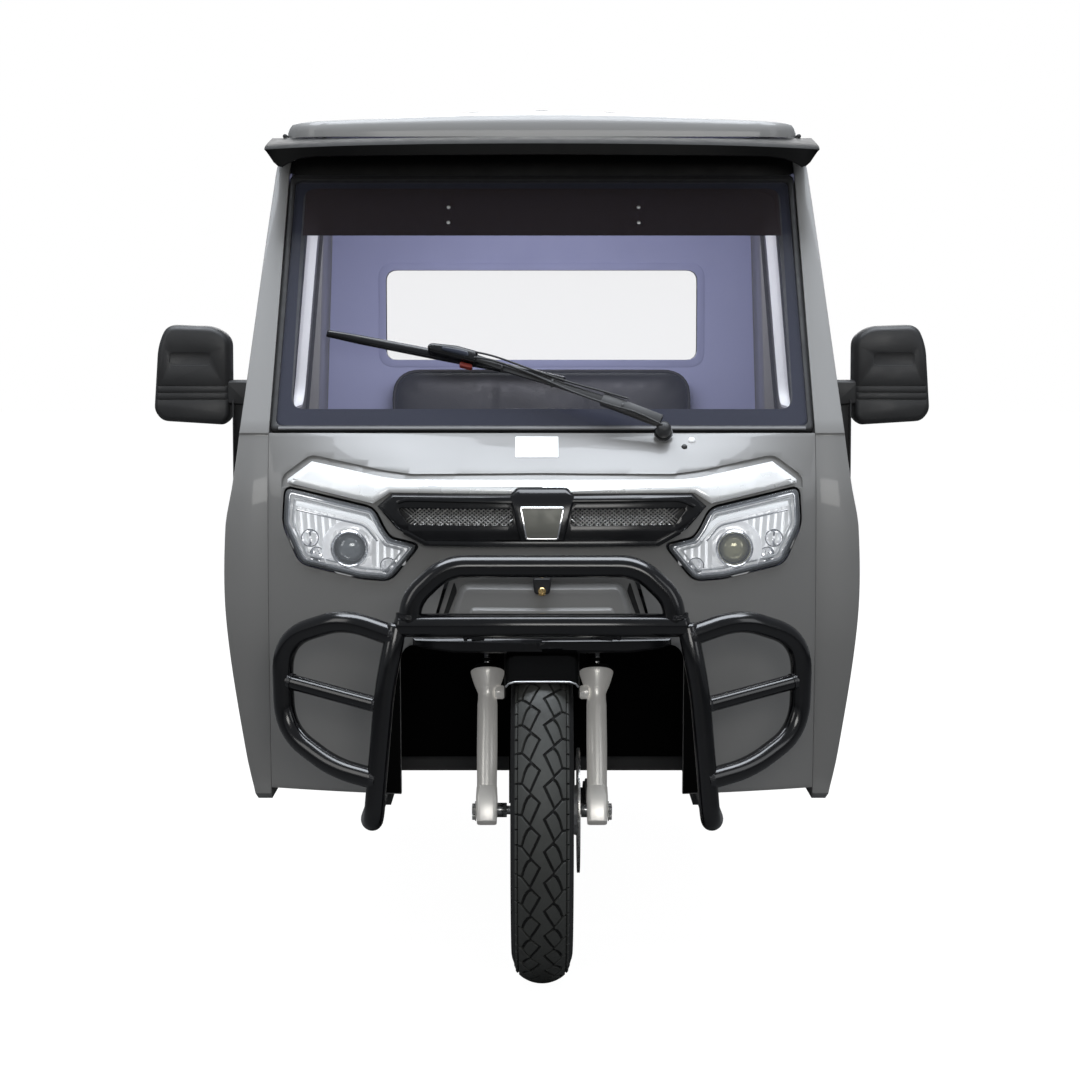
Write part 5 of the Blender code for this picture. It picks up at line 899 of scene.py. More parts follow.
def tread_pitch(pitch, scale):
    """Blocks of one pitch of the tread, flat: across the tyre, along it, and height."""
    step = pitch / 54.2e-3

    def point(s, u):
        return (s * 1e-3 * scale, u * 1e-3 * step)

    rib = [(3.6, 0), (20.8, 37), (3.6, 54.2), (-16.2, 54.2), (-3.6, 27.1), (-20.8, 9.9), (-16.2, 0)]
    inner = [(3.6, 0), (18.5, -12.4), (25.0, -7.5), (30.6, 3.0), (36.4, 21), (20.8, 37)]
    outer = [(20.8, -17.2), (36.4, -33.2), (46.5, -34.0), (46.5, 20.2), (36.4, 21), (31.4, 4.0),
             (26.0, -7.0), (18.9, -13.5)]
    edge_a = [(47.5, -33.0), (52.5, -33.0), (52.5, -9.0), (47.5, -9.0)]
    edge_b = [(47.5, -6.0), (52.5, -6.0), (52.5, 18.0), (47.5, 18.0)]
    shapes = []
    for outline, sides in ((rib, (1,)), (inner, (1, -1)), (outer, (1, -1)), (edge_a, (1, -1)),
                           (edge_b, (1, -1))):
        for side in sides:
            half_pitch = 0.0 if side > 0 else 27.1
            points = [point(side * s, u + half_pitch) for s, u in outline]
            if outline is rib:
                base = [(s + GROOVE_HALF * shift, u) for shift, (s, u) in zip(RIB_SHIFTS, points)]
            elif outline in (edge_a, edge_b):
                base = points
            else:
                base = grow(points, -GROOVE_HALF)
            top = grow(base, -0.0006) if outline is not rib else base
            shapes.append(loft([[(s, u, -GROOVE_DEPTH - 0.002) for s, u in base],
                                [(s, u, -0.0007) for s, u in base], [(s, u, 0.0) for s, u in top]]))
    shape = join(shapes)
    return sliced(sliced(shape, "x", 0.0065), "y", 0.0085)


def build_tyre(name, axle, radius, half, rim, crown, pitches, body, node):
    """Carcass and tread blocks of a tyre."""
    turn = 0.0512 / 0.060
    shoulder_x = crown * math.sin(turn)
    shoulder_r = radius - crown + crown * math.cos(turn)
    floor = GROOVE_DEPTH
    profile = []
    for step in range(-10, 11):
        angle = turn * step / 10
        profile.append((radius - crown + (crown - floor) * math.cos(angle),
                        (crown - floor) * math.sin(angle)))
    bulge = 0.5 * (shoulder_r + rim) + 0.010
    side_wall = [(shoulder_r - 0.001, shoulder_x - 0.0008), (shoulder_r - 0.010, shoulder_x + 0.0032),
                 (shoulder_r - 0.0125, shoulder_x + 0.0030), (bulge + 0.006, half - 0.0012), (bulge, half),
                 (bulge - 0.004, half - 0.0002), (rim + 0.018, half - 0.0040),
                 (rim + 0.0165, half - 0.0032),
                 (rim + 0.0145, half - 0.0034), (rim + 0.013, half - 0.0052), (rim + 0.003, half - 0.0120),
                 (rim - 0.001, half - 0.0150)]
    full = [(r, -x) for r, x in side_wall[::-1]] + profile + side_wall
    full += [(rim + 0.004, half - 0.022), (rim + 0.004, -half + 0.022)]
    carcass = turned(full, "x", axle, 120, True)
    blocks = tread_pitch(math.tau * radius / pitches, crown / 0.060)
    mesh = bpy.data.meshes.new("pitch")
    blocks.to_mesh(mesh)
    blocks.free()
    flat = [vertex.co.copy() for vertex in mesh.vertices]
    faces = [tuple(polygon.vertices) for polygon in mesh.polygons]
    bpy.data.meshes.remove(mesh)
    shape = bmesh.new()
    for number in range(pitches):
        verts = []
        for co in flat:
            angle = (co.y + number * math.tau * radius / pitches) / radius
            lean = co.x / crown
            reach = radius - crown + (crown + co.z) * math.cos(lean)
            verts.append(shape.verts.new((axle.x + (crown + co.z) * math.sin(lean),
                                          axle.y - reach * math.sin(angle),
                                          axle.z + reach * math.cos(angle))))
        for face in faces:
            shape.faces.new([verts[index] for index in face])
    bmesh.ops.recalc_face_normals(shape, faces=shape.faces)
    add_piece("carcass_" + name, carcass, "tyre", body, angle=55.0, replaces=[node])
    add_piece("tread_" + name, shape, "tread", body, angle=28.0)


def in_frame(shape):
    """Shape moved from the steering axis's frame to its place."""
    return moved(shape, STEERING_FRAME)


def build_fork_leg(name, side):
    """One leg of the front fork with its boots, lug and nuts."""
    axle_y, axle_z = AXLE_IN_FRAME.y, AXLE_IN_FRAME.z
    x = side * FORK_LEG_X
    leg = [(0.0, axle_z - 0.020), (0.0150, axle_z - 0.020), (0.0172, axle_z - 0.017), (0.0182, 0.100),
           (0.0178, 0.176), (0.0168, 0.186), (0.0168, 0.196), (0.0196, 0.203), (0.0225, 0.212),
           (0.0, 0.212)]
    # The fork's silver carries a painted glow that lifts it out of the shade under the body.
    add_piece("fork_leg_" + name, in_frame(turned(leg, "z", (x, axle_y, 0.0), 40)), "fork_silver_painted_light",
              "steering", 0.0008, replaces=["front_fork"] if side > 0 else ())
    cup = [(0.0205, 0.205), (0.0235, 0.212), (0.0262, 0.220), (0.0290, 0.229), (0.0302, 0.2345),
           (0.0302, 0.2370), (0.0280, 0.2390), (0.0150, 0.2395), (0.0150, 0.205)]
    add_piece("fork_cup_" + name, in_frame(turned(cup, "z", (x, axle_y, 0.0), 44, True)), "fork_silver_painted_light",
              "steering")
    rings = [[(0.0150, 0.2405), (0.0225, 0.2405), (0.0240, 0.2440), (0.0225, 0.2475), (0.0150, 0.2475)],
             [(0.0150, 0.2530), (0.0200, 0.2530), (0.0210, 0.2570), (0.0150, 0.2590)]]
    add_piece("fork_ring_" + name,
              in_frame(join([turned(ring, "z", (x, axle_y, 0.0), 36, True) for ring in rings])),
              "visor", "steering")
    tube_shape = [(0.0, 0.236), (0.0146, 0.236), (0.0146, 0.3735), (0.0168, 0.3735), (0.0168, 0.3790),
                  (0.0090, 0.3800), (0.0, 0.3800)]
    add_piece("fork_tube_" + name, in_frame(turned(tube_shape, "z", (x, axle_y, 0.0), 32)), "dark_chrome",
              "steering", 0.001)
    boss = [(0.0, 0.0), (0.0105, 0.0), (0.0122, 0.003), (0.0122, 0.016), (0.0, 0.018)]
    boss = [(radius, side * (FORK_LEG_X - 0.030 + along)) for radius, along in boss]
    place = Vector((0.0, axle_y - 0.006, 0.1975))
    peg = [tube([(x - side * 0.012, place.y, place.z), (side * 0.0685, place.y, place.z)], 0.0052, 18,
                False),
           turned(boss, "x", place, 28)]
    add_piece("fork_peg_" + name, in_frame(join(peg)), "fork_silver_painted_light", "steering", 0.0006)
    lug = stepped_plate([
        (rounded(rectangle((x - 0.0175, axle_y - 0.0185), (x + 0.0175, axle_y + 0.020)), 0.007, 4),
         axle_z - 0.0235),
        (rounded(rectangle((x - 0.0190, axle_y - 0.0200), (x + 0.0190, axle_y + 0.022)), 0.008, 4),
         axle_z + 0.020),
        (rounded(rectangle((x - 0.0180, axle_y - 0.0180), (x + 0.0180, axle_y + 0.0180)), 0.012, 4),
         axle_z + 0.042)], "z")
    add_piece("fork_lug_" + name, in_frame(lug), "fork_silver_painted_light", "steering", 0.002)
    heads = []
    for y, z, size in ((axle_y, axle_z, 0.0125), (axle_y - 0.006, axle_z - 0.013, 0.0062)):
        hexagon = [(y + size * math.cos(math.tau * i / 6), z + size * math.sin(math.tau * i / 6))
                   for i in range(6)]
        ends = sorted((side * (FORK_LEG_X + 0.020), side * (FORK_LEG_X + 0.0255)))
        heads.append(plate(hexagon, "x", *ends))
        washer = [(0.0, side * (FORK_LEG_X + 0.0185)), (size * 1.25, side * (FORK_LEG_X + 0.0185)),
                  (size * 1.25, side * (FORK_LEG_X + 0.0205)), (0.0, side * (FORK_LEG_X + 0.0205))]
        heads.append(turned(washer, "x", (0.0, y, z), 28))
    add_piece("fork_nuts_" + name, in_frame(join(heads)), "steel", "steering", 0.0007)


def build_caliper():
    """Front brake caliper and its bolts."""
    axle_y, axle_z = AXLE_IN_FRAME.y, AXLE_IN_FRAME.z
    bridge = axle_y + 0.110 + 0.0075
    body = rounded([(axle_y + 0.072, axle_z + 0.024), (bridge + 0.010, axle_z + 0.022),
                    (bridge + 0.016, axle_z + 0.034),
                    (bridge + 0.016, axle_z + 0.062), (bridge + 0.006, axle_z + 0.072),
                    (axle_y + 0.078, axle_z + 0.070)],
                   0.006, 3)
    caliper = [plate(body, "x", 0.0735, 0.0900), plate(body, "x", 0.0440, 0.0560)]
    caliper.append(box((0.0440, 0.0900), (bridge + 0.001, bridge + 0.015),
                       (axle_z + 0.028, axle_z + 0.066)))
    arm = rounded([(axle_y + 0.006, axle_z + 0.018), (axle_y + 0.090, axle_z + 0.026),
                   (axle_y + 0.090, axle_z + 0.058),
                   (axle_y + 0.006, axle_z + 0.060)], 0.008, 3)
    caliper.append(plate(arm, "x", 0.0760, 0.0860))
    add_piece("brake_caliper", in_frame(join(caliper)), "frame", "steering", 0.0016)
    pins = []
    for z in (0.034, 0.060):
        pins.append(tube([(0.0870, bridge + 0.006, axle_z + z), (0.0945, bridge + 0.006, axle_z + z)],
                         0.0050, 18))
        pins.append(tube([(0.0850, axle_y + 0.030, axle_z + z - 0.004),
                          (0.0905, axle_y + 0.030, axle_z + z - 0.004)],
                         0.0055, 6, False))
    add_piece("caliper_bolts", in_frame(join(pins)), "steel", "steering", 0.0005)


def build_fork():
    """Front fork with its crown, axle and brake caliper."""
    axle_y, axle_z = AXLE_IN_FRAME.y, AXLE_IN_FRAME.z
    for name, side in SIDES:
        build_fork_leg(name, side)
    reach = FORK_LEG_X + 0.026
    crown = [(-reach, axle_y - 0.024), (reach, axle_y - 0.024), (reach, axle_y + 0.022), (0.045, 0.034),
             (-0.045, 0.034), (-reach, axle_y + 0.022)]
    crown = plate(rounded(crown, 0.014, 6), "z", 0.3445, 0.3725)
    stem = [(0.0, 0.3600), (0.0145, 0.3600), (0.0145, STEM_TOP), (0.0, STEM_TOP)]
    crown = join([crown, turned(stem, "z", (0.0, 0.0, 0.0), 32)])
    add_piece("fork_crown", in_frame(crown), "shade_matt", "steering", 0.0022)
    ends = (-0.062, 0.0690)
    axle = [(0.0, -FORK_LEG_X - 0.026), (0.0078, -FORK_LEG_X - 0.026), (0.0078, FORK_LEG_X + 0.026),
            (0.0, FORK_LEG_X + 0.026)]
    spacers = [turned(axle, "x", (0.0, axle_y, axle_z), 24)]
    for side, end in zip((-1, 1), ends):
        near, far = sorted((end, side * (FORK_LEG_X - 0.012)))
        spacers.append(turned([(0.0, near), (0.0128, near), (0.0128, far), (0.0, far)], "x",
                              (0.0, axle_y, axle_z), 28))
    add_piece("front_axle", in_frame(join(spacers)), "dark_chrome", "steering", 0.0006)
    build_caliper()


def build_mudguard():
    """Front mudguard with its bright edge and its stays."""
    half, skin, radius = 0.0615, 0.0026, 0.3125
    crown = [(radius - 0.040, half), (radius - 0.012, half), (radius - 0.004, half - 0.005),
             (radius, half - 0.015), (radius + 0.0004, 0.020)]
    outer = crown + [(r, -x) for r, x in crown[::-1]]
    inner = [(r - (skin if abs(x) < half - 0.002 else 0.0), x * (half - skin) / half) for r, x in outer]
    loops = []
    for step in range(57):
        angle = math.radians(-8.0 + 134.0 * step / 56)
        loops.append([Vector((x, FRONT_AXLE.y + r * math.cos(angle), FRONT_AXLE.z + r * math.sin(angle)))
                      for r, x in outer + inner[::-1]])
    # The mudguard is matt near-black with no gloss: partly its own black, partly painted shade from the bumper
    # above it.
    add_piece("mudguard_skin", loft(loops), "shade_matt", "steering", 0.0007,
              replaces=["front_mudguard"])
    angle = math.radians(126.0)
    edge = [Vector((x, FRONT_AXLE.y + r * math.cos(angle), FRONT_AXLE.z + r * math.sin(angle))) for r,
            x in outer
            if r > radius - 0.013]
    add_piece("mudguard_lip", tube(edge, 0.0017, 12), "satin", "steering")
    stays = []
    for side in (-1, 1):
        strap = ribbon([(AXLE_IN_FRAME.y, AXLE_IN_FRAME.z + 0.2055),
                        (AXLE_IN_FRAME.y, AXLE_IN_FRAME.z + 0.292)], 0.0092)
        stays.append(plate(rounded(strap, 0.006, 3), "x", *sorted((side * 0.0640, side * 0.0676))))
    add_piece("mudguard_stays", in_frame(join(stays)), "black", "steering", 0.0007)


def build_wheels():
    """Tyres of the three wheels, and the front brake disc."""
    build_tyre("front", FRONT_AXLE, *FRONT_TYRE, "front_wheel_assembly", "front_tyre")
    for name, _ in SIDES:
        axle = Vector(JOINTS["rear_%s_spin" % name]["pos_m"])
        build_tyre("rear_" + name, axle, *REAR_TYRE, "rear_wheel_%s_assembly" % name, "rear_tyre_" + name)
    disc = [(0.058, 0.0615), (0.1098, 0.0615), (0.1098, 0.0665), (0.058, 0.0665)]
    shape = turned(disc, "x", FRONT_AXLE, 72, True)
    tools = []
    for ring, count, shift in ((0.076, 15, 0.0), (0.092, 15, 0.5)):
        for number in range(count):
            angle = math.tau * (number + shift) / count
            place = FRONT_AXLE + Vector((0.0, ring * math.cos(angle), ring * math.sin(angle)))
            tools.append(turned([(0.0, 0.05), (0.0038, 0.05), (0.0038, 0.08), (0.0, 0.08)], "x", place, 12))
    shape = boolean(shape, [join(tools)])
    add_piece("brake_disc", shape, "steel", "front_wheel_assembly", 0.0005)
    soften_node("front_wheel", 0.0022)


# Cab

SIDE_TABLE = (
    (0.300, 0.500), (0.404, 0.522), (0.643, 0.553), (0.803, 0.553), (0.876, 0.541), (0.967, 0.530),
    (1.443, 0.486), (1.500, 0.474), )
INNER_TABLE = ((0.300, 0.4783), (0.967, 0.4783), (1.443, 0.4623), (1.500, 0.4530))
DOOR_PROUD = 0.012
SCREEN_FRAME = Matrix.Translation(SCREEN_FOOT) @ Matrix.Rotation(-SCREEN_RAKE, 4, "X")
DOOR_LOW = (FRONT_AXLE.y + 0.365, 0.420)
DOOR_HIGH = (FRONT_AXLE.y + 1.020, 1.455)
DOOR_HINGE = (0.572, FRONT_AXLE.y + 0.368)
DOOR_HINGE_HEIGHTS = (0.520, 0.900)
HANDLE_HEIGHT = 0.880
SIDE_SLICE = 0.030
ROOF_HALF = 0.474
ROOF_EDGE = 1.512
ROOF_TOP = 1.5264
ROOF_CROWN = 0.052
ROOF_CROWN_REACH = 0.584


def linear(table, value):
    """Value of a two-column table between its rows."""
    value = min(max(value, table[0][0]), table[-1][0])
    index = next(i for i in range(len(table) - 1) if value <= table[i + 1][0])
    (z_low, low), (z_high, high) = table[index], table[index + 1]
    return low + (high - low) * (value - z_low) / (z_high - z_low)


def side_x(z):
    """Half width of the cab at a height."""
    return eased(SIDE_TABLE, z, 1)


def side_piece(outline, holes, outer, inner, side, inner_table=False):
    """Piece of the cab's side: its outer face stands that far outside the side's curve."""
    shape = plate(outline, "x", 1.0, 0.0)
    if holes:
        shape = boolean(shape, [plate(hole, "x", 2.0, -1.0) for hole in holes])
    sliced(shape, "z", SIDE_SLICE)
    for vertex in shape.verts:
        if vertex.co.x > 0.5:
            vertex.co.x = side_x(vertex.co.z) + outer
        elif inner_table:
            vertex.co.x = linear(INNER_TABLE, vertex.co.z)
        else:
            vertex.co.x = side_x(vertex.co.z) + inner
    return on_side(shape, side)


def build_door_hinges(name, side, body):
    """Pins and knuckles of a door's two hinges."""
    pins, knuckles = [], []
    for height in DOOR_HINGE_HEIGHTS:
        place = Vector((*DOOR_HINGE, height))
        pins.append(tube([place - Vector((0.0, 0.0, 0.031)), place + Vector((0.0, 0.0, 0.031))],
                         0.0046, 18))
        for low in (-0.030, 0.024):
            face = side_x(height + low)
            edge = place.y - 0.011
            leaf = [(face - 0.015, place.y - 0.055), (0.580, place.y - 0.006), (0.580, place.y + 0.006),
                    (0.566, place.y + 0.006), (0.562, edge + 0.003), (face + 0.001, edge),
                    (face - 0.015, edge)]
            pins.append(plate(leaf, "z", height + low, height + low + 0.006))
        ring = [(0.0051, -0.019), (0.0095, -0.019), (0.0095, 0.019), (0.0051, 0.019)]
        knuckles.append(turned(ring, "z", place, 26, True))
        face = side_x(height) + DOOR_PROUD
        leaf = [(0.569, place.y + 0.0065), (0.578, place.y + 0.008), (face + 0.0035, place.y + 0.055),
                (face - 0.012, place.y + 0.055), (face - 0.012, place.y + 0.010)]
        knuckles.append(plate(leaf, "z", height - 0.019, height + 0.019))
        for shift in (-0.009, 0.009):
            bolt = [(0.0, 0.0), (0.0052, 0.0), (0.0052, 0.0022), (0.0038, 0.0040), (0.0, 0.0042)]
            centre = Vector((face + 0.003, place.y + 0.044, height + shift))
            knuckles.append(turned(bolt, "x", centre, 20))
    pins, knuckles = on_side(join(pins), side), on_side(join(knuckles), side)
    add_piece("door_hinge_pins_" + name, pins, "black", "body", 0.0008)
    add_piece("door_hinge_knuckles_" + name, knuckles, "black", body, 0.0008)


def build_door_handle(name, side, body):
    """Handle and lock of a door."""
    face = side_x(HANDLE_HEIGHT) + DOOR_PROUD
    rear = DOOR_HIGH[0]
    path = [(face - 0.004, rear - 0.060, HANDLE_HEIGHT), (face + 0.022, rear - 0.066, HANDLE_HEIGHT),
            (face + 0.022, rear - 0.174, HANDLE_HEIGHT), (face - 0.004, rear - 0.180, HANDLE_HEIGHT)]
    shapes = [tube(bend(path, 0.016, 6), 0.0088, 22, False)]
    for y in (rear - 0.061, rear - 0.179):
        rose = [(0.0, -0.006), (0.0165, -0.006), (0.0165, 0.003), (0.0130, 0.0065), (0.0, 0.0065)]
        shapes.append(turned(rose, "x", (face, y, HANDLE_HEIGHT), 28))
    handle = on_side(join(shapes), side)
    lock = [(0.0, -0.004), (0.0095, -0.004), (0.0095, 0.003), (0.0080, 0.0045), (0.0, 0.0045)]
    lock = turned(lock, "x", (face, rear - 0.061, 0.842), 26)
    slit = box((face + 0.002, face + 0.01), (rear - 0.0616, rear - 0.0604), (0.837, 0.847))
    lock = on_side(boolean(lock, [slit]), side)
    add_piece("door_handle_" + name, handle, "black", body, 0.0010)
    add_piece("door_lock_" + name, lock, "chrome", body)


def build_sides():
    """Side frames, and the doors with their seals, hinges, handles and locks."""
    back = FRONT_AXLE.y + 1.2597
    front = [(FRONT_AXLE.y + eased(FRONT_TABLE, z / 1000.0, 1) + 0.0002, z / 1000.0)
             for z in range(345, 966, 20)]
    rise = math.tan(SCREEN_RAKE)
    outline = front + [(FRONT_AXLE.y + 0.012, 0.967), (FRONT_AXLE.y + 0.012 + (1.5 - 0.967) * rise, 1.5),
                       (back, 1.5)]
    outline += [(back, 0.345), (FRONT_AXLE.y + 0.36, 0.345), (FRONT_AXLE.y + 0.30, 0.318)]
    outline += [(FRONT_AXLE.y + 0.030, 0.318), (FRONT_AXLE.y + 0.008, 0.330)]
    opening = rounded(rectangle((DOOR_LOW[0] - 0.007, DOOR_LOW[1] - 0.007),
                                (DOOR_HIGH[0] + 0.013, DOOR_HIGH[1] + 0.007)),
                      0.055, 6)
    door = rounded(rectangle(DOOR_LOW, DOOR_HIGH), 0.050, 6)
    window = rounded(rectangle((DOOR_LOW[0] + 0.050, 0.985), (DOOR_HIGH[0] - 0.050, 1.405)), 0.055, 6)
    panel = rounded([(DOOR_LOW[0] + 0.060, 0.480), (DOOR_HIGH[0] - 0.060, 0.480),
                     (DOOR_HIGH[0] - 0.060, 0.815),
                     (DOOR_LOW[0] + 0.060, 0.760)], 0.050, 5)
    for name, side in SIDES:
        body = "door_%s_assembly" % name
        skin = side_piece(outline, [opening], 0.0, 0.0, side, inner_table=True)
        add_piece("side_skin_" + name, skin, "paint", "body", 0.0045,
                  replaces=["side_frame_" + name])
        skin = side_piece(door, [window], DOOR_PROUD, DOOR_PROUD - 0.036, side)
        add_piece("door_skin_" + name, skin, "paint", body, 0.0045, replaces=["door_" + name])
        press = side_piece(panel, (), DOOR_PROUD + 0.0025, DOOR_PROUD - 0.010, side)
        add_piece("door_press_" + name, press, "paint", body, 0.0060)
        seal = side_piece(grow(window, 0.011), [grow(window, -0.006)], DOOR_PROUD + 0.0030,
                          DOOR_PROUD - 0.006, side)
        add_piece("door_seal_" + name, seal, "rubber", body, 0.0020)
        gasket = side_piece(grow(opening, 0.004), [grow(opening, -0.006)], -0.004, -0.030, side)
        add_piece("door_gasket_" + name, gasket, "rubber", "body", 0.0020)
        seal = side_piece(grow(window, -0.002), [grow(window, -0.014)], DOOR_PROUD - 0.0105,
                          DOOR_PROUD - 0.0140, side)
        add_piece("door_frit_" + name, seal, "seam", body)
        # Near-white lining of the window opening: painted light on the reveal.
        painted_light_lining = side_piece(grow(window, -0.0004), [grow(window, -0.0055)], DOOR_PROUD - 0.0145,
                            DOOR_PROUD - 0.0362, side)
        add_piece("door_channel_painted_light_" + name, painted_light_lining, "channel", body)
        bar_y = DOOR_LOW[0] + 0.33
        bar = side_piece(rectangle((bar_y - 0.006, 0.988), (bar_y + 0.006, 1.402)), (), DOOR_PROUD - 0.004,
                         DOOR_PROUD - 0.020, side)
        ridge = side_piece(rectangle((bar_y - 0.0025, 0.992), (bar_y + 0.0025, 1.398)), (),
                           DOOR_PROUD - 0.0022, DOOR_PROUD - 0.006, side)
        add_piece("door_glass_bar_" + name, join([bar, ridge]), "black", body, 0.0010)
        strip = side_piece(rounded(rectangle((DOOR_LOW[0] + 0.020, 0.440), (DOOR_HIGH[0] - 0.020, 0.462)),
                                   0.008, 3), (), DOOR_PROUD + 0.006, DOOR_PROUD - 0.006, side)
        add_piece("door_strip_" + name, strip, "black", body, 0.0020)
        build_door_hinges(name, side, body)
        build_door_handle(name, side, body)


def on_screen(shape):
    """Shape moved from the windscreen's frame to its place."""
    return moved(shape, SCREEN_FRAME)


def screen_half(height):
    """Half width of the windscreen at a height along it."""
    return SCREEN_HALF_WIDTH - SCREEN_TAPER * height


def build_screen():
    """Dark border, tinted band, screws and rubber of the windscreen."""
    outer = [(-screen_half(0.006) + 0.0100, 0.012), (screen_half(0.006) - 0.0100, 0.012),
             (screen_half(0.514) - 0.0100, 0.510), (-screen_half(0.514) + 0.0100, 0.510)]
    inner = [(-screen_half(0.046) + 0.034, 0.047), (screen_half(0.046) - 0.034, 0.047),
             (screen_half(0.40) - 0.030, 0.4985), (-screen_half(0.40) + 0.030, 0.4985)]
    inner = rounded(inner, 0.026, 6)
    frit = boolean(plate(outer, "y", 0.00006, 0.00022), [plate(inner, "y", -0.1, 0.1)])
    add_piece("screen_frit", on_screen(frit), "frit", "body")
    band = [(-screen_half(0.40) + 0.0310, 0.3995), (screen_half(0.40) - 0.0310, 0.3995),
            (screen_half(0.50) - 0.0310, 0.4985), (-screen_half(0.50) + 0.0310, 0.4985)]
    add_piece("screen_band", on_screen(plate(band, "y", 0.00028, 0.0009)), "band", "body")
    screws = []
    for x, h in ((-0.170, 0.455), (-0.170, 0.423), (0.176, 0.455), (0.176, 0.423)):
        head = [(0.0, -0.0076), (0.0022, -0.0074), (0.0034, -0.0064), (0.0034, -0.0058), (0.0, -0.0058)]
        screws.append(turned(head, "y", (x, 0.0, h), 18))
    add_piece("screen_screws", on_screen(join(screws)), "screw", "body")
    outer = [(-screen_half(0.0) + 0.002, 0.002), (screen_half(0.0) - 0.002, 0.002),
             (screen_half(0.52) - 0.002, 0.520), (-screen_half(0.52) + 0.002, 0.520)]
    inner = [(-screen_half(0.0) + 0.0115, 0.0115), (screen_half(0.0) - 0.0115, 0.0115),
             (screen_half(0.52) - 0.0115, 0.5110), (-screen_half(0.52) + 0.0115, 0.5110)]
    rubber = boolean(stepped_plate([(rounded(outer, 0.010, 4), 0.010),
                                    (rounded(outer, 0.010, 4), -0.0050),
                                    (rounded(grow(outer, -0.003), 0.008, 4), -0.0075)]),
                     [plate(rounded(inner, 0.012, 5), "y", -0.1, 0.1)])
    add_piece("screen_rubber", on_screen(rubber), "rubber", "body", 0.0012)
    strip = [(-0.462, 0.0030), (0.462, 0.0030), (0.462, 0.0085), (-0.462, 0.0085)]
    add_piece("screen_strip", on_screen(plate(strip, "y", -0.0090, -0.0060)), "strip", "body",
              0.0010)
    soften_node("windscreen_frame", 0.002)


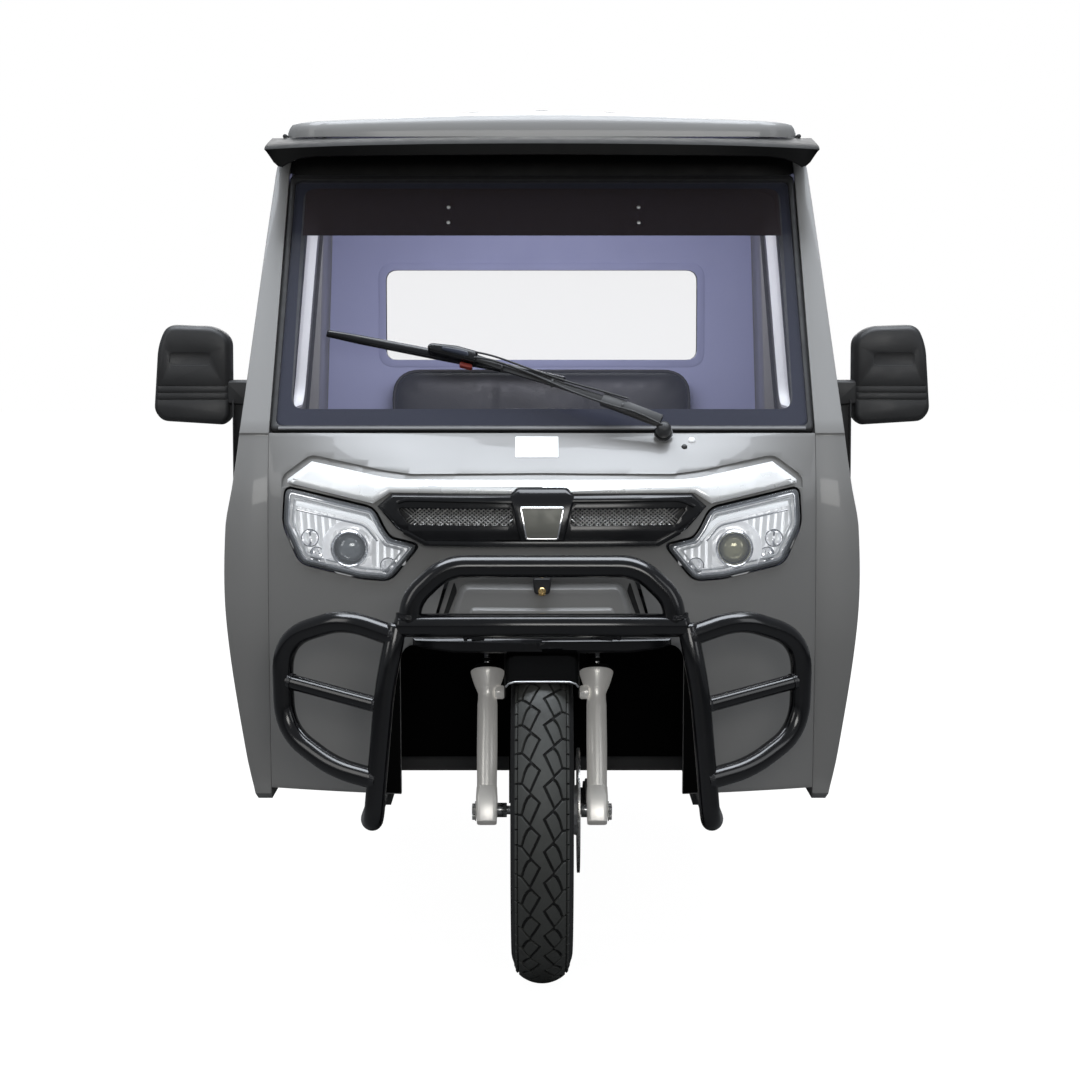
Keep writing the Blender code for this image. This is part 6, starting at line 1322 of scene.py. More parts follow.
def build_wiper():
    """Wiper blade, arm, washer hoses and pivot boot."""
    def ends(points, half):
        return ribbon([Vector(point) for point in points], half)

    tip, end = Vector((-0.382, 0.190)), Vector((0.041, 0.097))
    along = (end - tip).normalized()
    middle = tip + (end - tip) * 0.52
    spine = [tip, tip + along * 0.06, middle, end - along * 0.06, end]
    halves = (0.0062, 0.0082, 0.0094, 0.0078, 0.0045)
    side = Vector((-along.y, along.x))
    upper = [tuple(p + side * h) for p, h in zip(spine, halves)]
    lower = [tuple(p - side * h) for p, h in zip(spine, halves)]
    outline = upper + lower[::-1]
    blade = stepped_plate([(outline, -0.0120), (outline, -0.0170), (grow(outline, -0.0028), -0.0215)])
    add_piece("wiper_blade", on_screen(blade), "trim", "wiper_arm", 0.0010, replaces=["wiper"])
    rubber = plate(ribbon([tip + along * 0.003, end - along * 0.003], 0.0016), "y", -0.0125, -0.0064)
    add_piece("wiper_rubber", on_screen(rubber), "rubber", "wiper_arm")
    cap = [(0.0, -0.0445), (0.0070, -0.0440), (0.0105, -0.0415), (0.0125, -0.0360), (0.0128, -0.0210),
           (0.0110, -0.0190), (0.0, -0.0190)]
    head = turned(cap, "y", (0.212, 0.0, -0.008), 36)
    base = [(0.207, 0.004), (0.150, 0.0285), (0.105, 0.0470)]
    arm_base = plate(ends(base, 0.0110), "y", -0.0435, -0.0325)
    arm = [(0.112, 0.0440), (0.030, 0.0755), (-0.060, 0.1060), (-0.128, 0.1325)]
    arm_rod = plate(ends(arm, 0.0064), "y", -0.0410, -0.0350)
    add_piece("wiper_arm_base", on_screen(join([head, arm_base])), "black", "wiper_arm", 0.0018)
    add_piece("wiper_arm_rod", on_screen(arm_rod), "black", "wiper_arm", 0.0012)
    clamp = rounded([(-0.115, 0.1185), (-0.197, 0.1410), (-0.203, 0.1500), (-0.196, 0.1575),
                     (-0.150, 0.1520), (-0.112, 0.1400)], 0.006, 3)
    shape = stepped_plate([(clamp, -0.0215), (clamp, -0.0400), (grow(clamp, -0.003), -0.0435)])
    add_piece("wiper_adaptor", on_screen(shape), "trim", "wiper_arm", 0.0014)
    cover = rounded([(-0.128, 0.1270), (-0.176, 0.1400), (-0.178, 0.1490), (-0.130, 0.1395)], 0.004, 2)
    shape = stepped_plate([(cover, -0.0420), (cover, -0.0450), (grow(cover, -0.002), -0.0468)])
    add_piece("wiper_adaptor_cover", on_screen(shape), "sheen", "wiper_arm", 0.0010)
    clip = rounded([(-0.146, 0.1170), (-0.124, 0.1110), (-0.122, 0.1180), (-0.144, 0.1240)], 0.002, 2)
    add_piece("wiper_clip", on_screen(plate(clip, "y", -0.0330, -0.0220)), "clip_red", "wiper_arm",
              0.0008)
    hose = [(-0.120, 0.126, -0.0445), (-0.085, 0.119, -0.0455), (-0.020, 0.094, -0.0440),
            (0.045, 0.062, -0.0450),
            (0.110, 0.034, -0.0475), (0.160, 0.018, -0.0470), (0.190, 0.004, -0.0455),
            (0.209, -0.006, -0.0440)]
    hose = [Vector((x, y, h)) for x, h, y in hose]
    add_piece("wiper_hose", on_screen(tube(smooth_path(hose, 6), 0.0021, 12)), "black", "wiper_arm")
    hose = [(-0.118, 0.1380, -0.0425), (-0.080, 0.1270, -0.0440), (-0.010, 0.0990, -0.0440),
            (0.050, 0.0765, -0.0445), (0.112, 0.0570, -0.0450), (0.150, 0.0440, -0.0460)]
    hose = [Vector((x, y, h)) for x, h, y in hose]
    add_piece("wiper_hose_upper", on_screen(tube(smooth_path(hose, 6), 0.0018, 12)), "black", "wiper_arm")
    ties = []
    for x, h in ((0.018, 0.0790), (-0.070, 0.1095), (0.140, 0.0325)):
        ties.append(tube([Vector((x - 0.002, -0.0380, h)), Vector((x + 0.002, -0.0380, h - 0.0008))],
                         0.0078, 16))
    add_piece("wiper_ties", on_screen(join(ties)), "black", "wiper_arm", 0.0005)
    boot = [(0.0, -0.0180), (0.0140, -0.0180), (0.0155, -0.0150), (0.0150, -0.0060), (0.0185, 0.0010),
            (0.0190, 0.0060), (0.0, 0.0060)]
    add_piece("wiper_boot", on_screen(turned(boot, "y", (0.212, 0.0, -0.008), 36)), "rubber", "body")
    ring = [(0.0150, -0.0165), (0.0166, -0.0165), (0.0168, -0.0145), (0.0150, -0.0145)]
    add_piece("wiper_boot_ring", on_screen(turned(ring, "y", (0.212, 0.0, -0.008), 36, True)), "chrome",
              "body")


def build_cowl():
    """Blank label, washer nozzle and cap below the glass."""
    label = rounded([(-0.0465, 0.9270), (0.0285, 0.9270), (0.0285, 0.9615), (-0.0465, 0.9615)], 0.0012, 1)
    add_piece("blank_label", draped(plate(label, "y", -0.0006, -0.0001), 0.006), "label", "body")
    for name, x, z, size, finish_name in (("washer_nozzle", 0.2480, 0.9440, 0.0055, "black"),
                                          ("cowl_cap", 0.2615, 0.9545, 0.0072, "label")):
        place = on_face(x, z)
        knob = [(0.0, 0.0035), (size * 0.55, 0.0030), (size * 0.9, 0.0012), (size, -0.0015), (size, -0.004),
                (0.0, -0.004)]
        shape = turned(knob, "z", (0.0, 0.0, 0.0), 24)
        shape = moved(shape, Matrix.Translation(place) @ Matrix.Rotation(math.radians(55.0), 4, "X"))
        add_piece(name, shape, finish_name, "body")


def build_roof():
    """Roof pressing with its ribs and gutters, and the visor over the screen."""
    low, high = Vector((-ROOF_HALF, FRONT_AXLE.y + 0.275)), Vector((ROOF_HALF, FRONT_AXLE.y + 1.318))
    corners = rounded(rectangle(low, high), 0.095, 8)
    steps = ((0.0, 1.5004), (0.0, ROOF_EDGE), (0.0015, 1.5190), (0.0050, 1.5245), (0.0100, ROOF_TOP))
    shape = stepped_plate([(grow(corners, -inset), height) for inset, height in steps], "z")
    middle = FRONT_AXLE.y + 0.7965

    def crowned(shape):
        """Lifts what lies above the edge to the roof's double curve."""
        sliced(sliced(shape, "x", 0.05), "y", 0.05)
        for vertex in shape.verts:
            x, y, z = vertex.co
            if z > ROOF_EDGE + 0.001:
                over_x = max(1.0 - (x / ROOF_HALF) ** 2, 0.0)
                over_y = max(1.0 - ((y - middle) / ROOF_CROWN_REACH) ** 2, 0.0)
                share = min((z - ROOF_EDGE) / (ROOF_TOP - ROOF_EDGE), 1.0)
                vertex.co.z = z + ROOF_CROWN * over_x * over_y * share
        return shape

    add_piece("roof_skin", crowned(shape), "paint", "body", replaces=["roof"])
    ribs = []
    for x in (-0.270, -0.135, 0.0, 0.135, 0.270):
        rib = rounded(rectangle((x - 0.020, low.y + 0.400), (x + 0.020, high.y - 0.130)), 0.0195, 6)
        ribs.append(stepped_plate([(rib, 1.5257), (grow(rib, -0.003), 1.5300), (grow(rib, -0.008), 1.5326)],
                                  "z"))
    add_piece("roof_ribs", crowned(join(ribs)), "paint", "body")
    gutter = []
    for side in (-1, 1):
        path = [(side * 0.4745, low.y + 0.030, 1.5035), (side * 0.4745, high.y - 0.030, 1.5035)]
        gutter.append(tube(path, 0.0042, 14))
    add_piece("roof_gutters", join(gutter), "rubber", "body")
    bottom = ((0.0, 1.4560), (0.400, 1.4540), (0.440, 1.4500), (0.464, 1.4365), (0.476, 1.4400),
              (0.487, 1.4560), (0.497, 1.4700))
    stations = [0.0, 0.10, 0.20, 0.30, 0.36, 0.40, 0.43, 0.452, 0.464, 0.472, 0.480, 0.487, 0.493, 0.497]
    loops = []
    for x in [-value for value in stations[:0:-1]] + stations:
        reach = abs(x) / 0.5
        front = FRONT_AXLE.y + 0.102 + 0.055 * reach ** 5
        crest = 1.4800 - 0.0075 * reach ** 2
        foot = min(linear(bottom, abs(x)), crest - 0.004)
        back = FRONT_AXLE.y + 0.299
        heel = linear(((0.0, 1.4306), (0.462, 1.4306), (0.480, 1.4700), (0.497, 1.4800)), abs(x))
        section = ((back, 1.4995), (front + 0.060, crest + 0.012), (front + 0.016, crest + 0.0035),
                   (front + 0.004, crest - 0.0010), (front, crest - 0.0040), (front + 0.0015, foot + 0.001),
                   (front + 0.004, foot), (front + 0.008, foot + 0.001),
                   (front + 0.012, max(crest - 0.0080, foot + 0.002)), (front + 0.060, crest + 0.002),
                   (back - 0.018, 1.4880), (back - 0.018, heel), (back, heel))
        loops.append([Vector((x, y, z)) for y, z in section])
    add_piece("visor_shell", loft(loops), "visor", "body", replaces=["roof_visor"])


def build_mirrors():
    """Outside mirrors on their brackets."""
    outline = ((0.683, 1.1570), (0.594, 1.1540), (0.566, 1.1330), (0.566, 0.988), (0.579, 0.974),
               (0.692, 0.981), (0.707, 1.000), (0.699, 1.118))
    front, back = FRONT_AXLE.y + 0.190, FRONT_AXLE.y + 0.250
    for name, side in SIDES:
        def ring(inset):
            return rounded(grow(outline, -inset), max(0.024 - inset * 0.6, 0.006), 6)

        shape = stepped_plate([(ring(0.001), back), (ring(0.0), front + 0.030),
                               (ring(0.0008), front + 0.014),
                               (ring(0.0028), front + 0.006), (ring(0.0062), front + 0.0018),
                               (ring(0.0110), front)])
        tools = []
        for number in range(3):
            z = 1.0460 - 0.0125 * number
            tools.append(box((0.540, 0.7045), (front - 0.01, front + 0.0026), (z - 0.0011, z + 0.0011)))
        recess = rounded(rectangle((0.602, 1.0830), (0.676, 1.1060)), 0.007, 4)
        tools.append(plate(recess, "y", front - 0.01, front + 0.0022))
        tools.append(plate(ring(0.0075), "y", back - 0.006, back + 0.01))
        shape = boolean(shape, tools)
        arm = rounded([(0.5300, 1.0560), (0.5760, 1.0560), (0.5760, 1.0120), (0.5300, 1.0080)], 0.006, 3)
        arm = stepped_plate([(arm, back - 0.006), (arm, front + 0.010), (grow(arm, -0.004), front + 0.004)])
        neck = rounded([(0.5290, 0.8690), (0.5620, 0.8690), (0.5620, 1.0300), (0.5400, 1.0560),
                        (0.5290, 1.0560)],
                       0.004, 2)
        rim = [(0.5290, 0.8690), (0.5620, 0.8690), (0.5620, 1.0200), (0.5595, 1.0200), (0.5595, 0.8715),
               (0.5290, 0.8715)]
        neck = join([stepped_plate([(neck, front + 0.012), (neck, front + 0.009)]),
                     plate(rim, "y", front + 0.012, front - 0.004)])
        for shift in (0.890, 0.925):
            bolt = [(0.0, 0.0), (0.0062, 0.0), (0.0062, -0.0030), (0.0045, -0.0050), (0.0, -0.0052)]
            neck = join([neck, turned(bolt, "y", (0.5455, front + 0.009, shift), 6)])
        clip = rounded([(0.5420, 0.8695), (0.5560, 0.8695), (0.5560, 0.8790), (0.5520, 0.8830),
                        (0.5420, 0.8830)],
                       0.0015, 2)
        clip = plate(clip, "y", front - 0.003, front + 0.0085)
        glass_plate = plate(ring(0.0085), "y", back - 0.0055, back - 0.0030)
        pieces = (("mirror_shell", shape, "black", "black", 0.0012, ["mirror_" + name]),
                  ("mirror_arm", arm, "black", "black", 0.0020, ()),
                  ("mirror_bracket", neck, "black", "black", 0.0012, ()),
                  ("mirror_clip", clip, "black", "black", 0.0012, ()),
                  ("mirror_glass", glass_plate, "chrome", "glass", 0.0, ()))
        for piece, made, finish_name, slot, width, replaced in pieces:
            add_piece("%s_%s" % (piece, name), on_side(made, side), finish_name, "body", width,
                      replaces=replaced)


# Interior


def pad_shape(size, corner, crown, seams):
    """Upholstered pad, flat at z = 0 below, with a crowned top that dips along its seams."""
    half_x, half_y, height = size
    shape = bmesh.new()
    columns, rows = 60, 36
    grid = []
    for row in range(rows + 1):
        line = []
        for column in range(columns + 1):
            u, v = column / columns * 2.0 - 1.0, row / rows * 2.0 - 1.0
            x, y = u * half_x, v * half_y
            over_x, over_y = abs(x) - (half_x - corner), abs(y) - (half_y - corner)
            if over_x > 0.0 and over_y > 0.0:
                reach = math.hypot(over_x, over_y)
                ratio = max(over_x, over_y) / max(reach, 1e-6)
                x = math.copysign(half_x - corner + over_x * ratio, x)
                y = math.copysign(half_y - corner + over_y * ratio, y)
            line.append((x, y, u, v))
        grid.append(line)
    tops = []
    for line in grid:
        made = []
        for x, y, u, v in line:
            edge = (1.0 - u ** 8) * (1.0 - v ** 8)
            rise = height - crown + crown * (1.0 - u ** 4) * (1.0 - v ** 4)
            rise -= 0.018 * (1.0 - edge) ** 2
            for axis, place, depth in seams:
                gap = (x if axis == "x" else y) - place
                rise -= depth * math.exp(-(gap / 0.0075) ** 2) * edge
            rise += 0.0008 * math.sin(41.0 * x + 7.0) * math.sin(37.0 * y) * edge
            made.append(shape.verts.new((x, y, rise)))
        tops.append(made)
    lows = [[shape.verts.new((x, y, 0.0)) for x, y, u, v in line] for line in grid]
    for row in range(rows):
        for column in range(columns):
            shape.faces.new([tops[row][column], tops[row][column + 1], tops[row + 1][column + 1],
                             tops[row + 1][column]])
            shape.faces.new([lows[row][column], lows[row + 1][column], lows[row + 1][column + 1],
                             lows[row][column + 1]])
    rim = [(0, column) for column in range(columns)] + [(row, columns) for row in range(rows)]
    rim += [(rows, column) for column in range(columns, 0, -1)] + [(row, 0) for row in range(rows, 0, -1)]
    belt = []
    for row, column in rim:
        top = tops[row][column].co
        belt.append([shape.verts.new((top.x * (1.0 + bulge / half_x), top.y * (1.0 + bulge / half_y),
                                      top.z * share))
                     for share, bulge in ((0.75, 0.004), (0.40, 0.005))])
    count = len(rim)
    for index in range(count):
        follow = (index + 1) % count
        (row, column), (row_after, column_after) = rim[index], rim[follow]
        chain = [tops[row][column], *belt[index], lows[row][column]]
        after = [tops[row_after][column_after], *belt[follow], lows[row_after][column_after]]
        for step in range(3):
            shape.faces.new([chain[step], chain[step + 1], after[step + 1], after[step]])
    bmesh.ops.recalc_face_normals(shape, faces=shape.faces)
    return shape


def piping(size, corner, height):
    """Closed bead round a pad's edge."""
    outline = rounded(rectangle((-size[0], -size[1]), (size[0], size[1])), corner, 8)
    ring = [Vector((x, y, height)) for x, y in outline]
    return tube(ring + ring[:2], 0.0036, 12, False)


def build_seat():
    """Cushion and backrest with their piping, and the seat box's panels."""
    middle = (-0.440 - 0.060) / 2
    size = (0.3235, 0.1840, 0.1090)
    cushion = pad_shape(size, 0.055, 0.016,
                        (("x", -0.112, 0.007), ("x", 0.112, 0.007), ("y", 0.090, 0.005)))
    cushion = moved(cushion, Matrix.Translation((0.0, middle, 0.6105)))
    item = add_piece("seat_pad", cushion, "seat", "body", replaces=["seat_cushion"], angle=60.0)
    bead = moved(piping((0.3255, 0.1860), 0.055, 0.0), Matrix.Translation((0.0, middle, 0.6930)))
    add_piece("seat_piping", bead, "rubber", "body")
    turn = Matrix.Translation((0.0, 0.0290, 0.8952)) @ Matrix.Rotation(math.radians(90.0), 4, "X")
    size = (0.3235, 0.1590, 0.0780)
    rest = pad_shape(size, 0.060, 0.014, (("x", -0.112, 0.006), ("x", 0.112, 0.006), ("y", -0.060, 0.005)))
    item = add_piece("backrest_pad", moved(rest, turn), "seat", "body", replaces=["seat_backrest"],
                     angle=60.0)
    bead = moved(piping((0.3255, 0.1610), 0.060, 0.0560), turn)
    add_piece("backrest_piping", bead, "rubber", "body")
    soften_node("seat_box", 0.006)
    plinth = []
    for side in (-1, 1):
        outline = rounded(rectangle((side * 0.165 - 0.120, 0.430), (side * 0.165 + 0.120, 0.570)), 0.018, 4)
        plinth.append(stepped_plate([(outline, -0.4285), (outline, -0.4325),
                                     (grow(outline, -0.004), -0.4345)]))
    add_piece("seat_box_panels", join(plinth), "black", "body")


def build_controls():
    """Handlebar, grips, levers, switches and instrument pod."""
    bar = STEM_TOP - 0.010
    half = [(0.296, 0.146, bar + 0.1175), (0.170, 0.104, bar + 0.108), (0.115, 0.046, bar)]
    path = half + [(-x, y, z) for x, y, z in half[::-1]]
    add_piece("handlebar_tube", in_frame(tube(bend(path, 0.030, 10), 0.0112, 26)), "frame", "steering",
              replaces=["handlebar"])
    clamp = [(0.0155, STEM_TOP - 0.050), (0.0268, STEM_TOP - 0.050), (0.0268, STEM_TOP - 0.006),
             (0.0240, STEM_TOP - 0.004), (0.0155, STEM_TOP - 0.004)]
    shapes = [turned(clamp, "z", (0.0, 0.0, 0.0), 36, True)]
    bridge = rounded([(0.020, STEM_TOP - 0.043), (0.046, STEM_TOP - 0.043), (0.0645, STEM_TOP - 0.024),
                      (0.0645, STEM_TOP + 0.002), (0.020, STEM_TOP + 0.0004)], 0.006, 3)
    shapes.append(plate(bridge, "x", -0.024, 0.024))
    add_piece("handlebar_clamp", in_frame(join(shapes)), "frame", "steering", 0.0015)
    bolts = []
    for x in (-0.015, 0.015):
        head = [(0.0, 0.0), (0.0058, 0.0), (0.0058, 0.0050), (0.0045, 0.0060), (0.0, 0.0060)]
        bolts.append(turned([(r, STEM_TOP + 0.001 + along) for r, along in head], "z", (x, 0.036, 0.0), 18))
    add_piece("handlebar_bolts", in_frame(join(bolts)), "steel", "steering", 0.0004)
    for name, side in SIDES:
        end = Vector((side * 0.3150, 0.1530, bar + 0.1188))
        start = Vector((side * 0.1970, 0.1175, bar + 0.1108))
        along = (end - start).normalized()
        rings = [tube([start, end], 0.0150, 30)]
        for number in range(13):
            place = start + along * (0.014 + 0.0075 * number)
            rings.append(tube([place, place + along * 0.0042], 0.0166, 30, False))
        rings.append(tube([start, start + along * 0.004], 0.0205, 30, False))
        add_piece("grip_" + name, in_frame(join(rings)), "rubber", "steering", 0.0006)
        lever = [(side * 0.180, 0.104, bar + 0.108), (side * 0.196, 0.072, bar + 0.111),
                 (side * 0.250, 0.078, bar + 0.113), (side * 0.294, 0.098, bar + 0.114)]
        add_piece("lever_" + name, in_frame(tube(bend(lever, 0.014, 5), 0.0060, 18)), "silver", "steering")
        block = rounded(rectangle((side * 0.172 - 0.019, 0.088), (side * 0.172 + 0.019, 0.122)), 0.008, 4)
        block = stepped_plate([(grow(block, -0.003), bar + 0.090), (block, bar + 0.094),
                               (block, bar + 0.122), (grow(block, -0.004), bar + 0.126)], "z")
        add_piece("switch_box_" + name, in_frame(block), "black", "steering", 0.0010)
        buttons = []
        for shift in (-0.008, 0.008):
            button = [(0.0, 0.0), (0.0052, 0.0), (0.0052, 0.0040), (0.0042, 0.0052), (0.0, 0.0054)]
            buttons.append(turned([(r, bar + 0.1250 + a) for r, a in button], "z",
                                  (side * 0.172 + shift, 0.104, 0.0), 20))
        add_piece("switch_buttons_" + name, in_frame(join(buttons)), "clip_red" if side > 0 else "steel",
                  "steering", 0.0003)
    base = bar + 0.0125
    outline = [(0.006, base), (0.058, base), (0.050, base + 0.085), (-0.012, base + 0.085),
               (-0.022, base + 0.040)]
    pod = plate(rounded(outline, 0.012, 6), "x", -0.072, 0.072)
    add_piece("pod_shell", in_frame(pod), "black", "steering", 0.0070, replaces=["instrument_pod"],
              segments=3)
    low, high = Vector((0.0578, base + 0.010)), Vector((0.0508, base + 0.076))
    away = Vector((high.y - low.y, low.x - high.x)).normalized()
    face = [tuple(low), tuple(high), tuple(high + away * 0.0016), tuple(low + away * 0.0016)]
    add_piece("pod_display", in_frame(plate(face, "x", -0.056, 0.056)), "display", "steering",
              0.0006)
    rim_outer = rounded(rectangle((-0.061, base + 0.006), (0.061, base + 0.080)), 0.010, 5)
    rim = boolean(plate(rim_outer, "y", -0.001, 0.0026), [plate(grow(rim_outer, -0.005), "y", -0.1, 0.1)])
    for vertex in rim.verts:
        vertex.co.y += 0.0587 + (vertex.co.z - base) * -0.094
    add_piece("pod_rim", in_frame(rim), "trim", "steering", 0.0008)


def build_inside():
    """Floor mat, dashboard trays, and the rear wall inside and out."""
    soften_node("dashboard", 0.006)
    soften_node("cab_floor", 0.003)
    mat = rounded(rectangle((-0.435, -0.785), (0.435, -0.450)), 0.030, 5)
    top = 0.3825
    low = max(vertex[2] for vertex in [NODES["cab_floor"].matrix_world @ Vector(corner)
                                       for corner in NODES["cab_floor"].bound_box] if vertex[2] < 0.5)
    shapes = [stepped_plate([(mat, low), (mat, top + 0.0035), (grow(mat, -0.003), top + 0.0050)], "z")]
    for number in range(14):
        y = -0.765 + number * 0.0225
        rib = rectangle((-0.420, y), (0.420, y + 0.010))
        shapes.append(stepped_plate([(rib, top + 0.004), (grow(rib, -0.002), top + 0.0075)], "z"))
    add_piece("floor_mat", join(shapes), "mat", "body")
    tray = rounded([(0.012, 0.060), (0.190, 0.060), (0.190, 0.120), (0.012, 0.120)], 0.008, 3)
    tray = [(x, FRONT_AXLE.y + y) for x, y in tray]
    shapes = [stepped_plate([(tray, 0.9285), (tray, 0.9335), (grow(tray, -0.003), 0.9350)], "z")]
    shapes.append(moved(shapes[0].copy(), MIRROR_X))
    add_piece("dashboard_trays", join(shapes), "black", "body")
    outer = rounded(rectangle((-0.362, 1.064), (0.362, 1.295)), 0.035, 6)
    hole = rounded(rectangle((-0.346, 1.080), (0.346, 1.279)), 0.024, 6)
    ring = boolean(stepped_plate([(outer, 0.0610), (outer, 0.0640), (grow(outer, -0.003), 0.0660)]),
                   [plate(hole, "y", -1.0, 1.0)])
    add_piece("rear_window_seal", ring, "rubber", "body")
    # Surround and lining inside the rear wall are blue-violet: painted sky reflection.
    inside = boolean(stepped_plate([(grow(outer, -0.003), 0.0262), (outer, 0.0275), (outer, 0.0300)]),
                     [plate(hole, "y", -1.0, 1.0)])
    add_piece("rear_window_surround", inside, "painted_light_lining", "body")
    half_lining = [(linear(INNER_TABLE, z) - 0.0015, z) for z in (0.384, 0.967, 1.443, 1.498)]
    painted_light_lining = boolean(plate(mirrored(half_lining) + half_lining[::-1], "y", 0.0284, 0.0299),
                     [plate(rounded(rectangle((-0.350, 1.076), (0.350, 1.283)), 0.028, 6), "y", -1.0, 1.0)])
    add_piece("rear_wall_lining", painted_light_lining, "painted_light_lining", "body")
    wall = [(side_x(z) + 0.0005, z) for z in [0.362 + 0.0569 * step for step in range(21)]]
    wall += mirrored(wall[::-1])
    hole = rounded(rectangle((-0.352, 1.074), (0.352, 1.285)), 0.030, 6)
    skin = boolean(stepped_plate([(grow(wall, -0.001), 0.0575), (grow(wall, -0.001), 0.0604),
                                  (grow(wall, -0.003), 0.0612)]),
                   [plate(hole, "y", -1.0, 1.0)])
    add_piece("rear_wall_skin", skin, "paint", "body")
    presses = []
    for x in (-0.225, 0.225):
        press = rounded(rectangle((x - 0.170, 0.560), (x + 0.170, 1.010)), 0.030, 5)
        presses.append(stepped_plate([(press, 0.0600), (press, 0.0625), (grow(press, -0.006), 0.0650)]))
    add_piece("rear_wall_presses", join(presses), "paint", "body")


# Back

BED_BACK = 1.520
BED_FRONT_Y = 0.100
BED_HALF = 0.525
BED_LENGTH = 1.420


def pressing(low, high, face, out, axis):
    """Raised panel between two corners, on a sheet's face, towards +1 or -1 along the axis."""
    press = rounded(rectangle(low, high), 0.018, 4)
    inner = rounded(grow(rectangle(low, high), -0.008), 0.012, 4)
    return stepped_plate([(press, face - out * 0.001), (press, face + out * 0.001),
                          (inner, face + out * 0.0055)], axis)


def build_bed():
    """Checker deck, pressed sides, rope hooks and reflectors of the cargo bed."""
    soften_node("cargo_bed", 0.0030)
    deck = rectangle((-0.4985, BED_FRONT_Y + 0.027), (0.4985, BED_BACK - 0.028))
    bars = [plate(deck, "z", 0.6004, 0.6022)]
    rows, columns = 34, 25
    for row in range(rows):
        for column in range(columns):
            x = -0.480 + column * 0.040 + (0.020 if row % 2 else 0.0)
            y = BED_FRONT_Y + 0.050 + row * 0.0395
            if abs(x) > 0.486:
                continue
            turn = math.radians(45.0 if (row + column) % 2 else -45.0)
            length, width = 0.013, 0.0035
            cell = [(length, 0.0), (0.0, width), (-length, 0.0), (0.0, -width)]
            cell = [(x + a * math.cos(turn) - b * math.sin(turn),
                     y + a * math.sin(turn) + b * math.cos(turn))
                    for a, b in cell]
            bars.append(plate(cell, "z", 0.6020, 0.6034))
    add_piece("bed_deck", join(bars), "deck", "body")
    for name, side in SIDES:
        panels = []
        pitch = (BED_LENGTH - 0.080) / 4
        for number in range(4):
            low = BED_FRONT_Y + 0.030 + number * pitch + 0.050
            high = low + pitch - 0.070
            panels.append(pressing((low, 0.640), (high, 0.850), side * BED_HALF, side, "x"))
        add_piece("bed_side_presses_" + name, join(panels), "paint", "body", 0.0012)
        hooks = []
        for number in range(5):
            y = BED_FRONT_Y + 0.045 + number * pitch + 0.120
            if number == 4:
                y = BED_BACK - 0.110
            hook = [(side * (BED_HALF + 0.001), y - 0.020, 0.628),
                    (side * (BED_HALF + 0.0085), y - 0.020, 0.614),
                    (side * (BED_HALF + 0.0085), y + 0.020, 0.614),
                    (side * (BED_HALF + 0.001), y + 0.020, 0.628)]
            hooks.append(tube(bend(hook, 0.008, 4), 0.0030, 12))
        add_piece("bed_rope_hooks_" + name, join(hooks), "frame", "body")
        reflector = rounded(rectangle((0.690, 0.560), (0.760, 0.585)), 0.004, 3)
        reflector = stepped_plate([(reflector, side * (BED_HALF - 0.001)),
                                   (grow(reflector, -0.001), side * 0.5285)], "x")
        add_piece("side_reflector_" + name, moved(reflector, Matrix.Translation((0.0, 0.0, 0.024))),
                  "amber_lens", "body", 0.0006)


def build_tailgate():
    """Pressings, latches and keepers of the tailgate."""
    soften_node("tailgate", 0.0025)
    half = 0.494
    presses = []
    pitch = (2 * half - 0.050) / 4
    for number in range(4):
        low = -half + 0.010 + number * pitch + 0.046
        presses.append(pressing((low, 0.630), (low + pitch - 0.062, 0.860), BED_BACK, 1, "y"))
    add_piece("gate_presses", join(presses), "paint", "gate", 0.0012)
    pieces = []
    for side in (-1, 1):
        plate_outline = rounded(rectangle((side * 0.474 - 0.016, 0.820), (side * 0.474 + 0.016, 0.880)),
                                0.005, 3)
        pieces.append(stepped_plate([(plate_outline, BED_BACK - 0.001),
                                     (plate_outline, BED_BACK + 0.0115)]))
        pieces.append(tube([(side * 0.462, BED_BACK + 0.0135, 0.850),
                            (side * 0.4915, BED_BACK + 0.0135, 0.850)],
                           0.0048, 20))
        grip = [(side * 0.466, BED_BACK + 0.0135, 0.850), (side * 0.466, BED_BACK + 0.0165, 0.826)]
        pieces.append(tube(grip, 0.0032, 14))
    add_piece("gate_latches", join(pieces), "frame", "gate", 0.0008)
    for name, side in SIDES:
        keeper = [(side * 0.500, 0.835), (side * 0.5235, 0.835), (side * 0.5235, 0.865),
                  (side * 0.500, 0.865)]
        eye = [(side * 0.508, BED_BACK + 0.0045, 0.8400), (side * 0.508, BED_BACK + 0.0165, 0.8405),
               (side * 0.508, BED_BACK + 0.0165, 0.8595), (side * 0.508, BED_BACK + 0.0045, 0.8600)]
        keeper = join([plate(keeper, "y", BED_BACK - 0.001, BED_BACK + 0.0060),
                       tube(bend(eye, 0.005, 4), 0.0024, 12)])
        add_piece("gate_keeper_" + name, keeper, "frame", "body", 0.0008)


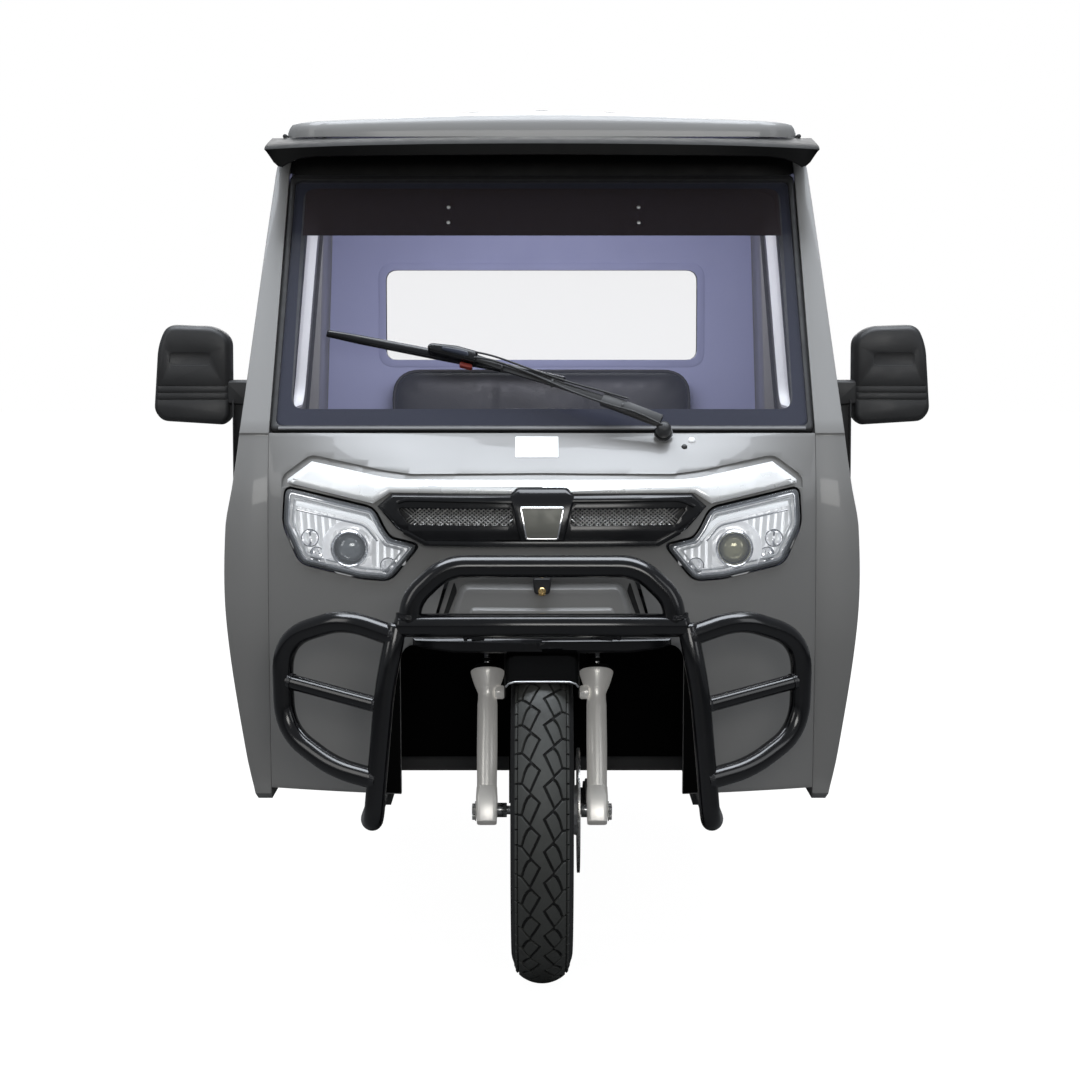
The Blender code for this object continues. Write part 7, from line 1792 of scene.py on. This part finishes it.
def build_tail():
    """Lamps and bolts of the rear bumper."""
    soften_node("rear_bumper", 0.004)
    face = 1.5303
    for name, side in SIDES:
        low, high = sorted((side * 0.334, side * 0.466))
        width = (high - low) / 3
        for number, finish_name in enumerate(("amber_lens", "red_lens", "lens_white")):
            start = low + number * width if side < 0 else high - (number + 1) * width
            lens = rounded(rectangle((start + 0.0010, 0.4555), (start + width - 0.0010, 0.5145)), 0.004, 3)
            shape = stepped_plate([(lens, face - 0.004), (lens, face + 0.0035),
                                   (grow(lens, -0.0030), face + 0.0060)])
            ribs = []
            for step in range(6):
                z = 0.4620 + step * 0.0092
                bar = rectangle((start + 0.0050, z), (start + width - 0.0050, z + 0.0030))
                ribs.append(stepped_plate([(bar, face + 0.0055), (grow(bar, -0.0008), face + 0.0068)]))
            add_piece("tail_%s_%s" % (finish_name, name), join([shape, *ribs]), finish_name, "body",
                      0.0006)
        frame_outline = rounded(rectangle((low - 0.0030, 0.4510), (high + 0.0030, 0.5190)), 0.006, 3)
        hole = rounded(rectangle((low + 0.0004, 0.4548), (high - 0.0004, 0.5152)), 0.004, 3)
        rim = boolean(plate(frame_outline, "y", face - 0.006, face + 0.0020), [plate(hole, "y", 0.0, 2.0)])
        add_piece("tail_rim_" + name, rim, "black", "body", 0.0008)
    spots = []
    for x in (-0.200, 0.200):
        dot = [(0.0, face - 0.0310), (0.0065, face - 0.0310), (0.0065, face - 0.0260),
               (0.0050, face - 0.0245), (0.0, face - 0.0242)]
        spots.append(turned(dot, "y", (x, 0.0, 0.485), 22))
    add_piece("bumper_bolts", join(spots), "steel", "body", 0.0004)


def build_back_axle():
    """Battery box trim, spring bolts, wheel nuts, hub caps and mud flaps."""
    soften_node("rear_axle", 0.0020)
    soften_node("chassis_frame", 0.0025)
    soften_node("battery_box", 0.0060)
    lid = rounded(rectangle((-0.2520, 0.2885), (0.2520, 0.7315)), 0.010, 3)
    add_piece("battery_lid", stepped_plate([(lid, 0.470), (lid, 0.4765), (grow(lid, -0.002), 0.4785)], "z"),
              "black", "body", 0.0008)
    straps = []
    for y in (0.400, 0.620):
        band = [(-0.2515, 0.468), (-0.2515, 0.300), (-0.2515, 0.2740), (0.2515, 0.2740), (0.2515, 0.468)]
        outline = ribbon([Vector(point) for point in bend(band, 0.008, 3)], 0.0010)
        straps.append(plate(outline, "y", y - 0.012, y + 0.012))
    add_piece("battery_straps", join(straps), "frame", "body")
    axle = Vector((0.0, REAR_AXLE.y, REAR_AXLE.z))
    for name, side in SIDES:
        rail_x = side * 0.290
        bolts = []
        for shift in (-0.030, 0.030):
            y = axle.y + shift
            path = [(rail_x - 0.026, y, 0.3620), (rail_x - 0.026, y, 0.240), (rail_x + 0.026, y, 0.240),
                    (rail_x + 0.026, y, 0.3620)]
            bolts.append(tube(bend(path, 0.018, 6), 0.0050, 14))
            for x in (rail_x - 0.026, rail_x + 0.026):
                nut = [(0.0, 0.3520), (0.0090, 0.3520), (0.0090, 0.3590), (0.0, 0.3590)]
                bolts.append(turned(nut, "z", (x, y, 0.0), 6))
        add_piece("spring_bolts_" + name, join(bolts), "steel", "body", 0.0004)
        clips = []
        for share in (-0.52, 0.52):
            along = share * 0.380
            z = 0.335 + 0.062 * share ** 2 - 0.004
            clips.append(box((rail_x - 0.0262, rail_x + 0.0262),
                             (axle.y + along - 0.006, axle.y + along + 0.006),
                             (z - 0.0120, z + 0.0115)))
        add_piece("spring_clips_" + name, join(clips), "frame", "body", 0.0015)
        soften_node("rear_wheel_" + name, 0.0020)
        soften_node("rear_mudguard_" + name, 0.0010)
        wheel = Vector((side * REAR_WHEEL_X, axle.y, axle.z))
        nuts = []
        for number in range(5):
            angle = math.tau * (number + 0.5) / 5
            place = wheel + Vector((0.0, 0.062 * math.cos(angle), 0.062 * math.sin(angle)))
            start, end = side * -0.0285, side * -0.0185
            nut = [(0.0, start), (0.0100, start), (0.0100, end), (0.0078, end + side * 0.002),
                   (0.0, end + side * 0.002)]
            nuts.append(turned(nut, "x", place, 6))
            stud = [(0.0, end), (0.0052, end), (0.0052, end + side * 0.006), (0.0, end + side * 0.0065)]
            nuts.append(turned(stud, "x", place, 14))
        add_piece("wheel_nuts_" + name, join(nuts), "steel", "rear_wheel_%s_assembly" % name,
                  0.0005)
        cap = [(0.0, side * 0.0262), (0.0300, side * 0.0262), (0.0300, side * 0.0280),
               (0.0240, side * 0.0370), (0.0140, side * 0.0400), (0.0, side * 0.0408)]
        add_piece("hub_cap_" + name, turned(cap, "x", wheel, 40), "black", "rear_wheel_%s_assembly" % name,
                  0.0008)
        flap = rounded(rectangle((side * REAR_WHEEL_X - 0.060, 0.230),
                                 (side * REAR_WHEEL_X + 0.060, 0.355)), 0.008, 3)
        add_piece("mud_flap_" + name, plate(flap, "y", 1.1540, 1.1570), "rubber", "body", 0.0006)


def assign(node, finish_name):
    """Finish on all of a CAD node."""
    for slot in NODES[node].material_slots:
        slot.material = FINISHES[finish_name]


def dress_nodes():
    """Finishes of the CAD nodes, by their material slot."""
    for entry in frame["record"]["subparts"]:
        assign(entry["node"], entry["material_slot"])
    # The wheel liner gets the matt black with no gloss: painted shade that keeps it dark inside the wheel opening.
    assign("wheel_liner", "shade_matt")
    for node in ("door_glass_left", "door_glass_right", "rear_window"):
        assign(node, "side_glass")


def make_camera():
    """Camera where the photograph was taken from."""
    data = bpy.data.cameras.new("camera")
    data.lens = CAMERA_LENS
    data.sensor_width = CAMERA_SENSOR
    data.clip_end = 100.0
    camera = bpy.data.objects.new("camera", data)
    camera.location = CAMERA_PLACE
    camera.rotation_euler = (math.pi / 2 - CAMERA_PITCH, 0.0, 0.0)
    bpy.context.scene.collection.objects.link(camera)
    bpy.context.scene.camera = camera


def seen_directly(tree, reflected):
    """1 on rays that see a background, in the camera, through glass and, if asked, in a reflection."""
    path = tree.nodes.new("ShaderNodeLightPath")
    names = ["Is Camera Ray", "Is Transmission Ray"] + (["Is Glossy Ray"] if reflected else [])
    total = path.outputs[names[0]]
    for name in names[1:]:
        add = tree.nodes.new("ShaderNodeMath")
        add.operation = "MAXIMUM"
        tree.links.new(total, add.inputs[0])
        tree.links.new(path.outputs[name], add.inputs[1])
        total = add.outputs["Value"]
    return total


def make_world():
    """Soft sky light, with white behind the object."""
    world = bpy.data.worlds.new("studio")
    world.use_nodes = True
    tree = world.node_tree
    tree.nodes.clear()
    output = tree.nodes.new("ShaderNodeOutputWorld")
    light = tree.nodes.new("ShaderNodeBackground")
    light.inputs["Color"].default_value = (0.90, 0.95, 1.0, 1.0)
    light.inputs["Strength"].default_value = 0.24
    white = tree.nodes.new("ShaderNodeBackground")
    white.inputs["Strength"].default_value = 1.0
    mix = tree.nodes.new("ShaderNodeMixShader")
    tree.links.new(seen_directly(tree, False), mix.inputs["Fac"])
    tree.links.new(light.outputs["Background"], mix.inputs[1])
    tree.links.new(white.outputs["Background"], mix.inputs[2])
    white.inputs["Color"].default_value = (1.0, 1.0, 1.0, 1.0)
    tree.links.new(mix.outputs["Shader"], output.inputs["Surface"])
    bpy.context.scene.world = world


def make_floor():
    """Pale floor that is white to the camera but for the object's shadow on it."""
    bpy.ops.mesh.primitive_plane_add(size=60.0, location=(0.0, 0.0, -0.0005))
    floor = bpy.context.object
    floor.name = "floor"
    material, shader = new_nodes("floor_white")
    shader.inputs["Base Color"].default_value = (0.12, 0.12, 0.12, 1.0)
    shader.inputs["Roughness"].default_value = 0.9
    shader.inputs["Specular IOR Level"].default_value = 0.1
    tree = material.node_tree
    shader.inputs["Emission Color"].default_value = (1.0, 1.0, 1.0, 1.0)
    scale = tree.nodes.new("ShaderNodeMath")
    scale.operation = "MULTIPLY"
    scale.inputs[1].default_value = 0.98
    tree.links.new(seen_directly(tree, False), scale.inputs[0])
    tree.links.new(scale.outputs["Value"], shader.inputs["Emission Strength"])
    floor.data.materials.append(material)


def add_lamp(name, place, target, size, power, colour=(1.0, 1.0, 1.0)):
    """Soft rectangular lamp aimed at a point."""
    data = bpy.data.lights.new(name, "AREA")
    data.shape = "RECTANGLE"
    data.size = size[0]
    data.size_y = size[1]
    data.energy = power
    data.color = colour
    lamp = bpy.data.objects.new(name, data)
    lamp.location = place
    lamp.rotation_euler = (Vector(target) - Vector(place)).to_track_quat("-Z", "Y").to_euler()
    bpy.context.scene.collection.objects.link(lamp)


def make_lamps():
    """The studio's lamps."""
    add_lamp("sky", (0.0, -1.55, 4.3), (0.0, -1.25, 0.80), (5.0, 2.0), 255.0, (0.88, 0.93, 1.0))
    add_lamp("key", (-3.8, -4.2, 2.6), (0.0, -1.0, 0.8), (1.6, 2.4), 24.0, (1.0, 0.99, 0.97))
    add_lamp("fill", (3.9, -4.0, 2.4), (0.0, -1.0, 0.8), (1.6, 2.4), 18.0, (0.96, 0.98, 1.0))
    add_lamp("front", (0.5, -6.9, 2.1), (0.0, -1.2, 0.7), (2.4, 1.3), 50.0, (1.0, 0.99, 0.96))
    add_lamp("top", (0.0, 1.2, 4.6), (0.0, 0.6, 0.5), (4.0, 3.0), 90.0, (0.92, 0.96, 1.0))
    add_lamp("back", (0.0, 5.5, 3.0), (0.0, 0.6, 0.8), (4.0, 3.0), 110.0)
    add_lamp("cab", (0.0, -0.78, 1.42), (0.0, 0.0, 1.10), (0.70, 0.16), 4.2, (0.88, 0.88, 1.0))


bpy.context.scene.view_settings.view_transform = "Standard"
make_camera()
make_world()
make_floor()
make_lamps()
dress_nodes()

build_front_panel()
build_garnish()
build_grille()
for side_name, side_sign in SIDES:
    build_lamp(side_name, side_sign)
build_lid()
build_guard()
build_wheels()
build_fork()
build_mudguard()
build_sides()
build_screen()
build_wiper()
build_cowl()
build_roof()
build_mirrors()
build_seat()
build_controls()
build_inside()
build_bed()
build_tailgate()
build_tail()
build_back_axle()
